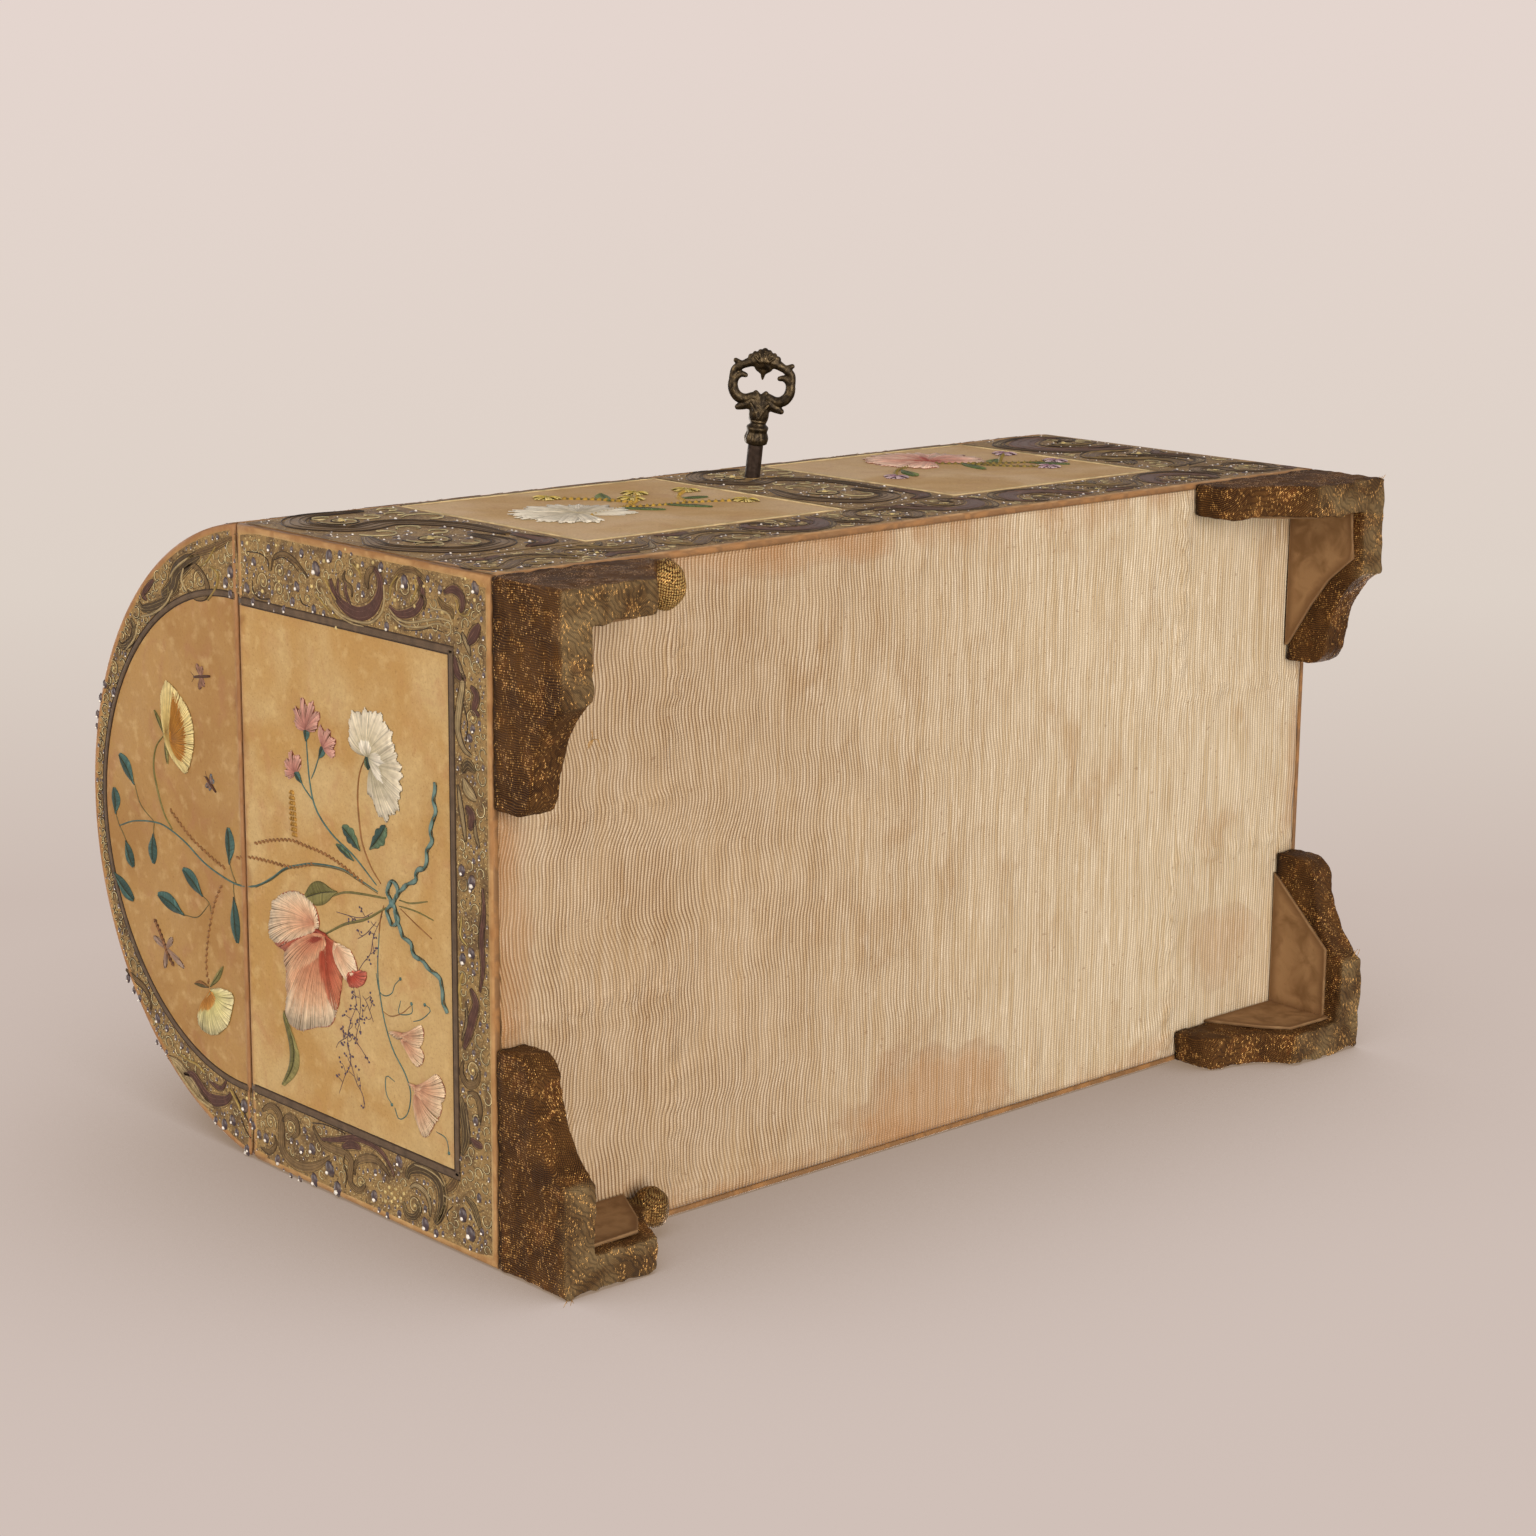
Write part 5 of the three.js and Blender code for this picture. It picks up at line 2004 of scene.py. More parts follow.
@dataclass
class EndScrolls:
    """The ornament in the borders of the box's left end and of the lid above it, in millimetres."""

    seed: int = 37

    LEAVES = (
        (
            (
                (-80.5, 68.2), (-77.1, 66.6), (-74.1, 62.2), (-73, 55.4), (-75.4, 49.3),
                (-79.8, 46.1), (-83.8, 46.3), (-85.9, 48.6),
            ),
            5,
            "p",
        ),
        (((-81.2, 64.4), (-77.3, 64.9), (-74.8, 62.9)), 1.6, "p"),
        (((-80.6, 61.3), (-77.4, 61.1), (-74.5, 58.8)), 1.7, "p"),
        (((-83.5, 61.2), (-81.8, 62), (-80.3, 61), (-79.4, 58.6), (-77, 58.4)), 1.4, "g"),
        (((-85.9, 48.3), (-84.4, 51), (-81.9, 51.7), (-80, 51.1)), 2.2, "g"),
        (
            (
                (-76.8, 42.2), (-75.3, 38.6), (-76.5, 32.7), (-79.4, 28.7), (-83.4, 27.9),
                (-85.9, 29.8),
            ),
            3.3,
            "p",
        ),
        (((-84.1, 40.3), (-86.5, 37), (-87.5, 32.4), (-86.5, 28.5), (-85.2, 26)), 1.7, "b"),
        (((-83.4, 19), (-84.7, 15.1), (-83.6, 12), (-80.9, 11.4), (-79.2, 12.7)), 3.1, "p"),
        (((-81.9, 21.5), (-79.9, 19), (-79.2, 15.9), (-77.3, 15.3)), 2.1, "b"),
        (((-85, 27.9), (-82.1, 29.3), (-80.4, 26.7), (-78, 27.4)), 1.4, "g"),
        (
            (
                (-79.1, 95.6), (-83.1, 93.7), (-84.6, 89.3), (-83.4, 84.3), (-81.4, 80.8),
                (-79.5, 78.1),
            ),
            1.2,
            "g",
        ),
        (
            (
                (74.7, 106.8), (72.2, 102.5), (73.1, 98.7), (76.3, 97.3), (79.9, 97.5), (83, 97.2),
                (85.4, 94.3), (86.2, 89.1), (85, 83.1), (82.3, 77.9), (79.5, 74.1),
            ),
            3.4,
            "g",
        ),
        (((75.3, 96.9), (73.1, 93.8), (73.5, 90.1), (76.5, 89.5), (79.1, 92.6)), 2.4, "g"),
        (((80.4, 100.9), (82.9, 100.3), (86.1, 103.5), (85.9, 108)), 1.6, "g"),
        (
            (
                (72.7, 81.9), (75.2, 79.8), (76.7, 76.9), (76.8, 72.6), (76.6, 66.8), (78.5, 64),
                (82.2, 64.8), (84.7, 64.2), (85.5, 60.6), (82.9, 57.7),
            ),
            2.9,
            "g",
        ),
        (
            (
                (75.7, 78.4), (73.6, 70.3), (71, 62.3), (70.6, 55.9), (71.7, 50.3), (74.5, 46.2),
                (77, 44.2),
            ),
            2.6,
            "p",
        ),
        (((75.2, 68.2), (73.2, 63.8), (73.3, 59.5)), 3.4, "p"),
        (
            ((81.6, 62.7), (77.9, 61.8), (75.4, 57.5), (74.5, 52.5), (76, 48.4), (77.6, 46.3)), 2.4,
            "g",
        ),
        (
            (
                (75.9, 38.7), (73.3, 37.3), (71.2, 32.5), (71.4, 27.1), (73.9, 23.8), (78, 23.2),
                (82.2, 24.6), (84.9, 26.7),
            ),
            5.5,
            "d",
        ),
        (((78.1, 37.4), (76.7, 34.6), (77.5, 30.6), (80.3, 28.6), (83.8, 28.7)), 2, "s"),
        (((82.8, 40.3), (85.9, 39), (85.7, 35.5), (83, 33.4), (81, 34.1)), 2.6, "d"),
        (((75.2, 22.5), (72, 18.4), (67.4, 15.7)), 3, "b"),
        (((85.2, 26), (81.4, 23.3), (78, 21.9)), 2.2, "d"),
        (((73.9, 13.2), (75.5, 10), (78.3, 8.1), (81.3, 6.8)), 2.3, "d"),
        (((71.2, 108.9), (71.3, 112.8), (70.2, 115.8)), 3.7, "b"),
        (
            ((-67.6, 13.6), (-62.3, 11.6), (-56, 13), (-49.7, 13.9), (-45, 11.6), (-43.5, 8.3)),
            2.8,
            "s",
        ),
        (((-74.4, 11.8), (-71.2, 9.4), (-68.9, 8.2)), 1.9, "s"),
        (((-67.8, 15.2), (-64, 13.7), (-62.5, 10.4)), 3.9, "p"),
        (((-71.7, 9.4), (-75.2, 6.1), (-77.4, 4.4)), 4.1, "p"),
        (((-61.3, 8.4), (-59.1, 6), (-55.4, 7.3), (-54.3, 4.8)), 3, "p"),
        (((-38.7, 12.5), (-41.2, 10), (-39.7, 6.7)), 3.1, "d"),
        (((-37.3, 11.7), (-34.5, 10.1), (-32.6, 6.5)), 3.7, "s"),
        (((-35.3, 14.2), (-30.3, 13.1), (-25.4, 12), (-20.9, 11.2)), 2.1, "s"),
        (((-30.2, 11), (-28.1, 8.6), (-24.3, 9.5)), 3.7, "p"),
        (((-27.3, 7.4), (-23.7, 7), (-20.4, 5.4)), 1.5, "s"),
        (((-10.3, 4.4), (-4.1, 4.1), (3.4, 5.2), (10.6, 4.7), (17.2, 6)), 2.4, "p"),
        (((-1.1, 13.3), (4.2, 13.8), (6.2, 10.9)), 1.1, "o"),
        (((17.1, 9.9), (20.8, 7.8), (25.5, 9.6), (30.2, 11.4), (33.8, 13.1)), 3.9, "p"),
        (((20.8, 12), (26, 11.7), (31.9, 13.9)), 1.2, "s"),
        (((47.1, 14.7), (52.2, 13.5), (57.4, 12.7), (62.8, 14.5)), 4, "d"),
        (((48.2, 12.6), (53.9, 11.8), (59, 10.7)), 1.1, "s"),
        (((45.2, 11.7), (45.3, 7.9), (48.2, 6.5), (52, 6.6)), 2.3, "g"),
        (((57.4, 10.6), (58.3, 8.1), (58.2, 5.6)), 2.8, "p"),
        (((37, 13.2), (40.5, 14.1), (43.1, 11.6), (41.6, 7.8), (38, 6.3)), 2.3, "g"),
        (
            ((-87.2, 110.6), (-84.9, 116.1), (-81.7, 124.1), (-79.5, 131.2), (-77.1, 137.4)), 2.2,
            "b",
        ),
        (
            ((-78.8, 130.3), (-75.9, 137.5), (-72.2, 142.8), (-68.6, 144.5), (-65.3, 150.4)), 6.4,
            "d",
        ),
        (
            (
                (-73.7, 139.6), (-75.8, 134.5), (-74.4, 130), (-70.9, 126.7), (-68, 127.9),
                (-66.8, 132.9), (-68.5, 136.9),
            ),
            2.1,
            "g",
        ),
        (
            ((-68.2, 147.1), (-64.8, 147.3), (-61.7, 153.8), (-60.2, 160.7), (-61.9, 162.7)), 3.3,
            "d",
        ),
        (((-69, 154.4), (-66.9, 157.6), (-64.2, 160.4), (-62.8, 158.4)), 2.5, "p"),
        (
            ((-56.4, 167.3), (-53.8, 165.7), (-50.1, 167.2), (-47.6, 172.2), (-48.8, 174.3)), 2.7,
            "d",
        ),
        (((49.4, 177), (51.1, 172.2), (52.9, 166.8), (55.9, 163.8), (58.6, 163.9)), 2.2, "g"),
        (((70.9, 155.5), (71.9, 149.7), (74.8, 144.5), (78.1, 138.4), (80.1, 132.3)), 3.8, "s"),
        (
            (
                (74, 147.1), (73.4, 142.3), (75.3, 139.3), (78.2, 134.2), (76.7, 125.9),
                (73.2, 121.6),
            ),
            4.7,
            "p",
        ),
        (((72.8, 133.9), (73.6, 127.8), (70.4, 124.5)), 1.8, "p"),
    )
    STROKES = (
        (
            (
                (-77.6, 72.2), (-74.3, 69.1), (-71.8, 63.7), (-70.9, 57.5), (-71.4, 50.7),
                (-74.3, 45.9), (-78.1, 44.2), (-82, 44.4),
            ),
            0.68,
            "s",
        ),
        (((-75.3, 71.2), (-72, 65.8), (-70.2, 59.6), (-70, 53.5)), 0.53, "s"),
        (
            (
                (-76.2, 42.2), (-74.1, 38.6), (-73.8, 33.4), (-75.4, 26.2), (-76.6, 20.4),
                (-76.5, 15.9),
            ),
            0.66,
            "s",
        ),
        (((-74.5, 41.3), (-72.7, 36), (-73.4, 28.2), (-75.2, 21.7), (-74.8, 16.6)), 0.56, "s"),
        (((-77.4, 26.1), (-78.8, 21.6), (-78.2, 17.2), (-75.8, 15.3)), 0.50, "s"),
        (((-80.6, 71), (-77.7, 68.3), (-75.2, 65.6)), 0.54, "o"),
        (((-75.6, 75), (-72.9, 70.6), (-70.4, 65.1)), 0.54, "o"),
        (((-79.2, 41.8), (-82.5, 41), (-85.2, 38.3)), 0.62, "o"),
        (((-85.3, 31.1), (-82.3, 30.6), (-78.8, 33.2)), 0.61, "o"),
        (((-82.2, 13.9), (-79.2, 12.7), (-78.9, 9.6), (-81.5, 7.7)), 0.50, "o"),
        (((-85.8, 58.4), (-84.2, 55.1), (-82.3, 54.4)), 0.53, "o"),
        (((-82.9, 106.9), (-83.2, 100.9), (-81.8, 97), (-79, 96.4)), 0.33, "k"),
        (((-75.4, 104.6), (-72.2, 104), (-70.9, 100.8), (-71.5, 96.4)), 0.34, "k"),
        (((-74.6, 82.5), (-72.3, 81.2), (-71.8, 77.7)), 0.33, "k"),
        (((-71.5, 36.1), (-72.4, 29.5), (-73.7, 24.3), (-73.3, 19.2)), 0.25, "k"),
        (((-82.1, 94.4), (-83.5, 90), (-82.4, 85.8), (-80.4, 82.3)), 0.27, "k"),
        (((71.1, 35.2), (70.9, 29.7), (71.7, 25.1), (73.5, 22.4)), 0.49, "s"),
        (((76.1, 22.5), (76.2, 19.8), (74.7, 17.5)), 0.54, "s"),
        (((75.8, 13.9), (77.8, 10.7), (80.4, 8.1)), 0.48, "s"),
        (((76.6, 66.8), (79.5, 67.6), (82.6, 66.3), (86.4, 67.1)), 0.35, "k"),
        (((83.4, 20), (80.8, 21.3), (77.9, 18.5)), 0.27, "k"),
        (((79.4, 117.8), (83.2, 114.9), (85.6, 110.3)), 0.37, "k"),
        (((72, 82.6), (70.9, 76.7), (70.7, 70.9), (70.9, 66.6)), 0.35, "k"),
        (((-56.3, 11.3), (-51.4, 9.8), (-46.2, 10.7)), 0.33, "k"),
        (((13.6, 13.1), (18.1, 14.5), (23.3, 13.8)), 0.82, "o"),
        (((-74.4, 138.6), (-70.9, 139.8), (-68.1, 137.4)), 0.69, "s"),
        (((-67.4, 144.6), (-63, 148.5), (-59.5, 154.9), (-57.7, 161.4)), 0.78, "s"),
        (((-70.6, 146), (-73.9, 142.7), (-77.5, 136.4)), 0.69, "s"),
        (((-56.4, 163), (-50.9, 165.5), (-46.7, 170.6)), 0.64, "s"),
        (((-76.6, 125.4), (-74.9, 121.5), (-70.9, 122.7), (-67, 126.9)), 0.75, "o"),
        (((-82.5, 122.1), (-78.2, 126.3), (-76, 130.4)), 0.67, "o"),
        (((71.7, 152.9), (76, 146.7), (79.6, 139.5), (80.9, 131.8)), 0.82, "s"),
        (((68.5, 148.4), (69.3, 144.2), (69.5, 140), (70.9, 135.9)), 0.82, "o"),
        (((72.4, 123.1), (75.1, 119.7), (79.4, 115.8)), 0.80, "o"),
        (((72, 121.6), (75.8, 117.7), (81, 112.9)), 0.40, "k"),
    )
    SPIRALS = (
        ((-75.7, 99.5), 3.1), ((-79.6, 91.3), 2.5), ((-74.6, 91.9), 2.5), ((-73.7, 78.6), 1.5), (
            (-83, 58.8), 1.5
        ), ((-82.4, 35.8), 3.8),
        ((77, 102.7), 3), ((76.2, 92.8), 2.7), ((83, 59.9), 2.3), ((-53.3, 7.7), 2.7), (
            (38.8, 9.4), 3.1
        ), ((51.9, 8.4), 2.1),
        ((-72.1, 130.6), 3.5), ((-40.4, 177.5), 3.2), ((82.7, 35.5), 3.3),
    )
    SEQUINS = (
        (-80.6, 103.6, 1.51), (-77.6, 107.1, 1.13), (-73, 107.3, 1.86), (-69.6, 104.5, 1.35), (
            -85.2, 96.5, 1.22
        ), (-86.1, 85.6, 1.09), (-85.6, 81, 1.52),
        (-82.4, 74.4, 2.37), (-76.5, 83.5, 1.75), (-79.6, 87, 1.15), (-80.8, 90.1, 0.72), (
            -72.1, 85.8, 1.59
        ), (-68.9, 94.3, 1.06), (-69.5, 89.9, 1.38),
        (-71.4, 75.9, 1.52), (-71, 71.4, 1.13), (-86.4, 68.4, 2.13), (-87.6, 63.5, 1.38), (
            -88.4, 58.3, 0.84
        ), (-86.5, 75.7, 0.75), (-86.4, 45.6, 1.71),
        (-84, 35.4, 2.15), (-86, 25.6, 1.16), (-86.3, 6, 2.06), (-84, 20.5, 1.40), (
            -80.2, 55.5, 1.32
        ), (-78.4, 53.5, 1.16), (-71.4, 43.4, 1.56),
        (-71.2, 28.6, 0.76), (-71.5, 24.7, 0.96), (-72, 21.1, 0.76), (-70.6, 96.8, 0.95), (
            -79.4, 99.6, 0.84
        ), (-80.9, 107.8, 1.01), (82.4, 105.2, 1.76),
        (80.7, 102.1, 0.79), (82.2, 108.6, 1.58), (80.4, 111.3, 1.53), (75.7, 115.7, 2.33), (
            88.8, 115.2, 1.72
        ), (87.3, 99.7, 1.87), (89.2, 96.8, 0.78),
        (90.1, 93.4, 1.02), (89.8, 88.9, 1.19), (88.2, 81.8, 2.19), (75.1, 86.1, 1.24), (
            79.8, 92.6, 1.13
        ), (81.2, 87.8, 1.60), (79.5, 82.5, 1.94),
        (83, 74.2, 2.69), (87.8, 70.8, 2.45), (78.1, 53, 1.19), (78.6, 56.5, 0.74), (
            79.2, 49.2, 1.02
        ), (81, 55.5, 0.68), (85, 53.6, 1.94),
        (88.8, 54, 0.69), (88.4, 51.5, 1.08), (88.8, 47.7, 1.19), (86.9, 42.4, 1.35), (
            87.7, 36.3, 0.73
        ), (86.5, 30.8, 2.22), (87.7, 26.1, 1.54),
        (86.9, 23.1, 1.04), (85.6, 18, 0.82), (82.2, 30.7, 1.22), (79.2, 14.3, 2.27), (
            83.4, 11.1, 2.48
        ), (81.5, 6.2, 1.34), (72.1, 42, 2.12),
        (72.6, 7.3, 1.49), (75.8, 110.7, 1.03), (-50.5, 7.8, 1.43), (-48, 9, 1.37), (
            -13.2, 13, 1.80
        ), (-16.6, 8, 0.99), (-10.9, 8.9, 2.20),
        (-43.3, 6.3, 0.78), (-68.3, 5.4, 0.90), (-63.4, 4.7, 0.64), (10.1, 13.1, 1.96), (
            7.7, 9.3, 1.75
        ), (12.6, 8.5, 1.14), (-9.3, 9.4, 1.33),
        (34, 8.9, 1.02), (40.7, 9.7, 0.89), (43.9, 6.4, 0.68), (52.2, 8.4, 1.51), (
            63.9, 15, 0.77
        ), (61.3, 6.1, 0.76), (25.7, 6.1, 0.95),
        (-76.3, 115.1, 2.00), (-73.1, 117.7, 1.78), (-70.2, 115.4, 1.48), (-72.8, 112.3, 0.59), (
            -34.9, 182.9, 1.56
        ), (-30.4, 185.4, 1.65), (-25.3, 187.6, 1.41),
        (-21.6, 188.2, 1.08), (-33.3, 178, 1.79), (-29.4, 180.3, 1.06), (-83, 117.2, 0.67), (
            52, 176.1, 1.44
        ), (54.9, 173, 1.27), (56.6, 169.8, 1.43),
        (60.5, 160.3, 1.83), (62.4, 155.5, 1.41), (64, 150.8, 1.07), (65.7, 147.7, 1.23), (
            66.4, 144.6, 1.07
        ), (68, 161.3, 0.92), (68.7, 158.9, 0.92),
        (69.8, 156, 1.08), (84, 130.9, 1.55), (83.9, 126.3, 1.94), (81.6, 122, 1.93), (
            84.7, 120.1, 1.37
        ), (75.8, 115.7, 1.91), (88, 114.7, 1.44),
        (79.2, 112.8, 1.11),
    )
    KNOTS = (
        (82.5, 48.6), (82.2, 45.8), (80.3, 43.6), (82.3, 41.6), (84.4, 45.8), (85.1, 48.6),
        (84.9, 43.1), (80.6, 40.2), (80.7, 46.8), (83.1, 44.4), (70.5, 109.6), (72.1, 110.5),
        (73.1, 108.2), (76.7, 109.2), (73.1, 114.4), (-84.9, 70.8), (-89.1, 61), (-86.3, 92.8),
        (-86.7, 100.8), (
            -85.2, 106.7
        ), (-77.4, 76.7), (-87.2, 48.9), (-85.4, 55.7), (-78.3, 31.3),
        (-78.7, 39.8), (-83.9, 27.3), (-88.1, 10), (-83.2, 6.4), (-67.9, 65.9), (-71.6, 39.4),
        (-78.3, 19.7), (-76.7, 91.8), (-73.1, 99.9),
    )

    def sew(self, bands: Sequence[Strip | ArchBand]) -> None:
        """Sews the ornament over the painted bands.

        Args:
            bands: the four bands.
        """
        border = ScrollBorder(unit=17.9)
        work = Needlework(SIZE.end(-1), "box", self.seed, SIZE.height)
        border.taken = []
        for points, width, ink in self.LEAVES:
            border.leaf(work, points, width, ink)
        for points, width, ink in self.STROKES:
            tone = border.palette.inks.get(ink, border.palette.outline)
            work.thread(points, max(width * 1.2, 0.3), tone, 0.1, 0.9)
        for middle, radius in self.SPIRALS:
            border.spiral(work, middle, radius, 1 if middle[0] < 0 else -1)
        for along, up, radius in self.SEQUINS:
            work.sequin((along, up), radius, border.palette, (1.0, 0.1))
            border.taken.append(np.array([[along, up, radius]]))
        for middle in self.KNOTS:
            size = float(work.rng.uniform(0.5, 0.8))
            work.dot(middle, (size, size, 0.4), border.palette.knot)
            border.taken.append(np.array([[*middle, size]]))
        for number, band in enumerate(bands):
            body = "lid" if isinstance(band, ArchBand) else "box"
            border.wash(band, body, f"left_border_ground_{number + 1}")
            border.fill(work, band, True)
        work.build("left_border")


# ---- Panels, silk and linings


def ripples(points: np.ndarray, size: float, seed: int) -> np.ndarray:
    """Smooth random heights about 0, made of crossing waves.

    Args:
        points: where they are wanted.
        size: the usual length of a wave.
        seed: the start of its random numbers.

    Returns:
        One height for each point, mostly between -2 and 2.
    """
    rng = np.random.default_rng(seed)
    total = np.zeros(len(points))
    for _ in range(14):
        heading = rng.normal(size=points.shape[1])
        heading *= math.tau / (size * rng.uniform(0.7, 1.7) * np.linalg.norm(heading))
        total += np.sin(points @ heading + rng.uniform(0, math.tau))
    return total / math.sqrt(7)


def edge_distance(points: np.ndarray, outline: np.ndarray) -> np.ndarray:
    """How far points lie from a closed outline.

    Args:
        points: flat points.
        outline: the outline's corners in order.

    Returns:
        One distance for each point.
    """
    best = np.full(len(points), np.inf)
    for start, end in zip(outline, np.roll(outline, -1, axis=0)):
        run = end - start
        share = np.clip((points - start) @ run / max(float(run @ run), 1e-9), 0, 1)
        best = np.minimum(best, np.linalg.norm(points - start - share[:, None] * run, axis=1))
    return best


def rectangle(
    low: Sequence[float], high: Sequence[float], wide: float = 9.0, tall: float = 9.0
) -> np.ndarray:
    """A rectangle's outline, anticlockwise, in even steps along its width and height."""
    corners = [(low[0], low[1]), (high[0], low[1]), (high[0], high[1]), (low[0], high[1])]
    sides = []
    for start, end, step in zip(corners, corners[1:] + corners[:1], (wide, tall, wide, tall)):
        count = max(2, int(math.dist(start, end) / step))
        share = np.arange(count)[:, None] / count
        sides.append(np.array(start) + share * (np.array(end) - np.array(start)))
    return np.concatenate(sides)


def arch_outline(radius: float, middle: float, low: float, step: float = 2.5) -> np.ndarray:
    """The outline of a circle's part above a level, anticlockwise from its right foot.

    Args:
        radius: the circle's radius.
        middle: the height of its middle.
        low: the level.
        step: the distance between points.

    Returns:
        The points.
    """
    half = math.acos((low - middle) / radius)
    angles = np.linspace(half, -half, int(2 * half * radius / step))
    top = np.stack([radius * np.sin(angles), middle + radius * np.cos(angles)], -1)
    base = np.linspace(top[-1], top[0], int(np.linalg.norm(top[-1] - top[0]) / step))[1:-1]
    return np.concatenate([top, base])


INSETS = (
    0.0, 0.0015, 0.004, 0.007, 0.011, 0.016, 0.023, 0.032, 0.044, 0.06, 0.08, 0.105, 0.135, 0.17
)


@dataclass
class Plate:
    """A sheet with a rounded edge on a ground. Its outline is seen whole from its middle."""

    name: str
    ground: Ground
    outline: np.ndarray
    body: str
    node: str
    finish: Finish
    slot: str
    thickness: float
    corner: float = 0.5
    hem: float = 0.0
    ripple: float = 0.0
    wave: float = 24.0
    level: float = 0.0
    rings: int = 3

    def solid(self) -> tuple[np.ndarray, list[tuple[int, ...]], np.ndarray]:
        """Works out the plate's closed shape.

        Returns:
            Its points in millimetres, its faces, and each point's distance from the outline.
        """
        inner = np.linspace(0.21, 0.97, self.rings)
        shares = 1 - np.concatenate([INSETS, inner])
        middle = (self.outline.max(0) + self.outline.min(0)) / 2
        rings = middle + shares[:, None, None] * (self.outline - middle)
        flat = np.concatenate([rings.reshape(-1, 2), [middle]])
        edge = edge_distance(flat, self.outline)
        top = np.concatenate([flat, self._height(flat, edge)[:, None]], 1)
        back = np.concatenate([flat, np.full((len(flat), 1), self.level - self.thickness)], 1)
        count, ring = len(self.outline), len(shares)
        faces = self._cover(count, ring, 0, False) + self._cover(count, ring, len(flat), True)
        for i in range(count):
            j = (i + 1) % count
            faces.append((len(flat) + i, len(flat) + j, j, i))
        if self.ground.flipped:
            faces = [face[::-1] for face in faces]
        return self.ground.place(np.concatenate([top, back])), faces, np.concatenate([edge, edge])

    def build(self) -> bpy.types.Object:
        """Makes the plate.

        Returns:
            The piece.
        """
        points, faces, edge = self.solid()
        mesh = bpy.data.meshes.new(self.name)
        mesh.from_pydata((points * MM).tolist(), [], faces)
        give_attribute(mesh, "edge", edge)
        mesh.shade_smooth()
        made = bpy.data.objects.new(self.name, mesh)
        bpy.context.scene.collection.objects.link(made)
        settle(made, self.finish, self.body, self.slot)
        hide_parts(self.node)
        return made

    def _height(self, flat: np.ndarray, edge: np.ndarray) -> np.ndarray:
        """The height of the seen side: rounded at its edge, with a low roll where it has a hem."""
        short = np.clip(self.corner - edge, 0, self.corner)
        height = -self.corner + np.sqrt(self.corner**2 - short**2)
        if self.hem:
            height += 0.22 * np.sin(np.pi * np.clip((edge - 0.3) / self.hem, 0, 1))
        if self.ripple:
            fade = np.clip(edge / 6.0, 0, 1)
            height += self.ripple * fade * (0.5 * ripples(flat, self.wave, 7) - 0.6)
        return height + self.level

    @staticmethod
    def _cover(count: int, ring: int, start: int, back: bool) -> list[tuple[int, ...]]:
        """The faces of one side, ring by ring.

        Args:
            count: the points of a ring.
            ring: the number of rings.
            start: the number of the first point.
            back: whether it faces the other way.

        Returns:
            The faces.
        """
        faces: list[tuple[int, ...]] = []
        for row in range(ring - 1):
            for i in range(count):
                j = (i + 1) % count
                a, b = start + row * count, start + (row + 1) * count
                faces.append((a + i, a + j, b + j, b + i))
        centre = start + ring * count
        last = start + (ring - 1) * count
        faces += [(last + i, last + (i + 1) % count, centre) for i in range(count)]
        return [face[::-1] for face in faces] if back else faces


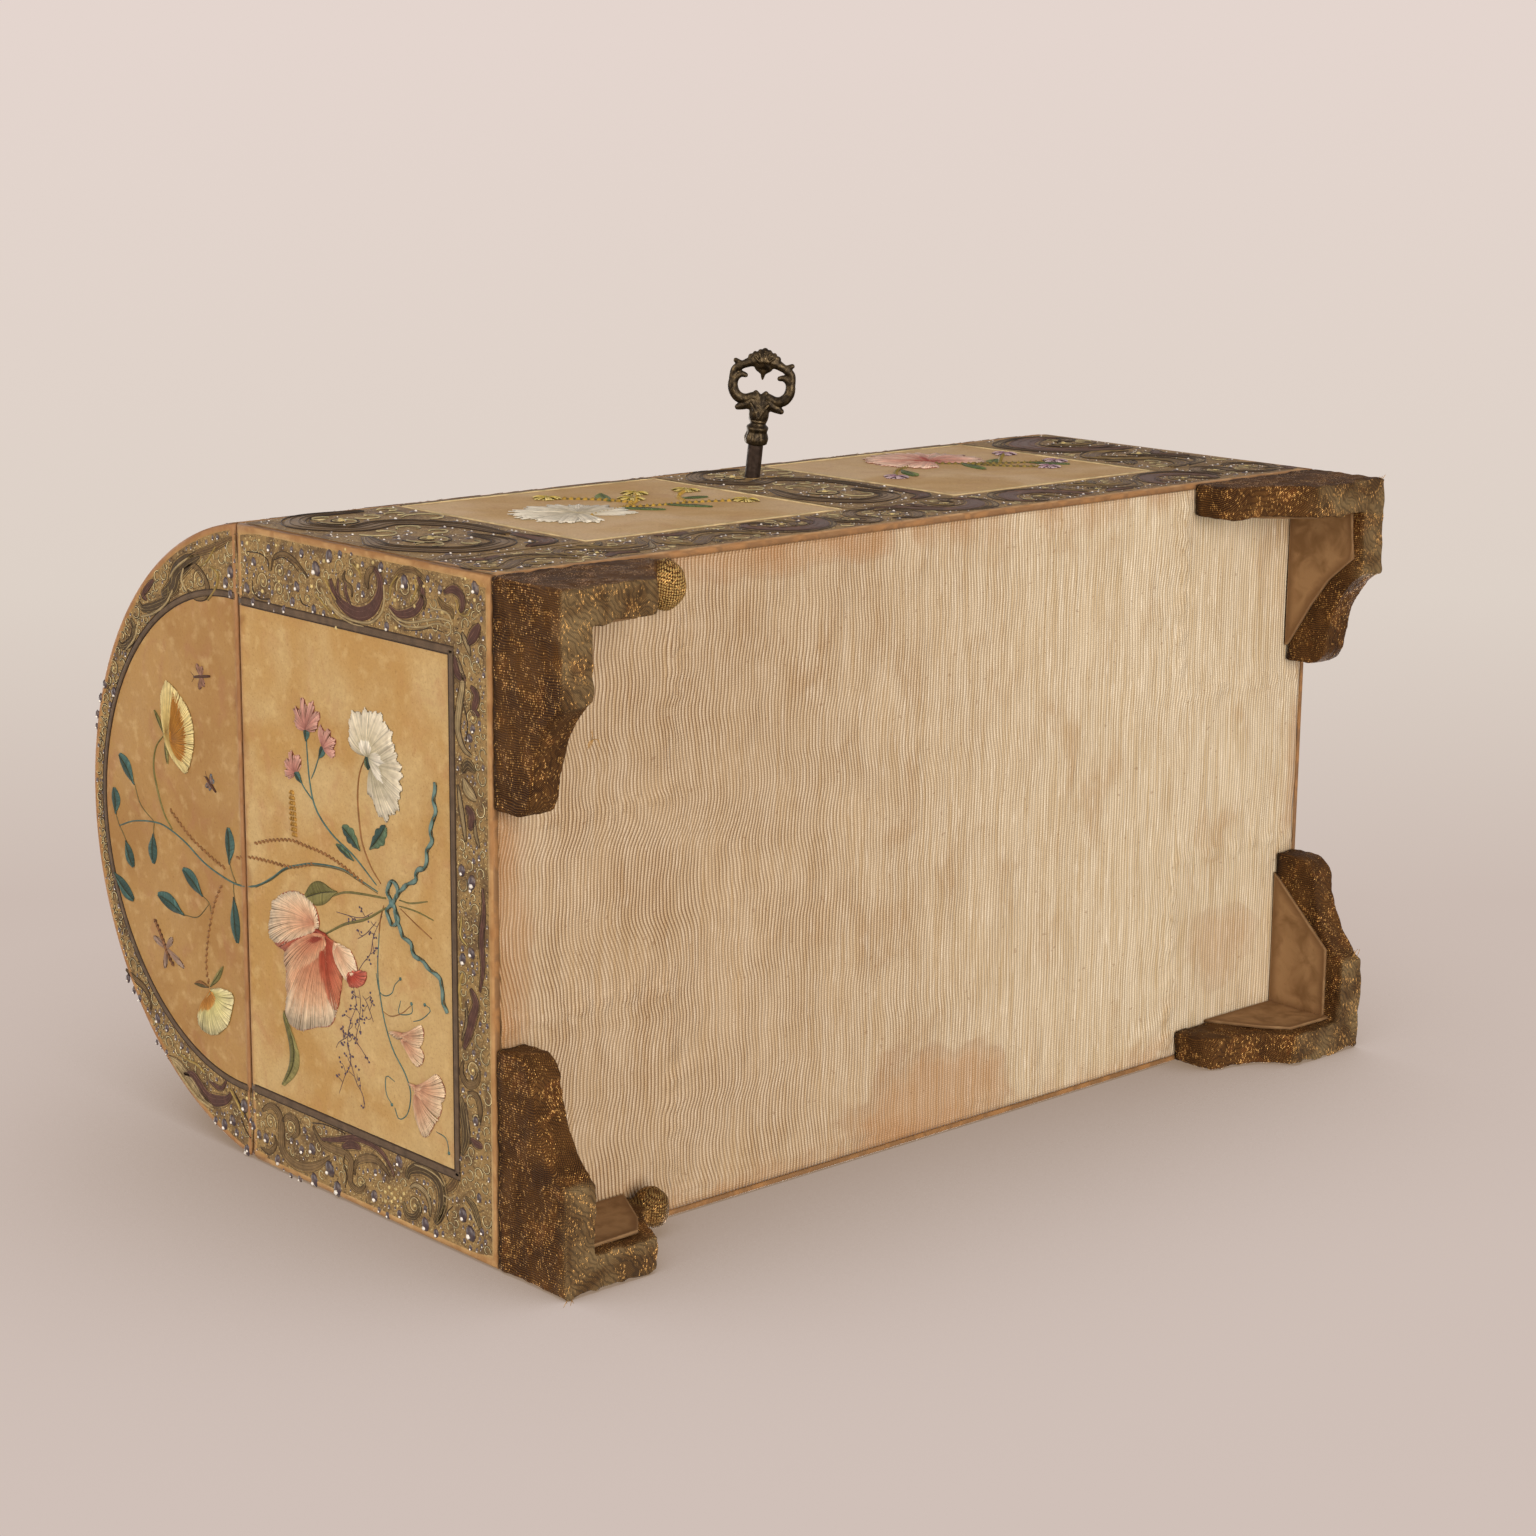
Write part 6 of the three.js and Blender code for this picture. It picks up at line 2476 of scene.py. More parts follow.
@dataclass
class Parchments:
    """The parchment on the sides, the dome and the lid's ends."""

    thickness: float = 1.6
    hem: float = 1.7
    hinge_inset: float = 1.2
    swing: float = 100.0
    clearance: float = 0.35

    def build(self) -> None:
        """Makes all of them."""
        for side, ground in (("front", SIZE.front()), ("back", SIZE.back())):
            made = self._flat(f"{side}_parchment", ground)
            if side == "front":
                Keyhole().cut(made)
        for side, sign in (("left", -1), ("right", 1)):
            ground = SIZE.end(sign)
            self._flat(f"{side}_end_parchment", ground)
            arch = arch_outline(SIZE.radius, SIZE.dome_middle - SIZE.bottom, SIZE.height + 0.25)
            node = f"lid_{side}_parchment"
            self._plate(node, ground, arch, "lid")
        low, high = (np.array(corner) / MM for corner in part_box("dome_parchment"))
        arc = SIZE.radius * math.acos((low[2] - SIZE.dome_middle) / SIZE.radius)
        self._plate(
            "dome_parchment",
            SIZE.vault(),
            rectangle((low[0], -arc), (high[0], arc), 9.0, 3.0),
            "lid",
            26,
        )

    def _flat(self, node: str, ground: Face) -> bpy.types.Object:
        """A rectangular panel of the box."""
        low, high = (np.array(corner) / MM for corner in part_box(node))
        wide = 0 if abs(ground.along[0]) else 1
        shift = 0.0 if wide == 0 else SIZE.middle_y
        outline = rectangle((low[wide] - shift, 0), (high[wide] - shift, high[2] - SIZE.bottom))
        return self._plate(node, ground, outline, "box")

    def _plate(
        self, node: str, ground: Ground, outline: np.ndarray, body: str, rings: int = 3
    ) -> bpy.types.Object:
        """One panel in place of its CAD node."""
        name = node.replace("parchment", "cover")
        finish = PARCHMENT
        if node == "front_parchment":
            finish = FRONT_PARCHMENT
        elif node.startswith("lid"):
            finish = LID_PARCHMENT
        given = (name, ground, outline, body, node, finish, "parchment", self.thickness)
        made = Plate(*given, hem=self.hem, rings=rings).build()
        self._bevel(made, -1 if body == "box" else 1)
        return made

    def _bevel(self, made: bpy.types.Object, side: int) -> None:
        """Slants the back edge at the seam like the boards' bevel, so that the open lid clears it.

        Args:
            made: a panel.
            side: 1 above the seam, -1 below it.
        """
        points = points_of(made)
        seam = SIZE.bottom + SIZE.height
        beyond = points[:, 1] - (SIZE.middle_y + SIZE.half_depth - self.hinge_inset)
        slant = math.radians(90.0 - self.swing / 2)
        limit = np.maximum(beyond * math.cos(slant) + self.clearance, 0) / math.sin(slant)
        height = np.maximum((points[:, 2] - seam) * side, limit)
        near = (beyond > -1.5) & (np.abs(points[:, 2] - seam) < 6.0)
        points[:, 2] = np.where(near, seam + side * height, points[:, 2])
        made.data.vertices.foreach_set("co", (points * MM).astype(np.float32).ravel())
        made.data.update()


@dataclass
class Keyhole:
    """The round hole and slot in the front parchment."""

    radius: float = 2.75
    slot_half: float = 1.25
    slot_reach: float = 6.7

    def cut(self, plate: bpy.types.Object) -> None:
        """Cuts the hole along the key's axis.

        Args:
            plate: the front parchment.
        """
        origin, axis = key_axis()
        turn = Vector((0, 0, 1)).rotation_difference(axis).to_matrix().to_4x4()
        down = Vector((0, 0, -1)) - axis * axis.dot(Vector((0, 0, -1)))
        slab = bpy.data.meshes.new("keyhole_slot")
        side = axis.cross(down.normalized())
        corners = [
            origin + side * a * self.slot_half * MM + down.normalized() * b * MM + axis * c * 8 * MM
            for c in (-1, 1)
            for b in (0, self.slot_reach)
            for a in (-1, 1)
        ]
        slab.from_pydata(
            corners,
            [],
            [(0, 1, 3, 2), (4, 6, 7, 5), (0, 4, 5, 1), (2, 3, 7, 6), (0, 2, 6, 4), (1, 5, 7, 3)],
        )
        rod = bpy.data.meshes.new("keyhole_rod")
        count = 28
        ring = [
            origin + turn @ Vector(
                (self.radius * MM * math.cos(a), self.radius * MM * math.sin(a), h * 8 * MM)
            )
            for h in (-1, 1)
            for a in np.linspace(0, math.tau, count, endpoint=False)
        ]
        sides = [(i, (i + 1) % count, count + (i + 1) % count, count + i) for i in range(count)]
        rod.from_pydata(
            ring, [], [*sides, tuple(range(count))[::-1], tuple(range(count, 2 * count))]
        )
        for mesh in (slab, rod):
            cutter = bpy.data.objects.new(mesh.name, mesh)
            bpy.context.scene.collection.objects.link(cutter)
            bpy.context.view_layer.objects.active = cutter
            cut = plate.modifiers.new("cut", "BOOLEAN")
            cut.object = cutter
            cut.solver = "EXACT"
            evaluated(plate)
            bpy.data.objects.remove(cutter)


def key_axis() -> tuple[Vector, Vector]:
    """The key's turning axis.

    Returns:
        Its place in metres and its direction out of the box.
    """
    joint = next(j for j in frame["record"]["behaviour"]["joints"] if j["name"] == "key_turn")
    return Vector(joint["pos_m"]), -Vector(joint["axis"]).normalized()


@dataclass
class Underside:
    """The ribbed silk stretched over the bottom, with puckers round the feet."""

    cell: float = 1.5
    cloth: float = 0.35
    reach: float = 0.75

    def build(self) -> None:
        low, high = (np.array(corner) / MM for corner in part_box("bottom_silk"))
        counts = [int((high[i] - low[i]) / self.cell) + 1 for i in (0, 1)]
        xs, ys = (np.linspace(low[i], high[i], counts[i]) for i in (0, 1))
        grid = np.stack(np.meshgrid(xs, ys, indexing="ij"), -1).reshape(-1, 2)
        half, middle = (high[:2] - low[:2]) / 2, (high[:2] + low[:2]) / 2
        edge = (half - np.abs(grid - middle)).min(1)
        height = self._relief(grid, edge)
        points = np.concatenate([grid, (low[2] + 0.3 - height)[:, None]], 1)
        first = (np.arange(counts[0] - 1)[:, None] * counts[1] + np.arange(counts[1] - 1)).ravel()
        quads = np.stack([first, first + 1, first + counts[1] + 1, first + counts[1]], -1)
        made = mesh_of("underside_silk", points, quads, {"edge": edge, "pull": self._pull(grid)})
        solid = made.modifiers.new("cloth", "SOLIDIFY")
        solid.thickness = self.cloth * MM
        solid.offset = -1
        solid.use_rim = True
        evaluated(made)
        settle(made, SILK, "box", "silk")
        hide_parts("bottom_silk")

    @staticmethod
    def _pull(grid: np.ndarray) -> np.ndarray:
        """How far the ribs are drawn aside where the cloth is tucked round the feet.

        Args:
            grid: the points, along X and Y.

        Returns:
            One shift for each point, in millimetres.
        """
        shift = np.zeros(len(grid))
        for sign_x in (-1, 1):
            for corner_y, sign_y in ((-70.0, -1), (107.6, 1)):
                away = grid - [sign_x * 131.0, corner_y - sign_y * 28.0]
                gap = np.linalg.norm(np.maximum(np.abs(away) - [27.0, 28.0], 0), axis=1)
                fade = gap / 9.0 * np.exp(1 - gap / 9.0)
                shift += fade * 1.0 * np.sin(away[:, 1] / 7.0 + sign_x)
        return shift

    def _relief(self, grid: np.ndarray, edge: np.ndarray) -> np.ndarray:
        """How far the cloth stands off its board.

        Args:
            grid: the points, along X and Y.
            edge: their distances from the cloth's edge.

        Returns:
            The heights, in millimetres.
        """
        height = 0.11 * ripples(grid * [1.0, 0.45], 22.0, 3) + 0.05 * ripples(
            grid * [1, 0.3], 7.0, 4
        )
        for sign_x in (-1, 1):
            for corner_y, sign_y in ((-70.0, -1), (107.6, 1)):
                spot = np.array([sign_x * 131.0, corner_y - sign_y * 30.0])
                away = grid - spot
                box = np.maximum(np.abs(away) - [27.0, 30.0], 0)
                gap = np.linalg.norm(box, axis=1)
                angle = np.arctan2(away[:, 1], away[:, 0])
                folds = np.cos(angle * 23 + 1.7 * np.sin(angle * 5)) ** 3
                height += 0.5 * folds * np.exp(-gap / 9.0) * np.clip(gap / 2.0, 0, 1)
                height += 0.35 * np.exp(-(((gap - 3.0) / 1.4) ** 2))
        tuck = np.exp(-(((edge - 5.0) / 1.3) ** 2)) * (0.6 + 0.4 * ripples(grid, 30.0, 9))
        height += 0.28 * tuck
        return np.clip(height, -0.15, self.reach) * np.clip(edge / 1.5, 0, 1)


@dataclass
class Linings:
    """The silk that lines the box and the lid."""

    cloth: float = 0.5

    def build(self) -> None:
        faces = {
            "lining_floor": ((1, 0, 0), (0, 1, 0), (0, 0, 1)),
            "lining_front": ((1, 0, 0), (0, 0, 1), (0, 1, 0)),
            "lining_back": ((1, 0, 0), (0, 0, 1), (0, -1, 0)),
            "lining_left": ((0, 1, 0), (0, 0, 1), (1, 0, 0)),
            "lining_right": ((0, 1, 0), (0, 0, 1), (-1, 0, 0)),
            "lid_lining_left": ((0, 1, 0), (0, 0, 1), (1, 0, 0)),
            "lid_lining_right": ((0, 1, 0), (0, 0, 1), (-1, 0, 0)),
        }
        for node, (along, across, out) in faces.items():
            low, high = (np.array(corner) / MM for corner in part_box(node))
            middle, half = (low + high) / 2, (high - low) / 2
            origin = middle + np.array(out) * np.abs(half @ np.array(out))
            ground = Face(tuple(origin), along, across, out)
            a, b = abs(half @ np.array(along)), abs(half @ np.array(across))
            outline = rectangle((-a, -b), (a, b))
            if node.startswith("lid"):
                circle = high[2] - SIZE.dome_middle
                outline = arch_outline(circle, SIZE.dome_middle - middle[2], -b, 4.0)
                outline = outline[np.abs(outline[:, 0]) <= a + 0.01]
            self._sheet(node, ground, outline, "lid" if node.startswith("lid") else "box")
        low, high = (np.array(corner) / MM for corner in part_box("lid_lining"))
        radius = high[2] - SIZE.dome_middle
        arc = (radius - 0.9) * math.asin((high[1] - low[1]) / 2 / radius) * 0.995
        inside = Hollow(radius - 0.9, SIZE.middle_y, SIZE.dome_middle)
        self._sheet(
            "lid_lining", inside, rectangle((low[0], -arc), (high[0], arc), 9.0, 4.0), "lid"
        )

    def _sheet(self, node: str, ground: Ground, outline: np.ndarray, body: str) -> None:
        """One lining.

        Args:
            node: its CAD node.
            ground: the surface that it shows.
            outline: its outline there.
            body: the CAD body.
        """
        name = node + "_silk"
        made = Plate(
            name, ground, outline, body, node, LINING, "lining", self.cloth, 0.15, ripple=0.12,
            level=-0.05, rings=16
        ).build()
        size = np.ptp(outline, axis=0) * MM
        following = np.roll(outline, -1, axis=0)
        area = abs(
            np.sum(outline[:, 0] * following[:, 1] - outline[:, 1] * following[:, 0])
        ) / 2 * MM**2
        flat = (float(size[0]), float(size[1]))
        area = min(float(area), flat[0] * flat[1])


@dataclass(frozen=True)
class Hollow(Vault):
    """The inside of the dome: out of it runs towards the axis."""

    @property
    def flipped(self) -> bool:
        """Out runs the other way than on the dome."""
        return True

    def place(self, flat: np.ndarray) -> np.ndarray:
        """Rolls the points round, with heights towards the axis."""
        angle = flat[:, 1] / self.radius
        reach = self.radius - flat[:, 2]
        y = self.middle_y + reach * np.sin(angle)
        z = self.middle_z + reach * np.cos(angle)
        return np.stack([flat[:, 0], y, z], -1)


# ---- Feet


def merged_copy(name: str, *nodes: str) -> bpy.types.Object:
    """Joins copies of CAD nodes into one mesh without doubles.

    Args:
        name: the new object's name.
        nodes: the CAD nodes.

    Returns:
        The object, at the origin.
    """
    shape = bmesh.new()
    for node in nodes:
        source = frame["nodes"][node]
        copy = source.data.copy()
        copy.transform(source.matrix_world)
        shape.from_mesh(copy)
    bmesh.ops.remove_doubles(shape, verts=shape.verts[:], dist=1e-6)
    mesh = bpy.data.meshes.new(name)
    shape.to_mesh(mesh)
    shape.free()
    mesh.materials.clear()
    made = bpy.data.objects.new(name, mesh)
    bpy.context.scene.collection.objects.link(made)
    return made


def points_of(made: bpy.types.Object) -> np.ndarray:
    """The points of a mesh, in millimetres."""
    flat = np.zeros(len(made.data.vertices) * 3, np.float32)
    made.data.vertices.foreach_get("co", flat)
    return flat.reshape(-1, 3).astype(float) / MM


def normals_of(made: bpy.types.Object) -> np.ndarray:
    """The normals at the points of a mesh."""
    flat = np.zeros(len(made.data.vertices) * 3, np.float32)
    made.data.vertex_normals.foreach_get("vector", flat)
    return flat.reshape(-1, 3).astype(float)


@dataclass
class Foot:
    """One bracket foot, covered with lame that is drawn round its corners."""

    row: str
    side: str
    voxel: float = 0.55
    rounds: int = 5
    crease: float = 0.2

    LOBES = {
        ("front", "left"): ((-109.0, -64.4, 21.8), (5.2, 6.6, 5.4)),
        ("back", "left"): ((-114.0, 101.4, 21.8), (4.8, 5.6, 5.2)),
    }
    # In millimetres: the side bracket thins from THIN_FROM before the lobe's middle, over
    # THIN_OVER, and what lies past CUT_FROM before it is drawn back, by CUT_MOST at most.
    WALL = 12
    THINNING = 0.45
    THIN_FROM = 15.0
    THIN_OVER = 9.0
    CUT_FROM = 3.0
    CUT_MOST = 14
    MARGIN = 0.05

    def build(self) -> None:
        """Makes the cloth-covered foot in place of its two brackets."""
        stem = f"{self.row}_{self.side}"
        nodes = (f"{stem}_side_bracket", f"{stem}_end_bracket")
        made = merged_copy(f"{stem}_foot", *nodes)
        if (self.row, self.side) in self.LOBES:
            self._lobe(made)
        remesh = made.modifiers.new("remesh", "REMESH")
        remesh.mode = "VOXEL"
        remesh.voxel_size = self.voxel * MM
        soften = made.modifiers.new("soften", "SMOOTH")
        soften.iterations = self.rounds
        soften.factor = 0.5
        evaluated(made)
        self._crumple(made)
        settle(made, LAME, "box", "lame")
        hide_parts(*nodes)

    def _lobe(self, made: bpy.types.Object) -> None:
        """Thins the end of the side bracket and adds the round lobe of gold cloth there.

        Args:
            made: the merged brackets.
        """
        middle, radii = self.LOBES[self.row, self.side]
        points = points_of(made)
        wall = np.abs(points[:, 1] - SIZE.middle_y) > SIZE.half_depth - self.WALL
        share = np.clip((points[:, 0] - middle[0] + self.THIN_FROM) / self.THIN_OVER, 0, 1) * wall
        points[:, 2] = FOOT_HEIGHT - (FOOT_HEIGHT - points[:, 2]) * (1 - self.THINNING * share)
        points[:, 0] -= np.clip(points[:, 0] - middle[0] + self.CUT_FROM, 0, self.CUT_MOST) * wall
        made.data.vertices.foreach_set("co", (points * MM).astype(np.float32).ravel())
        shape = bmesh.new()
        shape.from_mesh(made.data)
        stand = Matrix.Translation(Vector(middle) * MM) @ Matrix.Diagonal((*radii, 1.0))
        bmesh.ops.create_icosphere(shape, subdivisions=4, radius=MM, matrix=stand)
        shape.to_mesh(made.data)
        shape.free()

    def _crumple(self, made: bpy.types.Object) -> None:
        """Gives the cloth creases, and marks where it is worn or bright.

        Args:
            made: the softened foot.
        """
        points, normals = points_of(made), normals_of(made)
        seed = 40 + 2 * (self.row == "back") + (self.side == "right")
        folds = ripples(points * [1, 1, 0.5], 9.0, seed) * 0.6 + ripples(
            points, 3.2, seed + 9
        ) * 0.35
        folds += np.maximum(ripples(points * [1, 1, 2.2], 14.0, seed + 5), 0) * 0.5
        low = np.clip((6.0 - points[:, 2]) / 6.0, 0, 1)
        points += normals * (self.crease * folds * (1 + low))[:, None]
        points[:, 2] = np.clip(points[:, 2], self.MARGIN, FOOT_HEIGHT - self.MARGIN)
        made.data.vertices.foreach_set("co", (points * MM).astype(np.float32).ravel())
        made.data.update()
        sole = np.clip((1.8 - points[:, 2]) / 1.2, 0, 1) * np.clip(-normals[:, 2] * 1.6, 0.3, 1)
        rubbed = np.clip(ripples(points, 12.0, seed + 3) * 0.5, 0, 0.5) * np.clip(
            (5 - points[:, 2]) / 5, 0, 1
        )
        give_attribute(made.data, "wear", np.clip(sole + rubbed, 0, 1))
        bright = np.zeros(len(points))
        if (self.row, self.side) in self.LOBES:
            middle, radii = self.LOBES[self.row, self.side]
            away = (points - middle) / radii
            share = 1.0 if self.row == "front" else 0.35
            bright = np.clip((1.45 - np.linalg.norm(away, axis=1)) * 2.4, 0, 1) * share
        give_attribute(made.data, "bright", bright)


@dataclass
class FootCard:
    """The folded card inside a foot: two cut panels that meet in the corner."""

    row: str
    side: str
    thickness: float = 0.9

    FRONT_END = (
        (0, 27.8), (0, 4.5), (14.6, 3.2), (22.2, 12), (31, 18.5), (44.4, 26.8), (44.6, 27.8)
    )
    FRONT_SIDE = ((0, 27.8), (0, 4.6), (18, 5.2), (30, 16), (34, 27.8))
    BACK_END = ((0, 27.8), (0, 6.2), (22.3, 6.3), (43.2, 27.8))
    BACK_SIDE = ((0, 27.8), (0, 4.4), (18.2, 5.0), (24, 12), (32.4, 27.8))

    def build(self) -> None:
        """Makes the card in place of its CAD node."""
        across = 1 if self.side == "right" else -1
        inward = 1 if self.row == "front" else -1
        corner = (across * 150.45, SIZE.middle_y - inward * (SIZE.half_depth - 9.55), 0.0)
        end = Face(corner, (0, inward, 0), (0, 0, 1), (-across, 0, 0))
        side = Face(corner, (-across, 0, 0), (0, 0, 1), (0, inward, 0))
        shapes = (
            (end, self.FRONT_END if self.row == "front" else self.BACK_END),
            (side, self.FRONT_SIDE if self.row == "front" else self.BACK_SIDE),
        )
        node = f"{self.row}_{self.side}_facing"
        solids = [self._panel(node, ground, corners).solid() for ground, corners in shapes]
        starts = np.cumsum([0] + [len(solid[0]) for solid in solids])
        faces = [
            tuple(i + start for i in face)
            for solid, start in zip(solids, starts)
            for face in solid[1]
        ]
        mesh = bpy.data.meshes.new(f"{self.row}_{self.side}_card")
        mesh.from_pydata((np.concatenate([solid[0] for solid in solids]) * MM).tolist(), [], faces)
        give_attribute(mesh, "edge", np.concatenate([solid[2] for solid in solids]))
        mesh.shade_smooth()
        made = bpy.data.objects.new(mesh.name, mesh)
        bpy.context.scene.collection.objects.link(made)
        settle(made, CARD, "box", "card")
        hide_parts(node)

    def _panel(self, node: str, ground: Face, corners: Sequence[Spot]) -> Plate:
        """One panel of the card."""
        points = np.array(corners, float)
        outline = smooth_line([corners[0], corners[1]], 3.0)[:-1].tolist()
        for start, end in zip(points[1:], np.roll(points, -1, axis=0)[1:]):
            count = max(2, int(np.linalg.norm(end - start) / 3.0))
            outline += (start + np.arange(count)[:, None] / count * (end - start)).tolist()
        turned = np.array(outline)
        area = np.sum(
            turned[:, 0] * np.roll(turned[:, 1], -1) - np.roll(turned[:, 0], -1) * turned[:, 1]
        )
        turned = turned if area > 0 else turned[::-1]
        return Plate(
            node, ground, turned, "box", node, CARD, "card", self.thickness, 0.2, ripple=0.25,
            wave=30.0,
            level=self.thickness + 0.1, rings=5,
        )


@dataclass
class FrayedThreads:
    """Loose ends of cloth at the feet's corners and round the keyhole."""

    seed: int = 81

    TUFTS = (
        (-150.0, -33.5, 7, 3.6), (-158.0, 108.0, 9, 4.0), (158.6, -70.2, 6, 3.0),
        (158.0, 80.0, 7, 3.2),
    )

    def sew(self) -> None:
        """Sews the tufts on the soles' level and the pulled threads on the front."""
        sole = Needlework(Face((0, 0, 1.4), (1, 0, 0), (0, 1, 0), (0, 0, -1)), "box", self.seed)
        for x, y, count, reach in self.TUFTS:
            for _ in range(count):
                heading = sole.rng.uniform(0, math.tau)
                self._wisp(
                    sole,
                    np.array([x, y]),
                    heading,
                    reach * sole.rng.uniform(0.5, 1.0),
                    "a8824c",
                    0.6,
                )
        sole.build("foot_frays")
        front = Needlework(SIZE.front(), "box", self.seed + 1)
        for _ in range(46):
            heading = front.rng.uniform(0, math.tau)
            away = np.array([math.cos(heading), math.sin(heading)])
            start = np.array([9.9, 92.4]) + away * front.rng.uniform(3.0, 5.0)
            self._wisp(
                front,
                start,
                heading + front.rng.normal(0, 0.9),
                front.rng.uniform(2.0, 6.0),
                "b0905a",
                0.35,
            )
        front.build("keyhole_frays")

    @staticmethod
    def _wisp(
        work: Needlework, start: np.ndarray, heading: float, reach: float, color: str, lift: float
    ) -> None:
        """One curling thread end."""
        bend = heading + work.rng.normal(0, 0.8)
        middle = start + reach * 0.55 * np.array([math.cos(heading), math.sin(heading)])
        end = middle + reach * 0.5 * np.array([math.cos(bend), math.sin(bend)])
        work.thread([start, middle, end], 0.24, color, lift * work.rng.uniform(0.1, 1.0), 0.6)


# ---- Key and fittings


@dataclass
class Key:
    """The key's bow of scrolls and shell, and its ribbed collar."""

    voxel: float = 0.2
    flat: float = 0.85

    LOBE = (
        (2.2, 24.6, 1.5), (4.6, 23.7, 1.6), (6.8, 24.2, 1.7), (8.2, 26, 1.65), (8.6, 28.2, 1.55),
        (7.9, 30, 1.3), (6.5, 31, 1.05), (5.1, 30.8, 0.8),
    )
    ARM = ((1.6, 35.6, 1.8), (4.2, 34.8, 1.5), (6.4, 33.9, 1.2), (8.4, 34.9, 0.8))
    LINK = ((6.6, 33.6, 1.3), (8.3, 32.4, 1.25), (8.7, 30.4, 1.3), (8.5, 28.5, 1.5))
    CUSP = (
        (0.0, 35.2, 2.2), (1.5, 34.0, 1.5), (0.8, 33.0, 1.2), (0.0, 31.9, 0.8), (0.0, 30.2, 0.4)
    )
    PEAK = ((0.0, 22.0, 1.9), (0.8, 24.2, 1.5), (1.5, 25.9, 0.8))
    HORN = ((2.6, 22.8, 1.9), (4.8, 21.8, 1.5), (6.5, 21.0, 0.95))
    STEM = ((0.0, 17.2, 2.5), (0.0, 20.0, 3.2), (0.0, 22.6, 2.2))
    HIP = ((1.2, 21.0, 1.8), (2.6, 22.6, 2.0))
    CROWN = (
        (0.0, 36.9, 2.3), (2.2, 36.6, 1.7), (3.9, 36.4, 1.1), (1.3, 38.2, 0.9), (0.0, 38.6, 1.0),
        (2.9, 37.6, 0.75),
    )
    RIBS = (((0.0, 35.6), (0.0, 38.2)), ((0.7, 35.6), (1.5, 37.9)), ((1.3, 35.5), (3.0, 37.0)))
    VEINS = ((2.6, 22.8), (1.2, 20.8), (0.0, 18.6))

    def build(self) -> None:
        """Makes the bow and the collar in place of their CAD nodes."""
        origin, axis = key_axis()
        cloud = points_of(merged_copy("key_bow_copy", "key_bow")) * MM - np.array(origin)
        bpy.data.objects.remove(bpy.data.objects["key_bow_copy"])
        flat = cloud - np.outer(cloud @ np.array(axis), np.array(axis))
        spread, headings = np.linalg.eigh(flat.T @ flat)
        across = Vector(headings[:, 2])
        across = (across - axis * axis.dot(across)).normalized()
        self.origin, self.axis, self.across = origin / MM, axis, across
        self.normal = axis.cross(across)
        self._bow()
        self._collar()

    def _at(self, u: float, length: float, out: float = 0.0) -> Vector:
        """A point by its place across the bow, along the key and out of the bow's plane."""
        return self.origin + self.across * u + self.axis * length + self.normal * out

    def _bow(self) -> None:
        """Sweeps the bars, merges them and softens the whole."""
        shape = bmesh.new()
        for sign in (-1, 1):
            for line in (
                self.LOBE, self.ARM, self.LINK, self.CUSP, self.PEAK, self.HORN, self.STEM, self.HIP
            ):
                for u, length, radius in smooth_line(line, 0.35):
                    self._bead(shape, sign * u, length, 0.0, radius)
            for u, length, radius in self.CROWN:
                self._bead(shape, sign * u, length, 0.0, radius)
            for face in (-1, 1):
                for line in self.RIBS:
                    for u, length in smooth_line(line, 0.3):
                        self._bead(shape, sign * u, length, face * 1.85, 0.34)
                for u, length in smooth_line(self.VEINS, 0.3):
                    self._bead(shape, sign * u, length, face * (2.6 - 0.3 * u), 0.46)
        mesh = bpy.data.meshes.new("key_scroll_bow")
        shape.to_mesh(mesh)
        shape.free()
        made = bpy.data.objects.new("key_scroll_bow", mesh)
        bpy.context.scene.collection.objects.link(made)
        remesh = made.modifiers.new("remesh", "REMESH")
        remesh.mode = "VOXEL"
        remesh.voxel_size = self.voxel * MM
        soften = made.modifiers.new("soften", "SMOOTH")
        soften.iterations = 2
        evaluated(made)
        made.data.shade_smooth()
        settle(made, BRONZE, "key", "bronze")
        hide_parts("key_bow")

    def _bead(
        self, shape: bmesh.types.BMesh, u: float, length: float, out: float, radius: float
    ) -> None:
        """Adds one round of a bar, a little flat.

        Args:
            shape: the mesh.
            u: its place across the bow.
            length: its place along the key.
            out: its place out of the bow's plane.
            radius: its radius.
        """
        turn = Matrix((self.across, self.axis, self.normal * self.flat)).transposed().to_4x4()
        stand = Matrix.Translation(self._at(u, length, out) * MM) @ turn
        bmesh.ops.create_icosphere(shape, subdivisions=2, radius=radius * MM, matrix=stand)

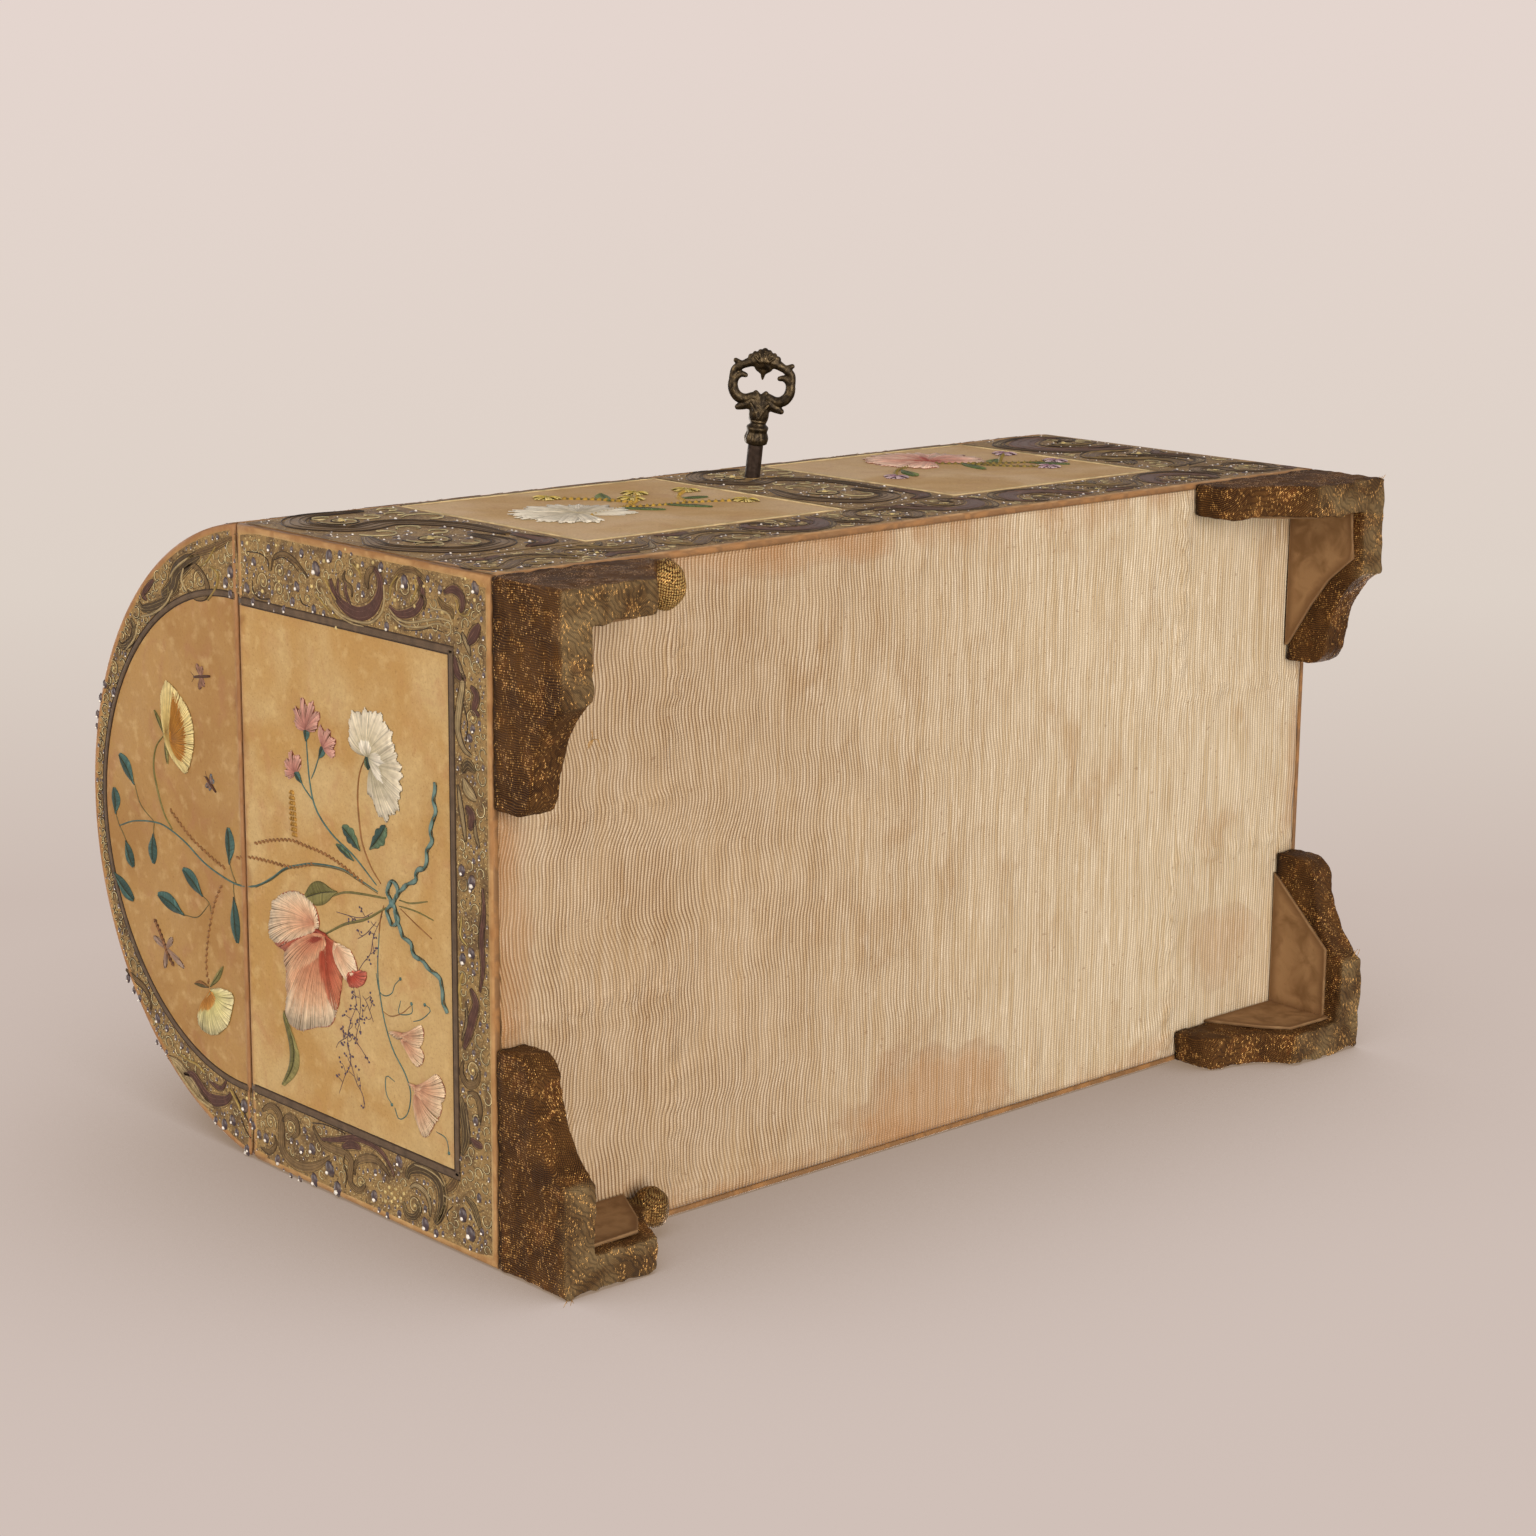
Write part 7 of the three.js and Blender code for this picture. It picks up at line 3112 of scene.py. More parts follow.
    def _collar(self) -> None:
        """Turns the collar, with petals round it and beads at its ends."""
        outline = (
            (10.3, 2.35), (10.7, 3.3), (11.2, 3.5), (12.2, 3.7), (13.2, 3.45), (14.2, 3.1),
            (15.1, 3.3), (15.7, 3.25), (16.3, 2.6), (16.9, 2.3), (17.4, 2.5), (17.9, 2.4),
            (18.2, 2.0),
        )
        profile = smooth_line(outline, 0.28)
        count = 60
        angles = np.linspace(0, math.tau, count, endpoint=False)
        petals = np.abs(np.cos(angles * 4.5)) ** 0.6
        frame_of = np.array([self.across, self.normal])
        rings = []
        for length, radius in profile:
            depth = 0.5 * math.exp(-(((length - 12.6) / 1.9) ** 2))
            reach = radius - depth * (1 - petals)
            circle = np.stack([np.cos(angles), np.sin(angles)], -1) * reach[:, None]
            rings.append(np.array(self.origin) + np.array(self.axis) * length + circle @ frame_of)
        caps = ([np.array(self._at(0, profile[end][0]))] for end in (0, -1))
        points = np.concatenate([*rings, *caps])
        faces: list[tuple[int, ...]] = []
        for row in range(len(rings) - 1):
            for i in range(count):
                j = (i + 1) % count
                faces.append(
                    (row * count + i, row * count + j, (row + 1) * count + j, (row + 1) * count + i)
                )
        last = (len(rings) - 1) * count
        for i in range(count):
            j = (i + 1) % count
            faces.append((j, i, len(points) - 2))
            faces.append((last + i, last + j, len(points) - 1))
        mesh = bpy.data.meshes.new("key_petal_collar")
        mesh.from_pydata((points * MM).tolist(), [], faces)
        shape = bmesh.new()
        shape.from_mesh(mesh)
        bmesh.ops.recalc_face_normals(shape, faces=shape.faces[:])
        shape.to_mesh(mesh)
        shape.free()
        mesh.shade_smooth()
        made = bpy.data.objects.new("key_petal_collar", mesh)
        bpy.context.scene.collection.objects.link(made)
        settle(made, BRONZE, "key", "bronze")
        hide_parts("key_collar")


@dataclass
class HingeScrews:
    """Countersunk screws in the hinge leaves, four for each hinge."""

    spacing: float = 95.04
    pitch: float = 9.5
    y: float = 102.82
    head: float = 1.55
    shank: float = 0.75
    length: float = 5.6

    def build(self) -> None:
        """Stands the screws on points for each body."""
        recipe = self._recipe()
        for body, level, turn in (("box", SIZE.seam - 0.3, 0.0), ("lid", SIZE.seam + 0.3, math.pi)):
            name = f"hinge_screws_{body}"
            mesh = bpy.data.meshes.new(name)
            spots = [
                (side * self.spacing + shift * self.pitch, self.y, level)
                for side in (-1, 1)
                for shift in (-1, 1)
            ]
            mesh.vertices.add(len(spots))
            mesh.vertices.foreach_set("co", (np.array(spots) * MM).astype(np.float32).ravel())
            made = bpy.data.objects.new(name, mesh)
            bpy.context.scene.collection.objects.link(made)
            recipe.apply(made, {"Turn": turn, "Material": BRASS.material()})
            settle(made, BRASS, body, "brass")

    def _recipe(self) -> Recipe:
        """The tree: a slotted cone head and a shank below each point, upside down where turned."""
        recipe = Recipe(
            "countersunk_screws",
            {
                "Head": ("NodeSocketFloat", self.head * MM),
                "Shank": ("NodeSocketFloat", self.shank * MM),
                "Length": ("NodeSocketFloat", self.length * MM),
                "Turn": ("NodeSocketFloat", 0.0),
                "Material": ("NodeSocketMaterial", None),
            },
        )
        board = recipe.board
        head, shank, length = (recipe.given(label) for label in ("Head", "Shank", "Length"))
        cone = board.node(
            "GeometryNodeMeshCone",
            inputs={
                "Vertices": 24, "Radius Top": head, "Radius Bottom": shank, "Depth": head - shank
            },
        )
        cone = self._shifted(board, cone, (head - shank) * -1.0)
        rod = board.node(
            "GeometryNodeMeshCone",
            inputs={
                "Vertices": 16, "Radius Top": shank, "Radius Bottom": shank * 0.3, "Depth": length
            },
        )
        rod = self._shifted(board, rod, length * -1.0 - (head - shank) * 0.9)
        slot = board.node(
            "GeometryNodeMeshCube", inputs={0: board.vector(head * 2.4, head * 0.26, head * 0.4)}
        )
        cut = board.node("GeometryNodeMeshBoolean", {"operation": "DIFFERENCE"}, {0: cone, 1: slot})
        whole = board.node("GeometryNodeJoinGeometry", inputs={0: cut})
        recipe.tree.links.new(rod.socket, whole.socket.node.inputs[0])
        turned = board.node(
            "FunctionNodeEulerToRotation", inputs={0: board.vector(recipe.given("Turn"), 0.0, 0.6)}
        )
        stood = board.node(
            "GeometryNodeInstanceOnPoints",
            inputs={"Points": recipe.given("Geometry"), "Instance": whole, "Rotation": turned},
        )
        recipe.finish(stood)
        return recipe

    @staticmethod
    def _shifted(board: Board, shape: Signal, height: Signal) -> Signal:
        """A shape moved along Z."""
        return board.node(
            "GeometryNodeTransform",
            inputs={0: shape, "Translation": board.vector(0.0, 0.0, height)},
        )


# ---- Flowers

PINK = ("a55a48", "cf8f7c", "e2b09c", "ecd0bc")
ROSE = ("b05a48", "d29a86", "e6c6b0", "efe0cc")
RED = ("8f3428", "b04a38", "c4705c")
WHITE = ("b9ac8c", "d8cfba", "ece6d6")
GOLD = ("8f6a26", "c39a3c", "dcc070")
TEAL = "4a6862"
DEEP_TEAL = "38504a"
OLIVE = "716c3e"
STEM = "665c3a"
BROWN = "8a623a"
SPRIG = "5a4a50"


def arc_tips(middle: Spot, reach: float, start: float, end: float, count: int) -> list[Spot]:
    """Points on an arc, for petal tips; the angles are in degrees."""
    angles = np.radians(np.linspace(start, end, count))
    return [(middle[0] + reach * math.cos(a), middle[1] + reach * math.sin(a)) for a in angles]


@dataclass
class EndSpray:
    """The tied spray on the box's left end, and the branch and insects on the lid above it."""

    seed: int = 11

    MAIN = ((-0.1, 49.6), (-1.9, 58.5), (-3.1, 66.1), (-2, 78.5), (0, 86.4), (2.2, 92.8),
            (6.3, 99.5), (10, 107.3), (11.4, 115.2), (10.7, 123.2), (8.5, 132.8), (4.4, 142.4),
            (1.9, 151.4), (1.5, 158.5), (3.2, 169.4), (6.1, 177.7))
    TWIGS = (
        (
            (-1.1, 55.6), (-3.9, 64.5), (-5.7, 73.7), (-6.2, 83), (-6.4, 89.3), (-4.5, 99),
            (-2, 107.2),
        ),
        ((-2, 78.5), (1.1, 89.6), (1.6, 99.2), (2.4, 110.7), (3.9, 116.4)),
        ((13, 124.1), (18.8, 128), (25.1, 130.5), (31.4, 132.3), (38.3, 133.4), (43.9, 132.3)),
        ((-4, 150), (2, 140), (5.8, 130), (8, 122)),
    )
    STEMS = (
        (
            ((-1.8, 50.1), (-7.6, 59.9), (-11.8, 70), (-17.4, 77.1), (-24.8, 79.8), (-35.5, 80.9)),
            0.6,
            "t",
        ),
        (((-19, 77.8), (-22.3, 82.6), (-24, 83.8)), 0.5, "t"),
        (((-25.3, 79), (-28, 77.2), (-32.3, 75)), 0.5, "t"),
        (
            (
                (-2.6, 48.1), (-6.3, 52.4), (-11.9, 56), (-17.9, 57.3), (-24.1, 57.8),
                (-30.5, 56.8), (-36, 53.7),
            ),
            0.6,
            "b",
        ),
        (((3.5, 46), (8.6, 55.6), (11.9, 64.9), (16.3, 73.6)), 0.8, "o"),
        (((0.9, 45.9), (2, 57.3), (3.1, 64.6), (5.5, 71)), 0.7, "o"),
        (((0.2, 40.2), (0, 35.2), (-2, 27.7)), 0.5, "o"),
        (((1.8, 40.2), (1.7, 32.7), (2.5, 25.4)), 0.5, "o"),
        (((2.4, 39.6), (5.2, 32.8), (7.6, 26.1)), 0.5, "b"),
        (((11, 49.3), (19.8, 50.2), (26, 49.8), (34.9, 47.5), (41.8, 43.9), (46.9, 38.9),
        (51.8, 36.5), (57.7, 38),
          (60.3, 41.8), (57.6, 43.7)), 0.45, "t"),
        (((3, 47), (7, 48.6), (11, 49.3)), 0.5, "b"),
        (((32, 48.7), (32.7, 44.9), (30.7, 39.8), (27.8, 35.9)), 0.35, "b"),
        (
            ((-25, 151.9), (-20.9, 156.2), (-14.8, 157.8), (-8.3, 156.1), (-2, 153), (1.9, 149)),
            0.7,
            "o",
        ),
    )
    LEAVES = (
        ((3.6, 68), (8.6, 83.4), 6.6, "o", 0.6, 0), ((-9.8, 57), (-15, 65), 4.8, "g", 0.3, 3),
        ((-11, 52.6), (-18.6, 45.2), 5, "g", 0.3, 3), ((-6.5, 60), (-9.5, 68), 2.2, "g", 0, 2),
        ((42.7, 94.4), (65.1, 96.7), 4.6, "o", -5.6, 0), ((-36, 53.5), (-32.4, 52.6), 3, "g", 0, 0),
        ((-25.5, 151.5), (-31.6, 156.4), 1.6, "o", 0, 0), (
            (-23, 151.2), (-17, 150.2), 1.8, "o", 0, 0
        ),
        ((44.3, 131.4), (36.8, 124.6), 1.8, "o", 0.3, 0), (
            (44.6, 132.4), (45.2, 139.7), 1.8, "b", 0.3, 0
        ),
        ((-35.2, 80.9), (-39.2, 80.6), 2.8, "t", 0, 0), (
            (-31.6, 75), (-35.2, 72.6), 2.6, "t", 0, 0
        ),
        ((-23.4, 83.4), (-26, 86.8), 2.4, "t", 0, 0),
    )
    BUDS = (
        ((1.5, 158.5), (-2.2, 165.4), (-7.8, 168.5), (-15.5, 176.3)), (
            (6.1, 177.7), (4, 178.8), (2.9, 179.3), (-5, 179.7)
        ),
        ((1.5, 158.5), (3.2, 158.9), (5, 159.1), (14, 159.6)), (
            (6.1, 177.7), (8, 175.8), (9.9, 174.3), (17.2, 170.6)
        ),
        ((19.5, 183), (20, 182.5), (20.8, 181.5), (27.2, 170.9)), (
            (11.6, 116.4), (9, 118.4), (6.3, 119.8), (-4.3, 120)
        ),
        ((22, 130.2), (19.9, 130.8), (18.4, 134), (12.4, 144.2)), (
            (19.9, 130.8), (25.1, 137.1), (26, 143.9), (22.6, 158)
        ),
        ((11, 117.4), (12.1, 118.2), (15.3, 118), (28.6, 116.9)),
    )
    SPRIGS = (
        (((8.2, 50.5), (12.3, 55.1), (14.7, 59.1)), 3),
        (((6.1, 47.9), (12.4, 51.9), (17.4, 53.4), (21.4, 57.4), (25.2, 60.1), (28.6, 61.5)), 5),
        (
            (
                (28.6, 61.5), (33.1, 60.4), (38.6, 63.2), (43.7, 64.7), (49.9, 63.5), (54.6, 66.4),
                (60.1, 69.2),
            ),
            9,
        ),
        (((28.6, 59), (31.9, 58.4), (37.6, 59.2), (42.8, 60.7), (45.3, 58.1), (47.7, 55)), 8),
        (((49.9, 63.5), (54.9, 61.1), (57.4, 58.5), (60.3, 57.3)), 5),
        (((40, 64), (42.9, 64.6), (45.5, 68.7), (47.4, 70.1)), 4),
        (((30, 57.5), (31.3, 55.7), (34, 53.9), (36.1, 52.7)), 4),
        (((6, 52), (8.7, 58), (9.3, 68.7)), 3),
    )
    CURLS = (
        ((22.3, 51), (26.8, 49.8), (27.7, 47.3), (26.2, 44.1), (23.6, 42.7), (21.4, 40.1)),
        ((31.8, 34.8), (30.2, 31), (27, 27.2), (26, 29.6)),
        ((50.4, 43.5), (49.8, 47.3), (54.6, 47.4), (57.1, 44.9)),
        ((59.5, 25.5), (60.3, 21.2), (63.9, 20)),
        ((27.4, 40.3), (31.1, 41.1), (29.7, 35.5), (27.1, 35.4)),
    )
    WHITE_TIPS = ((-42, 60.2), (-46.6, 59), (-48.1, 52.6), (-47.9, 46.5), (-44.1, 42.2),
                  (-39.6, 40.6), (-33.9, 37.9), (-28.5, 38.5), (-23.8, 40.4), (-20.5, 44.6),
                  (-24.5, 48.9))
    GOLD_TIPS = ((-41.1, 149.7), (-39.8, 146), (-37.6, 142.2), (-34.4, 138.4), (-30, 136.3),
                 (-24.6, 136.3), (-19.6, 138.1), (-16, 141), (-18, 145.9))
    RIBBONS = (
        ((-0.4, 41.5), (-4.4, 37), (-6.7, 32.6), (-9.5, 31.8), (-11.1, 28.2), (-15.6, 27.4),
         (-18.7, 25.2), (-22.1, 25.8), (-26, 23.6), (-29.3, 24.2), (-34.3, 23.4)),
        ((3.3, 42.1), (6.8, 40.3), (9.5, 38.5), (11, 34.8), (13.8, 33.7), (14.2, 30), (15.7, 28.1),
         (16.5, 25.1), (18.1, 22.1), (22.6, 21.6), (26, 19.8)),
        ((1.4, 43.4), (-1.8, 45), (-4.6, 42.6), (-2, 40.4), (1.4, 42.8)),
        ((1.8, 43.4), (4.4, 45.4), (7.6, 43), (5, 40.4), (1.6, 42.8)),
    )

    def sew(self) -> None:
        """Sews everything and makes its pieces."""
        work = Needlework(SIZE.end(-1), "box", self.seed, SIZE.height)
        inks = {
            "t": (TEAL, DEEP_TEAL),
            "g": ("5c7258", DEEP_TEAL),
            "o": (OLIVE, "8a8250"),
            "b": (BROWN, STEM),
        }
        work.thread(self.MAIN, 0.6, TEAL)
        work.thread([(y + 0.5, z) for y, z in self.MAIN[:8]], 0.35, STEM)
        for line in self.TWIGS:
            work.thread(line, 0.25, BROWN)
            work.stitches(line, 0.9, BROWN, 1.9, 0.55)
        for line, width, ink in self.STEMS:
            work.thread(line, width, inks[ink][0])
        for base, tip, width, ink, bend, lobes in self.LEAVES:
            work.leaf(base, tip, width, inks[ink], bend, lobes)
        for shift in (-1.1, 0.0, 1.1):
            row = ((-7.6, 87.4 + shift * 0.6), (-13.6, 88 + shift), (-20.6, 88.4 + shift * 0.5))
            work.stitches(row, 1.1, "a8803c", 1.4, 0.4 * (shift or 1))
        for first, second, calyx, tip in self.BUDS:
            work.thread((first, second, calyx), 0.4, STEM)
            work.leaf(calyx, tip, 4.6, (TEAL, DEEP_TEAL), 0.5)
        for line, twigs in self.SPRIGS:
            work.sprig(line, twigs, 3.6, SPRIG, "4f4254")
        for curl in self.CURLS:
            work.tendril(curl, TEAL)
        for line in self.RIBBONS:
            work.ribbon(line, 1.4, ("6c847c", "3c5650"))
        work.dot((1.6, 43.1), (1.4, 1.1, 0.8), "5c7a78", Dot.KNOT, 0.4, 0.2)
        self._flowers(work)
        self._insects(work)
        work.build("left_spray")

    def _flowers(self, work: Needlework) -> None:
        """The rose, carnations, gold flower and blossoms, as tables of petals."""
        pale, blush = ("b87c5e", "d8b290", "e4d0b2"), ("a4543c", "c88c6a", "dcb894")
        wine, dusk = ("8a3220", "a84c34", "c47c5c"), ("742a1c", "8e3a28", "ae644a")
        cup = (16.3, 73.6)
        for outline, base, colors, lift, rim in (
            (
                (
                    (45.2, 94.5), (46.6, 87.6), (44, 79.4), (40.5, 71.2), (31, 69), (26, 78),
                    (35, 91),
                ),
                cup,
                pale,
                0.3,
                "a0604c",
            ),
            (
                (
                    (35.4, 93.7), (41.7, 90.2), (41.4, 82), (38.7, 73.8), (30, 71), (24, 80),
                    (28, 91),
                ),
                cup,
                blush,
                0.45,
                "9c4c3a",
            ),
            (
                (
                    (17.2, 74.3), (18.9, 67.7), (25, 66.4), (31.6, 67.5), (36.9, 70), (33, 76),
                    (24, 77),
                ),
                cup,
                wine,
                0.55,
                "8f3428",
            ),
            (
                ((24.3, 92.2), (28.7, 94), (32, 89.8), (26.1, 78.7), (19.3, 73.1), (19, 82)),
                cup,
                blush,
                0.65,
                "a04434",
            ),
            (
                ((24.4, 98), (25.6, 90), (22, 80), (17.5, 75), (16.6, 84), (19, 94)),
                cup,
                dusk,
                0.6,
                "7f2c22",
            ),
            (((12.7, 98.8), (9.1, 92.9), (7.5, 86), (9.3, 79.4), (13.1, 77), (16.9, 78.3),
            (23.2, 92), (22.6, 100.6)),
             (14.6, 78.4), pale, 0.85, "b05a46"),
        ):
            work.panel(outline, base, colors, lift, rim)
        work.panel(
            ((17.9, 67.4), (19, 61.9), (23.6, 59.4), (27.4, 60.2), (27, 64.9), (23, 69)),
            (17.6, 69.6),
            pale,
            0.7,
            "a04a38",
        )
        work.panel(
            ((23.6, 60.4), (23.3, 55.2), (27, 57.4), (28.6, 62.6), (26, 64.4)), (24.4, 61.6),
            RED,
            0.6,
            "8f3428",
        )
        for number, tip in enumerate(self.WHITE_TIPS):
            low = number > 4
            colors = ("8a8268", "c0b69c", "dcd2bc") if low else ("a89c78", "d2c7ac", "e4dac4")
            work.petal(
                (-36.4, 53.2) if not low else (-34, 50.8),
                tip,
                8.4,
                colors,
                0.5 + 0.1 * (number % 2),
                0.045,
                "6c6248",
            )
        for tip in ((-41, 52), (-36, 44), (-29.5, 44.5), (-40.5, 56)):
            work.petal((-35.8, 52.4), tip, 5.0, ("a09878", "e0d8c6", "f0eadc"), 0.8, 0.08, "8d8468")
        bloom = (*self.GOLD_TIPS, (-22, 150.4), (-30, 152.6), (-37, 152.4))
        work.panel(bloom, (-26, 150.4), ("9c7c3c", "cdb676", "dcca90"), 0.45, "86683a")
        cup = (
            (-38.6, 146), (-34.4, 141.6), (-28.4, 139), (-21, 140), (-18.6, 143), (-24, 146.4),
            (-31, 147.4),
        )
        work.panel(cup, (-24.6, 148.4), ("7a4c1c", "a8742c", "9c6624"), 0.7, "6f4418")
        for calyx, tips in (
            (
                (-38.4, 80.6),
                (
                    (-40, 86), (-43.4, 85.9), (-46.5, 82.1), (-46.4, 77.5), (-43.7, 74.5),
                    (-41, 75.5),
                ),
            ),
            ((-34.6, 72.8), ((-40.3, 74.2), (-40, 70.1), (-37.6, 67.4), (-34, 67.6))),
            ((-25.8, 86.2), ((-24.7, 91.1), (-28, 91), (-31, 88.4), (-30.6, 84.4))),
        ):
            work.carnation(calyx, tips, 3.2, ("9a6258", "c08a7c", "cfa292"), "84483e")
        pea = ("9c6850", "c89c7c", "d8c0a0")
        for outline, base in (
            (((37.4, 45.4), (38, 41.2), (35.3, 36.1), (32, 31), (37.3, 31.8)), (36, 39.5)),
            (((38.4, 40.4), (37, 34), (40.2, 30.2), (43.6, 33.2), (41, 37)), (37.4, 39)),
            (((49.4, 37), (49.9, 31.5), (43.8, 25.1), (47.2, 21.3), (51, 23), (53, 30)), (49, 34)),
            (
                ((50, 33), (51.4, 23), (58, 26.3), (62.3, 30.5), (58, 34.2), (53.5, 35)),
                (50.4, 33.6),
            ),
        ):
            work.panel(outline, base, pea, 0.5, "94604c")
        work.panel(
            (
                (45, 131), (43.6, 125.7), (44.3, 119.9), (49, 120.8), (54, 123.4), (58.2, 130.1),
                (58, 136.7), (54.6, 138.4), (49.7, 134),
            ),
            (45.6, 130.4), ("a8a060", "d2c88c", "dfd4a4"), 0.7, "86703c",
        )
        work.panel(
            ((45, 131), (50, 134.6), (54.6, 138.2), (53.4, 132), (48, 127.4)), (45.4, 130.4),
            ("94602a", "b8803c", "cfa45c"),
            0.85,
            "7c5426",
        )

    def _insects(self, work: Needlework) -> None:
        """Two small moths and a dragonfly with a striped body."""
        work.moth((-45, 131.4), 3.6, "a8806c", 1.4)
        work.moth((-15.2, 128.3), 2.6, "64747c", 2.2)
        body = ((30.5, 160), (34.9, 156.5), (40.1, 153), (42.4, 150.4))
        work.thread(body, 0.9, "7a5438", 0.2)
        work.stitches(body, 1.2, "4f3424", 1.5, 1.4)
        for tip in ((36, 161), (34.2, 150.6), (41.8, 145), (44.4, 155.4)):
            work.petal(
                (38, 154.4), tip, 2.0, ("9c7c64", "a08474", "b09a88"), 0.15, 0.0, "5f4434", 0.4
            )


@dataclass
class FrontSprays:
    """The two sprays on the front: a white carnation and a pink flower."""

    seed: int = 21

    def sew(self) -> None:
        """Sews both."""
        work = Needlework(SIZE.front(), "box", self.seed, None, 1.4)
        self._left(work)
        self._right(work)
        work.build("front_sprays")

    def _left(self, work: Needlework) -> None:
        """The white carnation with golden sprigs."""
        for line in (
            ((-78, 62), (-66, 66), (-52, 74), (-40, 88)),
            ((-60, 69), (-50, 66), (-38, 64), (-24, 58)),
            ((-52, 74), (-56, 84), (-66, 96)),
            ((-40, 66), (-34, 76), (-24, 84)),
        ):
            work.thread(line, 0.8, STEM)
            work.stitches(line, 1.5, "b9953e", 2.0, 0.6)
        for middle in ((-40, 88), (-24, 58), (-66, 96), (-24, 84), (-48, 80)):
            tips = arc_tips(middle, 4.2, 0, 300, 6)
            work.carnation(middle, tips, 2.8, ("8a7a34", "c9b04c", "dccb86"), "7a6428")
        for base, tip in (
            ((-62, 68), (-54, 58)), ((-48, 66), (-40, 54)), ((-56, 80), (-48, 94)),
            ((-36, 72), (-28, 70)),
        ):
            work.leaf(base, tip, 4.0, ("6f7c44", "56683c"), 0.6)
        for reach, count in ((17.0, 12), (12.5, 10), (8.0, 7)):
            work.carnation(
                (-79, 66), arc_tips((-79, 68), reach, -30, 250, count), reach * 0.5, WHITE, "958c70"
            )

    def _right(self, work: Needlework) -> None:
        """The pink flower with its sprig."""
        for line in (
            ((72, 84), (84, 74), (98, 66), (110, 62)), ((84, 74), (88, 64), (98, 54)),
            ((66, 82), (54, 76), (44, 66)), ((92, 69), (102, 78), (110, 84)),
        ):
            work.thread(line, 0.8, STEM)
            work.stitches(line, 1.4, "8d7a3c", 2.0, 0.6)
        for base, tip in (
            ((90, 70), (98, 76)), ((56, 76), (50, 64)), ((82, 76), (78, 62)), ((100, 64), (108, 54))
        ):
            work.leaf(base, tip, 4.4, ("6f7c44", "56683c"), 0.6)
        for middle in ((110, 62), (98, 54), (44, 66), (110, 84)):
            work.carnation(
                middle,
                arc_tips(middle, 4.0, 0, 300, 6),
                2.6,
                ("8a5a6a", "a88898", "c8b4b8"),
                "6a4c58",
            )
        for reach, colors in ((18.0, PINK), (14.0, ROSE), (9.0, RED)):
            work.carnation(
                (76, 84),
                arc_tips((78, 88), reach, -40, 220, int(reach * 0.7)),
                reach * 0.6,
                colors,
                "9a4c3c",
            )


@dataclass
class Bouquet:
    """A tied bunch of flowers for a side that the photo doesn't show."""

    middle: Spot
    reach: float
    seed: int

    FAN = (28, 152)
    HEADS = 7
    TAIL = ((0, 0), (0.15, -0.08), (0.22, -0.2), (0.36, -0.22), (0.45, -0.34))
    LOOP = ((0, 0), (0.1, 0.1), (0.2, 0.05), (0.12, -0.04), (0, 0))

    def sew(self, work: Needlework) -> None:
        """Sews the bunch, opening upwards from its bow.

        Args:
            work: the needlework that it is added to.
        """
        rng = np.random.default_rng(self.seed)
        knot = np.array(self.middle) - [0, self.reach * 0.45]
        kinds = [WHITE, PINK, GOLD, ROSE, PINK, WHITE, GOLD]
        for number, degrees in enumerate(np.linspace(*self.FAN, self.HEADS)):
            spin = math.radians(degrees + rng.uniform(-4, 4))
            length = self.reach * rng.uniform(0.75, 1.15) * (1.25 if number % 2 else 1.0)
            head = knot + length * np.array([math.cos(spin), math.sin(spin)])
            bend = (knot + head) / 2 + self.reach * 0.08 * rng.normal(size=2)
            work.thread((tuple(knot), tuple(bend), tuple(head)), 0.9, (STEM, TEAL)[number % 2])
            for share in (0.35, 0.55, 0.72):
                at = knot + (head - knot) * share
                lean = spin + rng.choice([-0.8, 0.8])
                tip = at + self.reach * 0.24 * np.array([math.cos(lean), math.sin(lean)])
                work.leaf(
                    tuple(at),
                    tuple(tip),
                    self.reach * 0.08,
                    (TEAL, DEEP_TEAL) if number % 2 else (OLIVE, STEM),
                    0.5,
                )
            size = self.reach * (0.2 if number % 3 == 0 else 0.14)
            tips = arc_tips(tuple(head), size, degrees - 110, degrees + 110, 8)
            work.carnation(tuple(head), tips, size * 0.62, kinds[number], "8a5a44")
        for sign in (-1, 1):
            work.thread(
                (tuple(knot), tuple(knot + self.reach * np.array([sign * 0.06, -0.2]))), 0.8, STEM
            )
            tail = [knot + self.reach * np.array([sign * a, b]) for a, b in self.TAIL]
            work.ribbon([tuple(p) for p in tail], 2.6, ("6f9a9a", "3f6868"))
            loop = [knot + self.reach * np.array([sign * a, b]) for a, b in self.LOOP]
            work.ribbon([tuple(p) for p in loop], 2.4, ("6f9a9a", "3f6868"))
        work.moth(
            (self.middle[0] - self.reach * 0.75, self.middle[1] + self.reach * 0.2),
            3.6,
            "b98d84",
            1.0,
        )


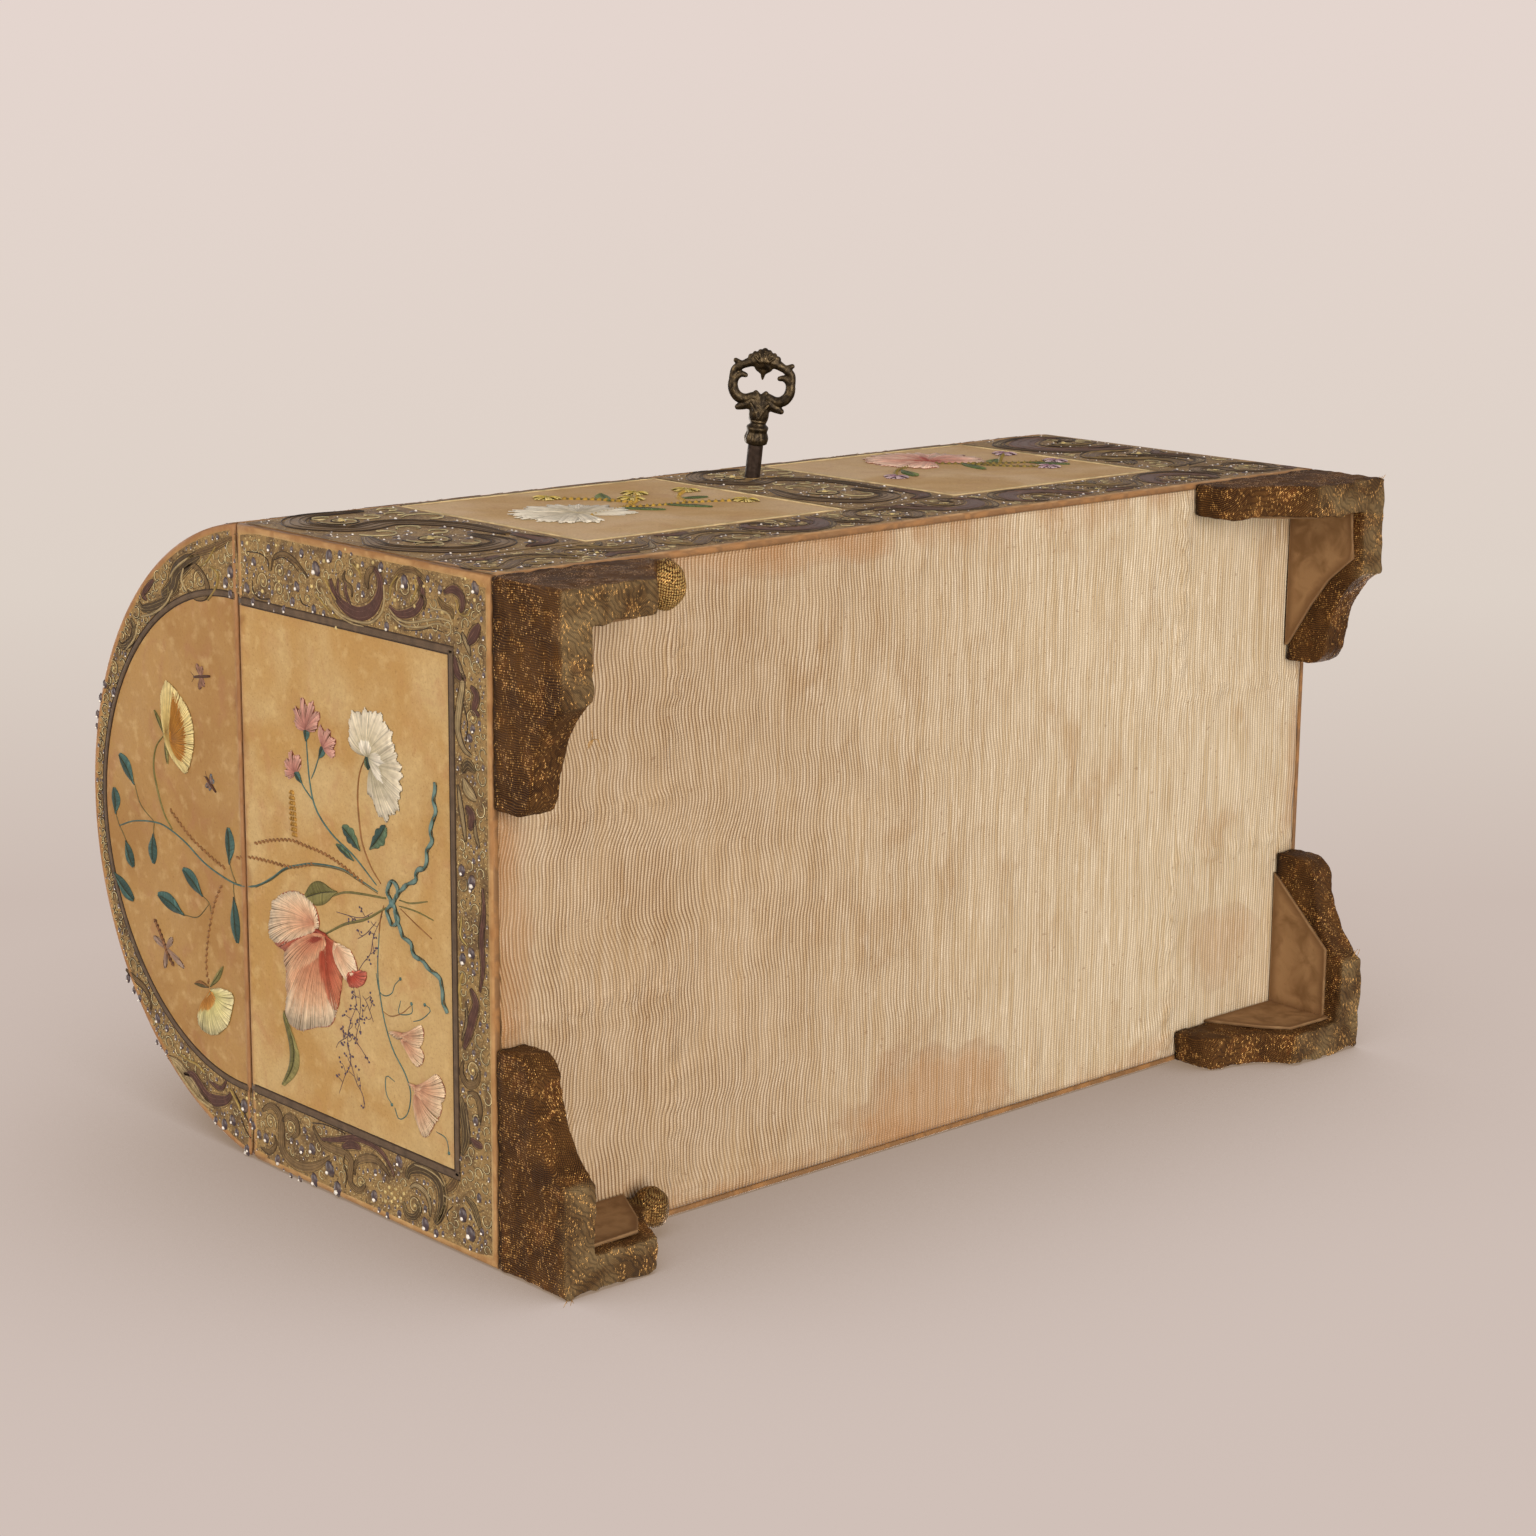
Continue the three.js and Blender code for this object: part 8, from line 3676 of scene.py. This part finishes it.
@dataclass
class Borders:
    """Where the scroll borders and the cords beside them run on each side."""

    rim: float = 1.8
    side: float = 17.9
    base: float = 13.4
    cord: float = 2.4
    crown: float = 3.4

    def sew(self) -> None:
        """Sews the borders of all sides."""
        for side, sign in (("left", -1), ("right", 1)):
            self._end(side, sign)
        self._front()
        self._back()
        self._dome()

    def _scrolls(
        self, ground: Strip | ArchBand, body: str, seed: int, name: str, grain: float, detail: float
    ) -> None:
        """One band.

        Args:
            ground: the band.
            body: its CAD body.
            seed: the start of its random numbers.
            name: the start of its pieces' names.
            grain: how fine its cords and beads are against its width.
            detail: how many of them there are.
        """
        ScrollBorder(grain=grain, detail=detail).sew(ground, body, seed, name)

    def _end(self, side: str, sign: int) -> None:
        """The borders of an end and of the lid's arch above it."""
        face = SIZE.end(sign)
        half, top = SIZE.half_depth, SIZE.height - 0.6
        low = self.rim + self.base
        bands: list[Strip | ArchBand] = [
            Strip(
                face, (edge * (half - self.rim), low), (0, 1), (-edge, 0), self.side, top - low
            ) for edge in (-1, 1)
        ]
        start, length = (-half + self.rim, self.rim), 2 * (half - self.rim)
        bands.append(Strip(face, start, (1, 0), (0, 1), self.base, length))
        middle = SIZE.dome_middle - SIZE.bottom
        reach = math.acos((SIZE.height + 0.9 - middle) / SIZE.radius)
        arch = ArchBand(face, SIZE.radius - self.rim * 0.8, middle, reach, self.side, self.crown)
        bands.append(arch)
        if sign < 0:
            EndScrolls().sew(bands)
        else:
            for number, band in enumerate(bands):
                body = "lid" if band is arch else "box"
                self._scrolls(band, body, 31 + number, f"{side}_end_border_{number + 1}", 1.0, 0.5)
        work = Needlework(face, "box", 35, SIZE.height)
        inner = half - self.rim - self.side - self.cord / 2
        for edge in (-1, 1):
            self._line(work, ((edge * inner, low), (edge * inner, top)))
        self._line(work, ((-inner, low + self.cord / 2), (inner, low + self.cord / 2)))
        angles = np.linspace(-reach, reach, 60)
        radii = SIZE.radius - self.rim * 0.8 - arch.widths(angles) - self.cord * 0.45
        self._line(
            work, np.stack([radii * np.sin(angles), middle + radii * np.cos(angles)], -1), 0.8
        )
        work.build(f"{side}_end_cord")

    def _line(
        self, work: Needlework, points: Sequence[Sequence[float]], share: float = 1.0
    ) -> None:
        """A flat mauve band with fine threads along it.

        Args:
            work: the needlework.
            points: what the cords follow.
            share: their width against the usual one.
        """
        line = smooth_line(points, 1.6)
        run = np.gradient(line, axis=0)
        run /= np.maximum(np.linalg.norm(run, axis=1, keepdims=True), 1e-9)
        left = np.stack([-run[:, 1], run[:, 0]], -1)
        width = self.cord * share
        for shift, color, size, profile in (
            (0.0, "5c4a38", 1.0, Profile.BAND), (-0.46, "352619", 0.18, Profile.THREAD),
            (0.46, "352619", 0.18, Profile.THREAD), (-0.2, "7c6a50", 0.14, Profile.THREAD),
        ):
            path = np.concatenate([line + left * shift * width, np.zeros((len(line), 1))], 1)
            work.lay(path, width * size, 0.3, work.uneven(color, (len(line),), 0.12)[None], profile)

    def _frame(self, work: Needlework, low: Spot, high: Spot) -> None:
        """A thin pale line round a panel."""
        corners = (low, (high[0], low[1]), high, (low[0], high[1]), low)
        for start, end in zip(corners, corners[1:]):
            work.thread((start, end), 0.7, "d8c394", 0.0, 3.0)

    def _front(self) -> None:
        """The front's bottom band, three blocks and two framed panels."""
        face = SIZE.front()
        wide = SIZE.half_length - self.rim
        top = SIZE.height - 1.6
        base = Strip(face, (-wide, self.rim), (1, 0), (0, 1), 24.6, 2 * wide)
        self._scrolls(base, "box", 41, "front_border_1", 0.85, 0.9)
        for number, (start, end) in enumerate(((-wide, -108.5), (-13.5, 28.5), (117.5, wide))):
            strip = Strip(face, (start, 26.6), (0, 1), (1, 0), end - start, top - 26.6)
            self._scrolls(strip, "box", 42 + number, f"front_border_{number + 2}", 0.5, 1.6)
        work = Needlework(face, "box", 46)
        for start, end in ((-107.0, -15.0), (30.0, 116.0)):
            self._frame(work, (start, 28.0), (end, top - 1.0))
        self._line(work, ((-107.0, top), (-15.0, top)), 0.5)
        self._line(work, ((30.0, top), (116.0, top)), 0.5)
        work.build("front_lines")

    def _back(self) -> None:
        """The back's four bands."""
        self._ring(
            SIZE.back(),
            "box",
            "back",
            (-SIZE.half_length + self.rim, self.rim),
            (SIZE.half_length - self.rim, SIZE.height - self.rim),
            20.0, 51,
        )

    def _dome(self) -> None:
        """The dome's four bands."""
        arc = SIZE.radius * math.acos((SIZE.seam - SIZE.dome_middle) / SIZE.radius) - self.rim - 0.4
        wide = SIZE.half_length - self.rim
        self._ring(SIZE.vault(), "lid", "dome", (-wide, -arc), (wide, arc), 26.0, 61)

    def _ring(
        self, ground: Ground, body: str, name: str, low: Spot, high: Spot, width: float, seed: int
    ) -> None:
        """Four bands round a rectangle, with a cord inside them.

        Args:
            ground: the surface.
            body: its CAD body.
            name: the start of the pieces' names.
            low: the lower left corner.
            high: the upper right corner.
            width: the bands' width.
            seed: the start of their random numbers.
        """
        bands = (
            (low, (1, 0), (0, 1), high[0] - low[0]),
            ((low[0], high[1]), (1, 0), (0, -1), high[0] - low[0]),
            ((low[0], low[1] + width), (0, 1), (1, 0), high[1] - low[1] - 2 * width),
            ((high[0], low[1] + width), (0, 1), (-1, 0), high[1] - low[1] - 2 * width),
        )
        for number, (start, heading, inward, length) in enumerate(bands):
            strip = Strip(ground, start, heading, inward, width, length)
            self._scrolls(strip, body, seed + number, f"{name}_border_{number + 1}", 0.8, 0.4)
        work = Needlework(ground, body, seed + 9)
        a, b = (low[0] + width + 1.5, low[1] + width + 1.5), (
            high[0] - width - 1.5, high[1] - width - 1.5
        )
        for start, end in (
            ((a[0], a[1]), (b[0], a[1])),
            ((b[0], a[1]), (b[0], b[1])),
            ((b[0], b[1]), (a[0], b[1])),
            ((a[0], b[1]), (a[0], a[1])),
        ):
            self._line(work, (start, end))
        work.build(f"{name}_cord")


def sew_flowers() -> None:
    """Sews the flowers of every side."""
    EndSpray().sew()
    FrontSprays().sew()
    right = Needlework(SIZE.end(1), "box", 71, SIZE.height, 2.0)
    Bouquet((0.0, 66.0), 58.0, 71).sew(right)
    right.build("right_spray")
    back = Needlework(SIZE.back(), "box", 72, None, 2.0)
    for number, x in enumerate((-70.0, 70.0)):
        Bouquet((x, 52.0), 32.0, 72 + number).sew(back)
    back.build("back_sprays")
    dome = Needlework(SIZE.vault(), "lid", 74, None, 2.6)
    for number, x in enumerate((-75.0, 75.0)):
        Bouquet((x, 0.0), 62.0, 74 + number).sew(dome)
    dome.build("dome_sprays")


def dress_nodes() -> None:
    """Gives every CAD node that still shows the finish of its slot."""
    finishes = {
        "board": WOOD, "card": CARD, "steel": STEEL, "brass": BRASS, "bronze": BRONZE,
        "lining": LINING,
        "parchment": PARCHMENT, "silk": SILK, "lame": LAME,
    }
    for part in frame["record"]["subparts"]:
        node = frame["nodes"][part["node"]]
        node.data.materials[0] = finishes[part["material_slot"]].material()


# ---- Camera, light and ground


@dataclass
class Photographer:
    """The photo's camera, solved from the casket's corners."""

    place: Color = (-0.6329, -0.2002, -0.5896)
    right: Color = (0.73898926, -0.00887533, -0.67365874)
    up: Color = (0.14317764, -0.97500325, 0.1699083)
    ahead: Color = (0.65832745, 0.22201328, 0.71924618)
    lens: float = 75.33

    def build(self) -> None:
        """Stands the camera up."""
        data = bpy.data.cameras.new("photo_camera")
        data.lens = self.lens
        data.sensor_width = 36.0
        data.clip_start = 0.01
        camera = bpy.data.objects.new("photo_camera", data)
        bpy.context.scene.collection.objects.link(camera)
        columns = Matrix((self.right, self.up, [-v for v in self.ahead])).transposed()
        camera.matrix_world = Matrix.Translation(self.place) @ columns.to_4x4()
        bpy.context.scene.camera = camera


@dataclass
class Studio:
    """Soft lamps, a pale world, the floor and the shadow that the photo's ground catches."""

    camera: Photographer = field(default_factory=Photographer)
    main: float = 8.0
    fill: float = 4.8
    ambient: float = 0.29

    def build(self) -> None:
        """Makes everything that isn't the casket."""
        scene = bpy.context.scene
        scene.view_settings.view_transform = "Standard"
        ahead, up, right = (
            Vector(v) for v in (self.camera.ahead, self.camera.up, self.camera.right)
        )
        self._lamp("key_light", -ahead * 0.8 + right * 0.45 - up * 0.02, 1.3, self.main, "fff6ee")
        self._lamp("fill_light", -ahead * 0.6 - right * 0.7 + up * 0.12, 1.3, self.fill, "fff4ea")
        self._lamp("top_light", Vector((0.2, 0.1, 1.0)), 1.4, self.main * 0.5, "fffaf4")
        self._lamp("back_light", Vector((0.9, 0.7, 0.5)), 1.3, self.main * 0.62, "fff8f2")
        self._world(up)
        self._floor()
        self._shadow_catcher(ahead)

    def _lamp(self, name: str, heading: Vector, size: float, power: float, code: str) -> None:
        """Hangs one soft square lamp that faces the casket.

        Args:
            name: its name.
            heading: the way to it from the casket.
            size: its side, in metres.
            power: its power, in watts.
            code: its colour.
        """
        data = bpy.data.lights.new(name, "AREA")
        data.size = size
        data.energy = power * 4
        data.color = tint(code)
        lamp = bpy.data.objects.new(name, data)
        bpy.context.scene.collection.objects.link(lamp)
        target = Vector((0, 0.019, 0.11))
        lamp.location = target + heading.normalized() * 1.7
        lamp.rotation_euler = (lamp.location - target).to_track_quat("Z", "Y").to_euler()
        lamp.visible_camera = False

    def _world(self, up: Vector) -> None:
        """The light from all round, and the photo's pale ground as the camera sees it."""
        world = bpy.data.worlds.new("studio")
        bpy.context.scene.world = world
        world.use_nodes = True
        board = Board(world.node_tree)
        background = world.node_tree.nodes["Background"]
        heading = board.node("ShaderNodeTexCoord", output="Generated")
        height = board.node(
            "ShaderNodeVectorMath",
            {"operation": "DOT_PRODUCT"},
            {0: heading, 1: tuple(up)},
            "Value",
        )
        share = board.node(
            "ShaderNodeMapRange", inputs={"Value": height, "From Min": -0.22, "From Max": 0.22}
        )
        stops = [(0.0, "d0c0b8"), (0.41, "cbbbb2"), (0.62, "ddd1c7"), (1.0, "e4d5ce")]
        seen = board.node("ShaderNodeValToRGB", {"stops": stops}, {0: share})
        path = board.node("ShaderNodeLightPath").socket.node.outputs
        rays = Signal(board, path["Is Camera Ray"])
        for kind in ("Is Glossy Ray", "Is Transmission Ray"):
            rays = rays.math("MAXIMUM", Signal(board, path[kind]))
        board.feed(background.inputs["Color"], board.blend(rays, "fbf2ea", seen))
        board.feed(background.inputs["Strength"], rays * (1.0 - self.ambient) + self.ambient)

    def _floor(self) -> None:
        """The floor under the feet: pale from above, clear from below and far out."""
        floor = self._sheet("floor", [(-2, -2, 0), (2, -2, 0), (2, 2, 0), (-2, 2, 0)])
        board, surface = self._clear(floor)
        seen = board.node("ShaderNodeNewGeometry", output="Backfacing")
        place = board.node("ShaderNodeTexCoord", output="Object")
        reach = board.node("ShaderNodeVectorMath", {"operation": "LENGTH"}, {0: place}, "Value")
        share = (1.0 - seen) * reach.rising(1.7, 0.7)
        paper = board.node("ShaderNodeBsdfDiffuse", inputs={"Color": opaque("e0d4cb")})
        clear = board.node("ShaderNodeBsdfTransparent")
        board.feed(
            surface, board.node("ShaderNodeMixShader", inputs={0: share, 1: clear, 2: paper})
        )

    def _shadow_catcher(self, ahead: Vector) -> None:
        """The plane that the casket lies on in the photo. Only its soft shadow shows there."""
        y = (SIZE.middle_y + SIZE.half_depth + 0.4) * MM
        plane = self._sheet(
            "photo_ground", [(-1, y, -0.8), (1, y, -0.8), (1, y, 1.0), (-1, y, 1.0)]
        )
        board, surface = self._clear(plane)
        looking = board.node("ShaderNodeNewGeometry", output="Incoming")
        toward = board.node(
            "ShaderNodeVectorMath",
            {"operation": "DOT_PRODUCT"},
            {0: looking, 1: tuple(-ahead)},
            "Value",
        )
        shut = board.node("ShaderNodeAmbientOcclusion", {"samples": 12}, {"Distance": 0.17}, "AO")
        depth = (1.0 - shut).math("MULTIPLY", 2.0).rising(0.0, 1.62) * toward.rising(0.86, 0.94)
        color = board.blend(depth, (1.0, 1.0, 1.0, 1.0), (0.46, 0.39, 0.3, 1.0))
        board.feed(surface, board.node("ShaderNodeBsdfTransparent", inputs={"Color": color}))

    @staticmethod
    def _sheet(name: str, corners: list[tuple[float, float, float]]) -> bpy.types.Object:
        """A flat stage piece that only the camera sees."""
        mesh = bpy.data.meshes.new(name)
        mesh.from_pydata(corners, [], [(0, 1, 2, 3)])
        made = bpy.data.objects.new(name, mesh)
        bpy.context.scene.collection.objects.link(made)
        for ray in ("visible_diffuse", "visible_glossy", "visible_transmission", "visible_shadow"):
            setattr(made, ray, False)
        return made

    @staticmethod
    def _clear(made: bpy.types.Object) -> tuple[Board, bpy.types.NodeSocket]:
        """Gives a stage piece an empty material and returns its board and output."""
        material = bpy.data.materials.new(made.name)
        material.use_nodes = True
        made.data.materials.append(material)
        tree = material.node_tree
        tree.nodes.remove(tree.nodes["Principled BSDF"])
        return Board(tree), tree.nodes["Material Output"].inputs["Surface"]


def main() -> None:
    """Builds the casket's looks, piece by piece."""
    logging.basicConfig(level=logging.INFO, format="%(name)s: %(message)s")
    Photographer().build()
    Studio().build()
    dress_nodes()
    Parchments().build()
    Underside().build()
    Linings().build()
    for row in ("front", "back"):
        for side in ("left", "right"):
            Foot(row, side).build()
            FootCard(row, side).build()
    FrayedThreads().sew()
    Key().build()
    HingeScrews().build()
    Borders().sew()
    sew_flowers()
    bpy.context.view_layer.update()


if __name__ == "__main__":
    main()
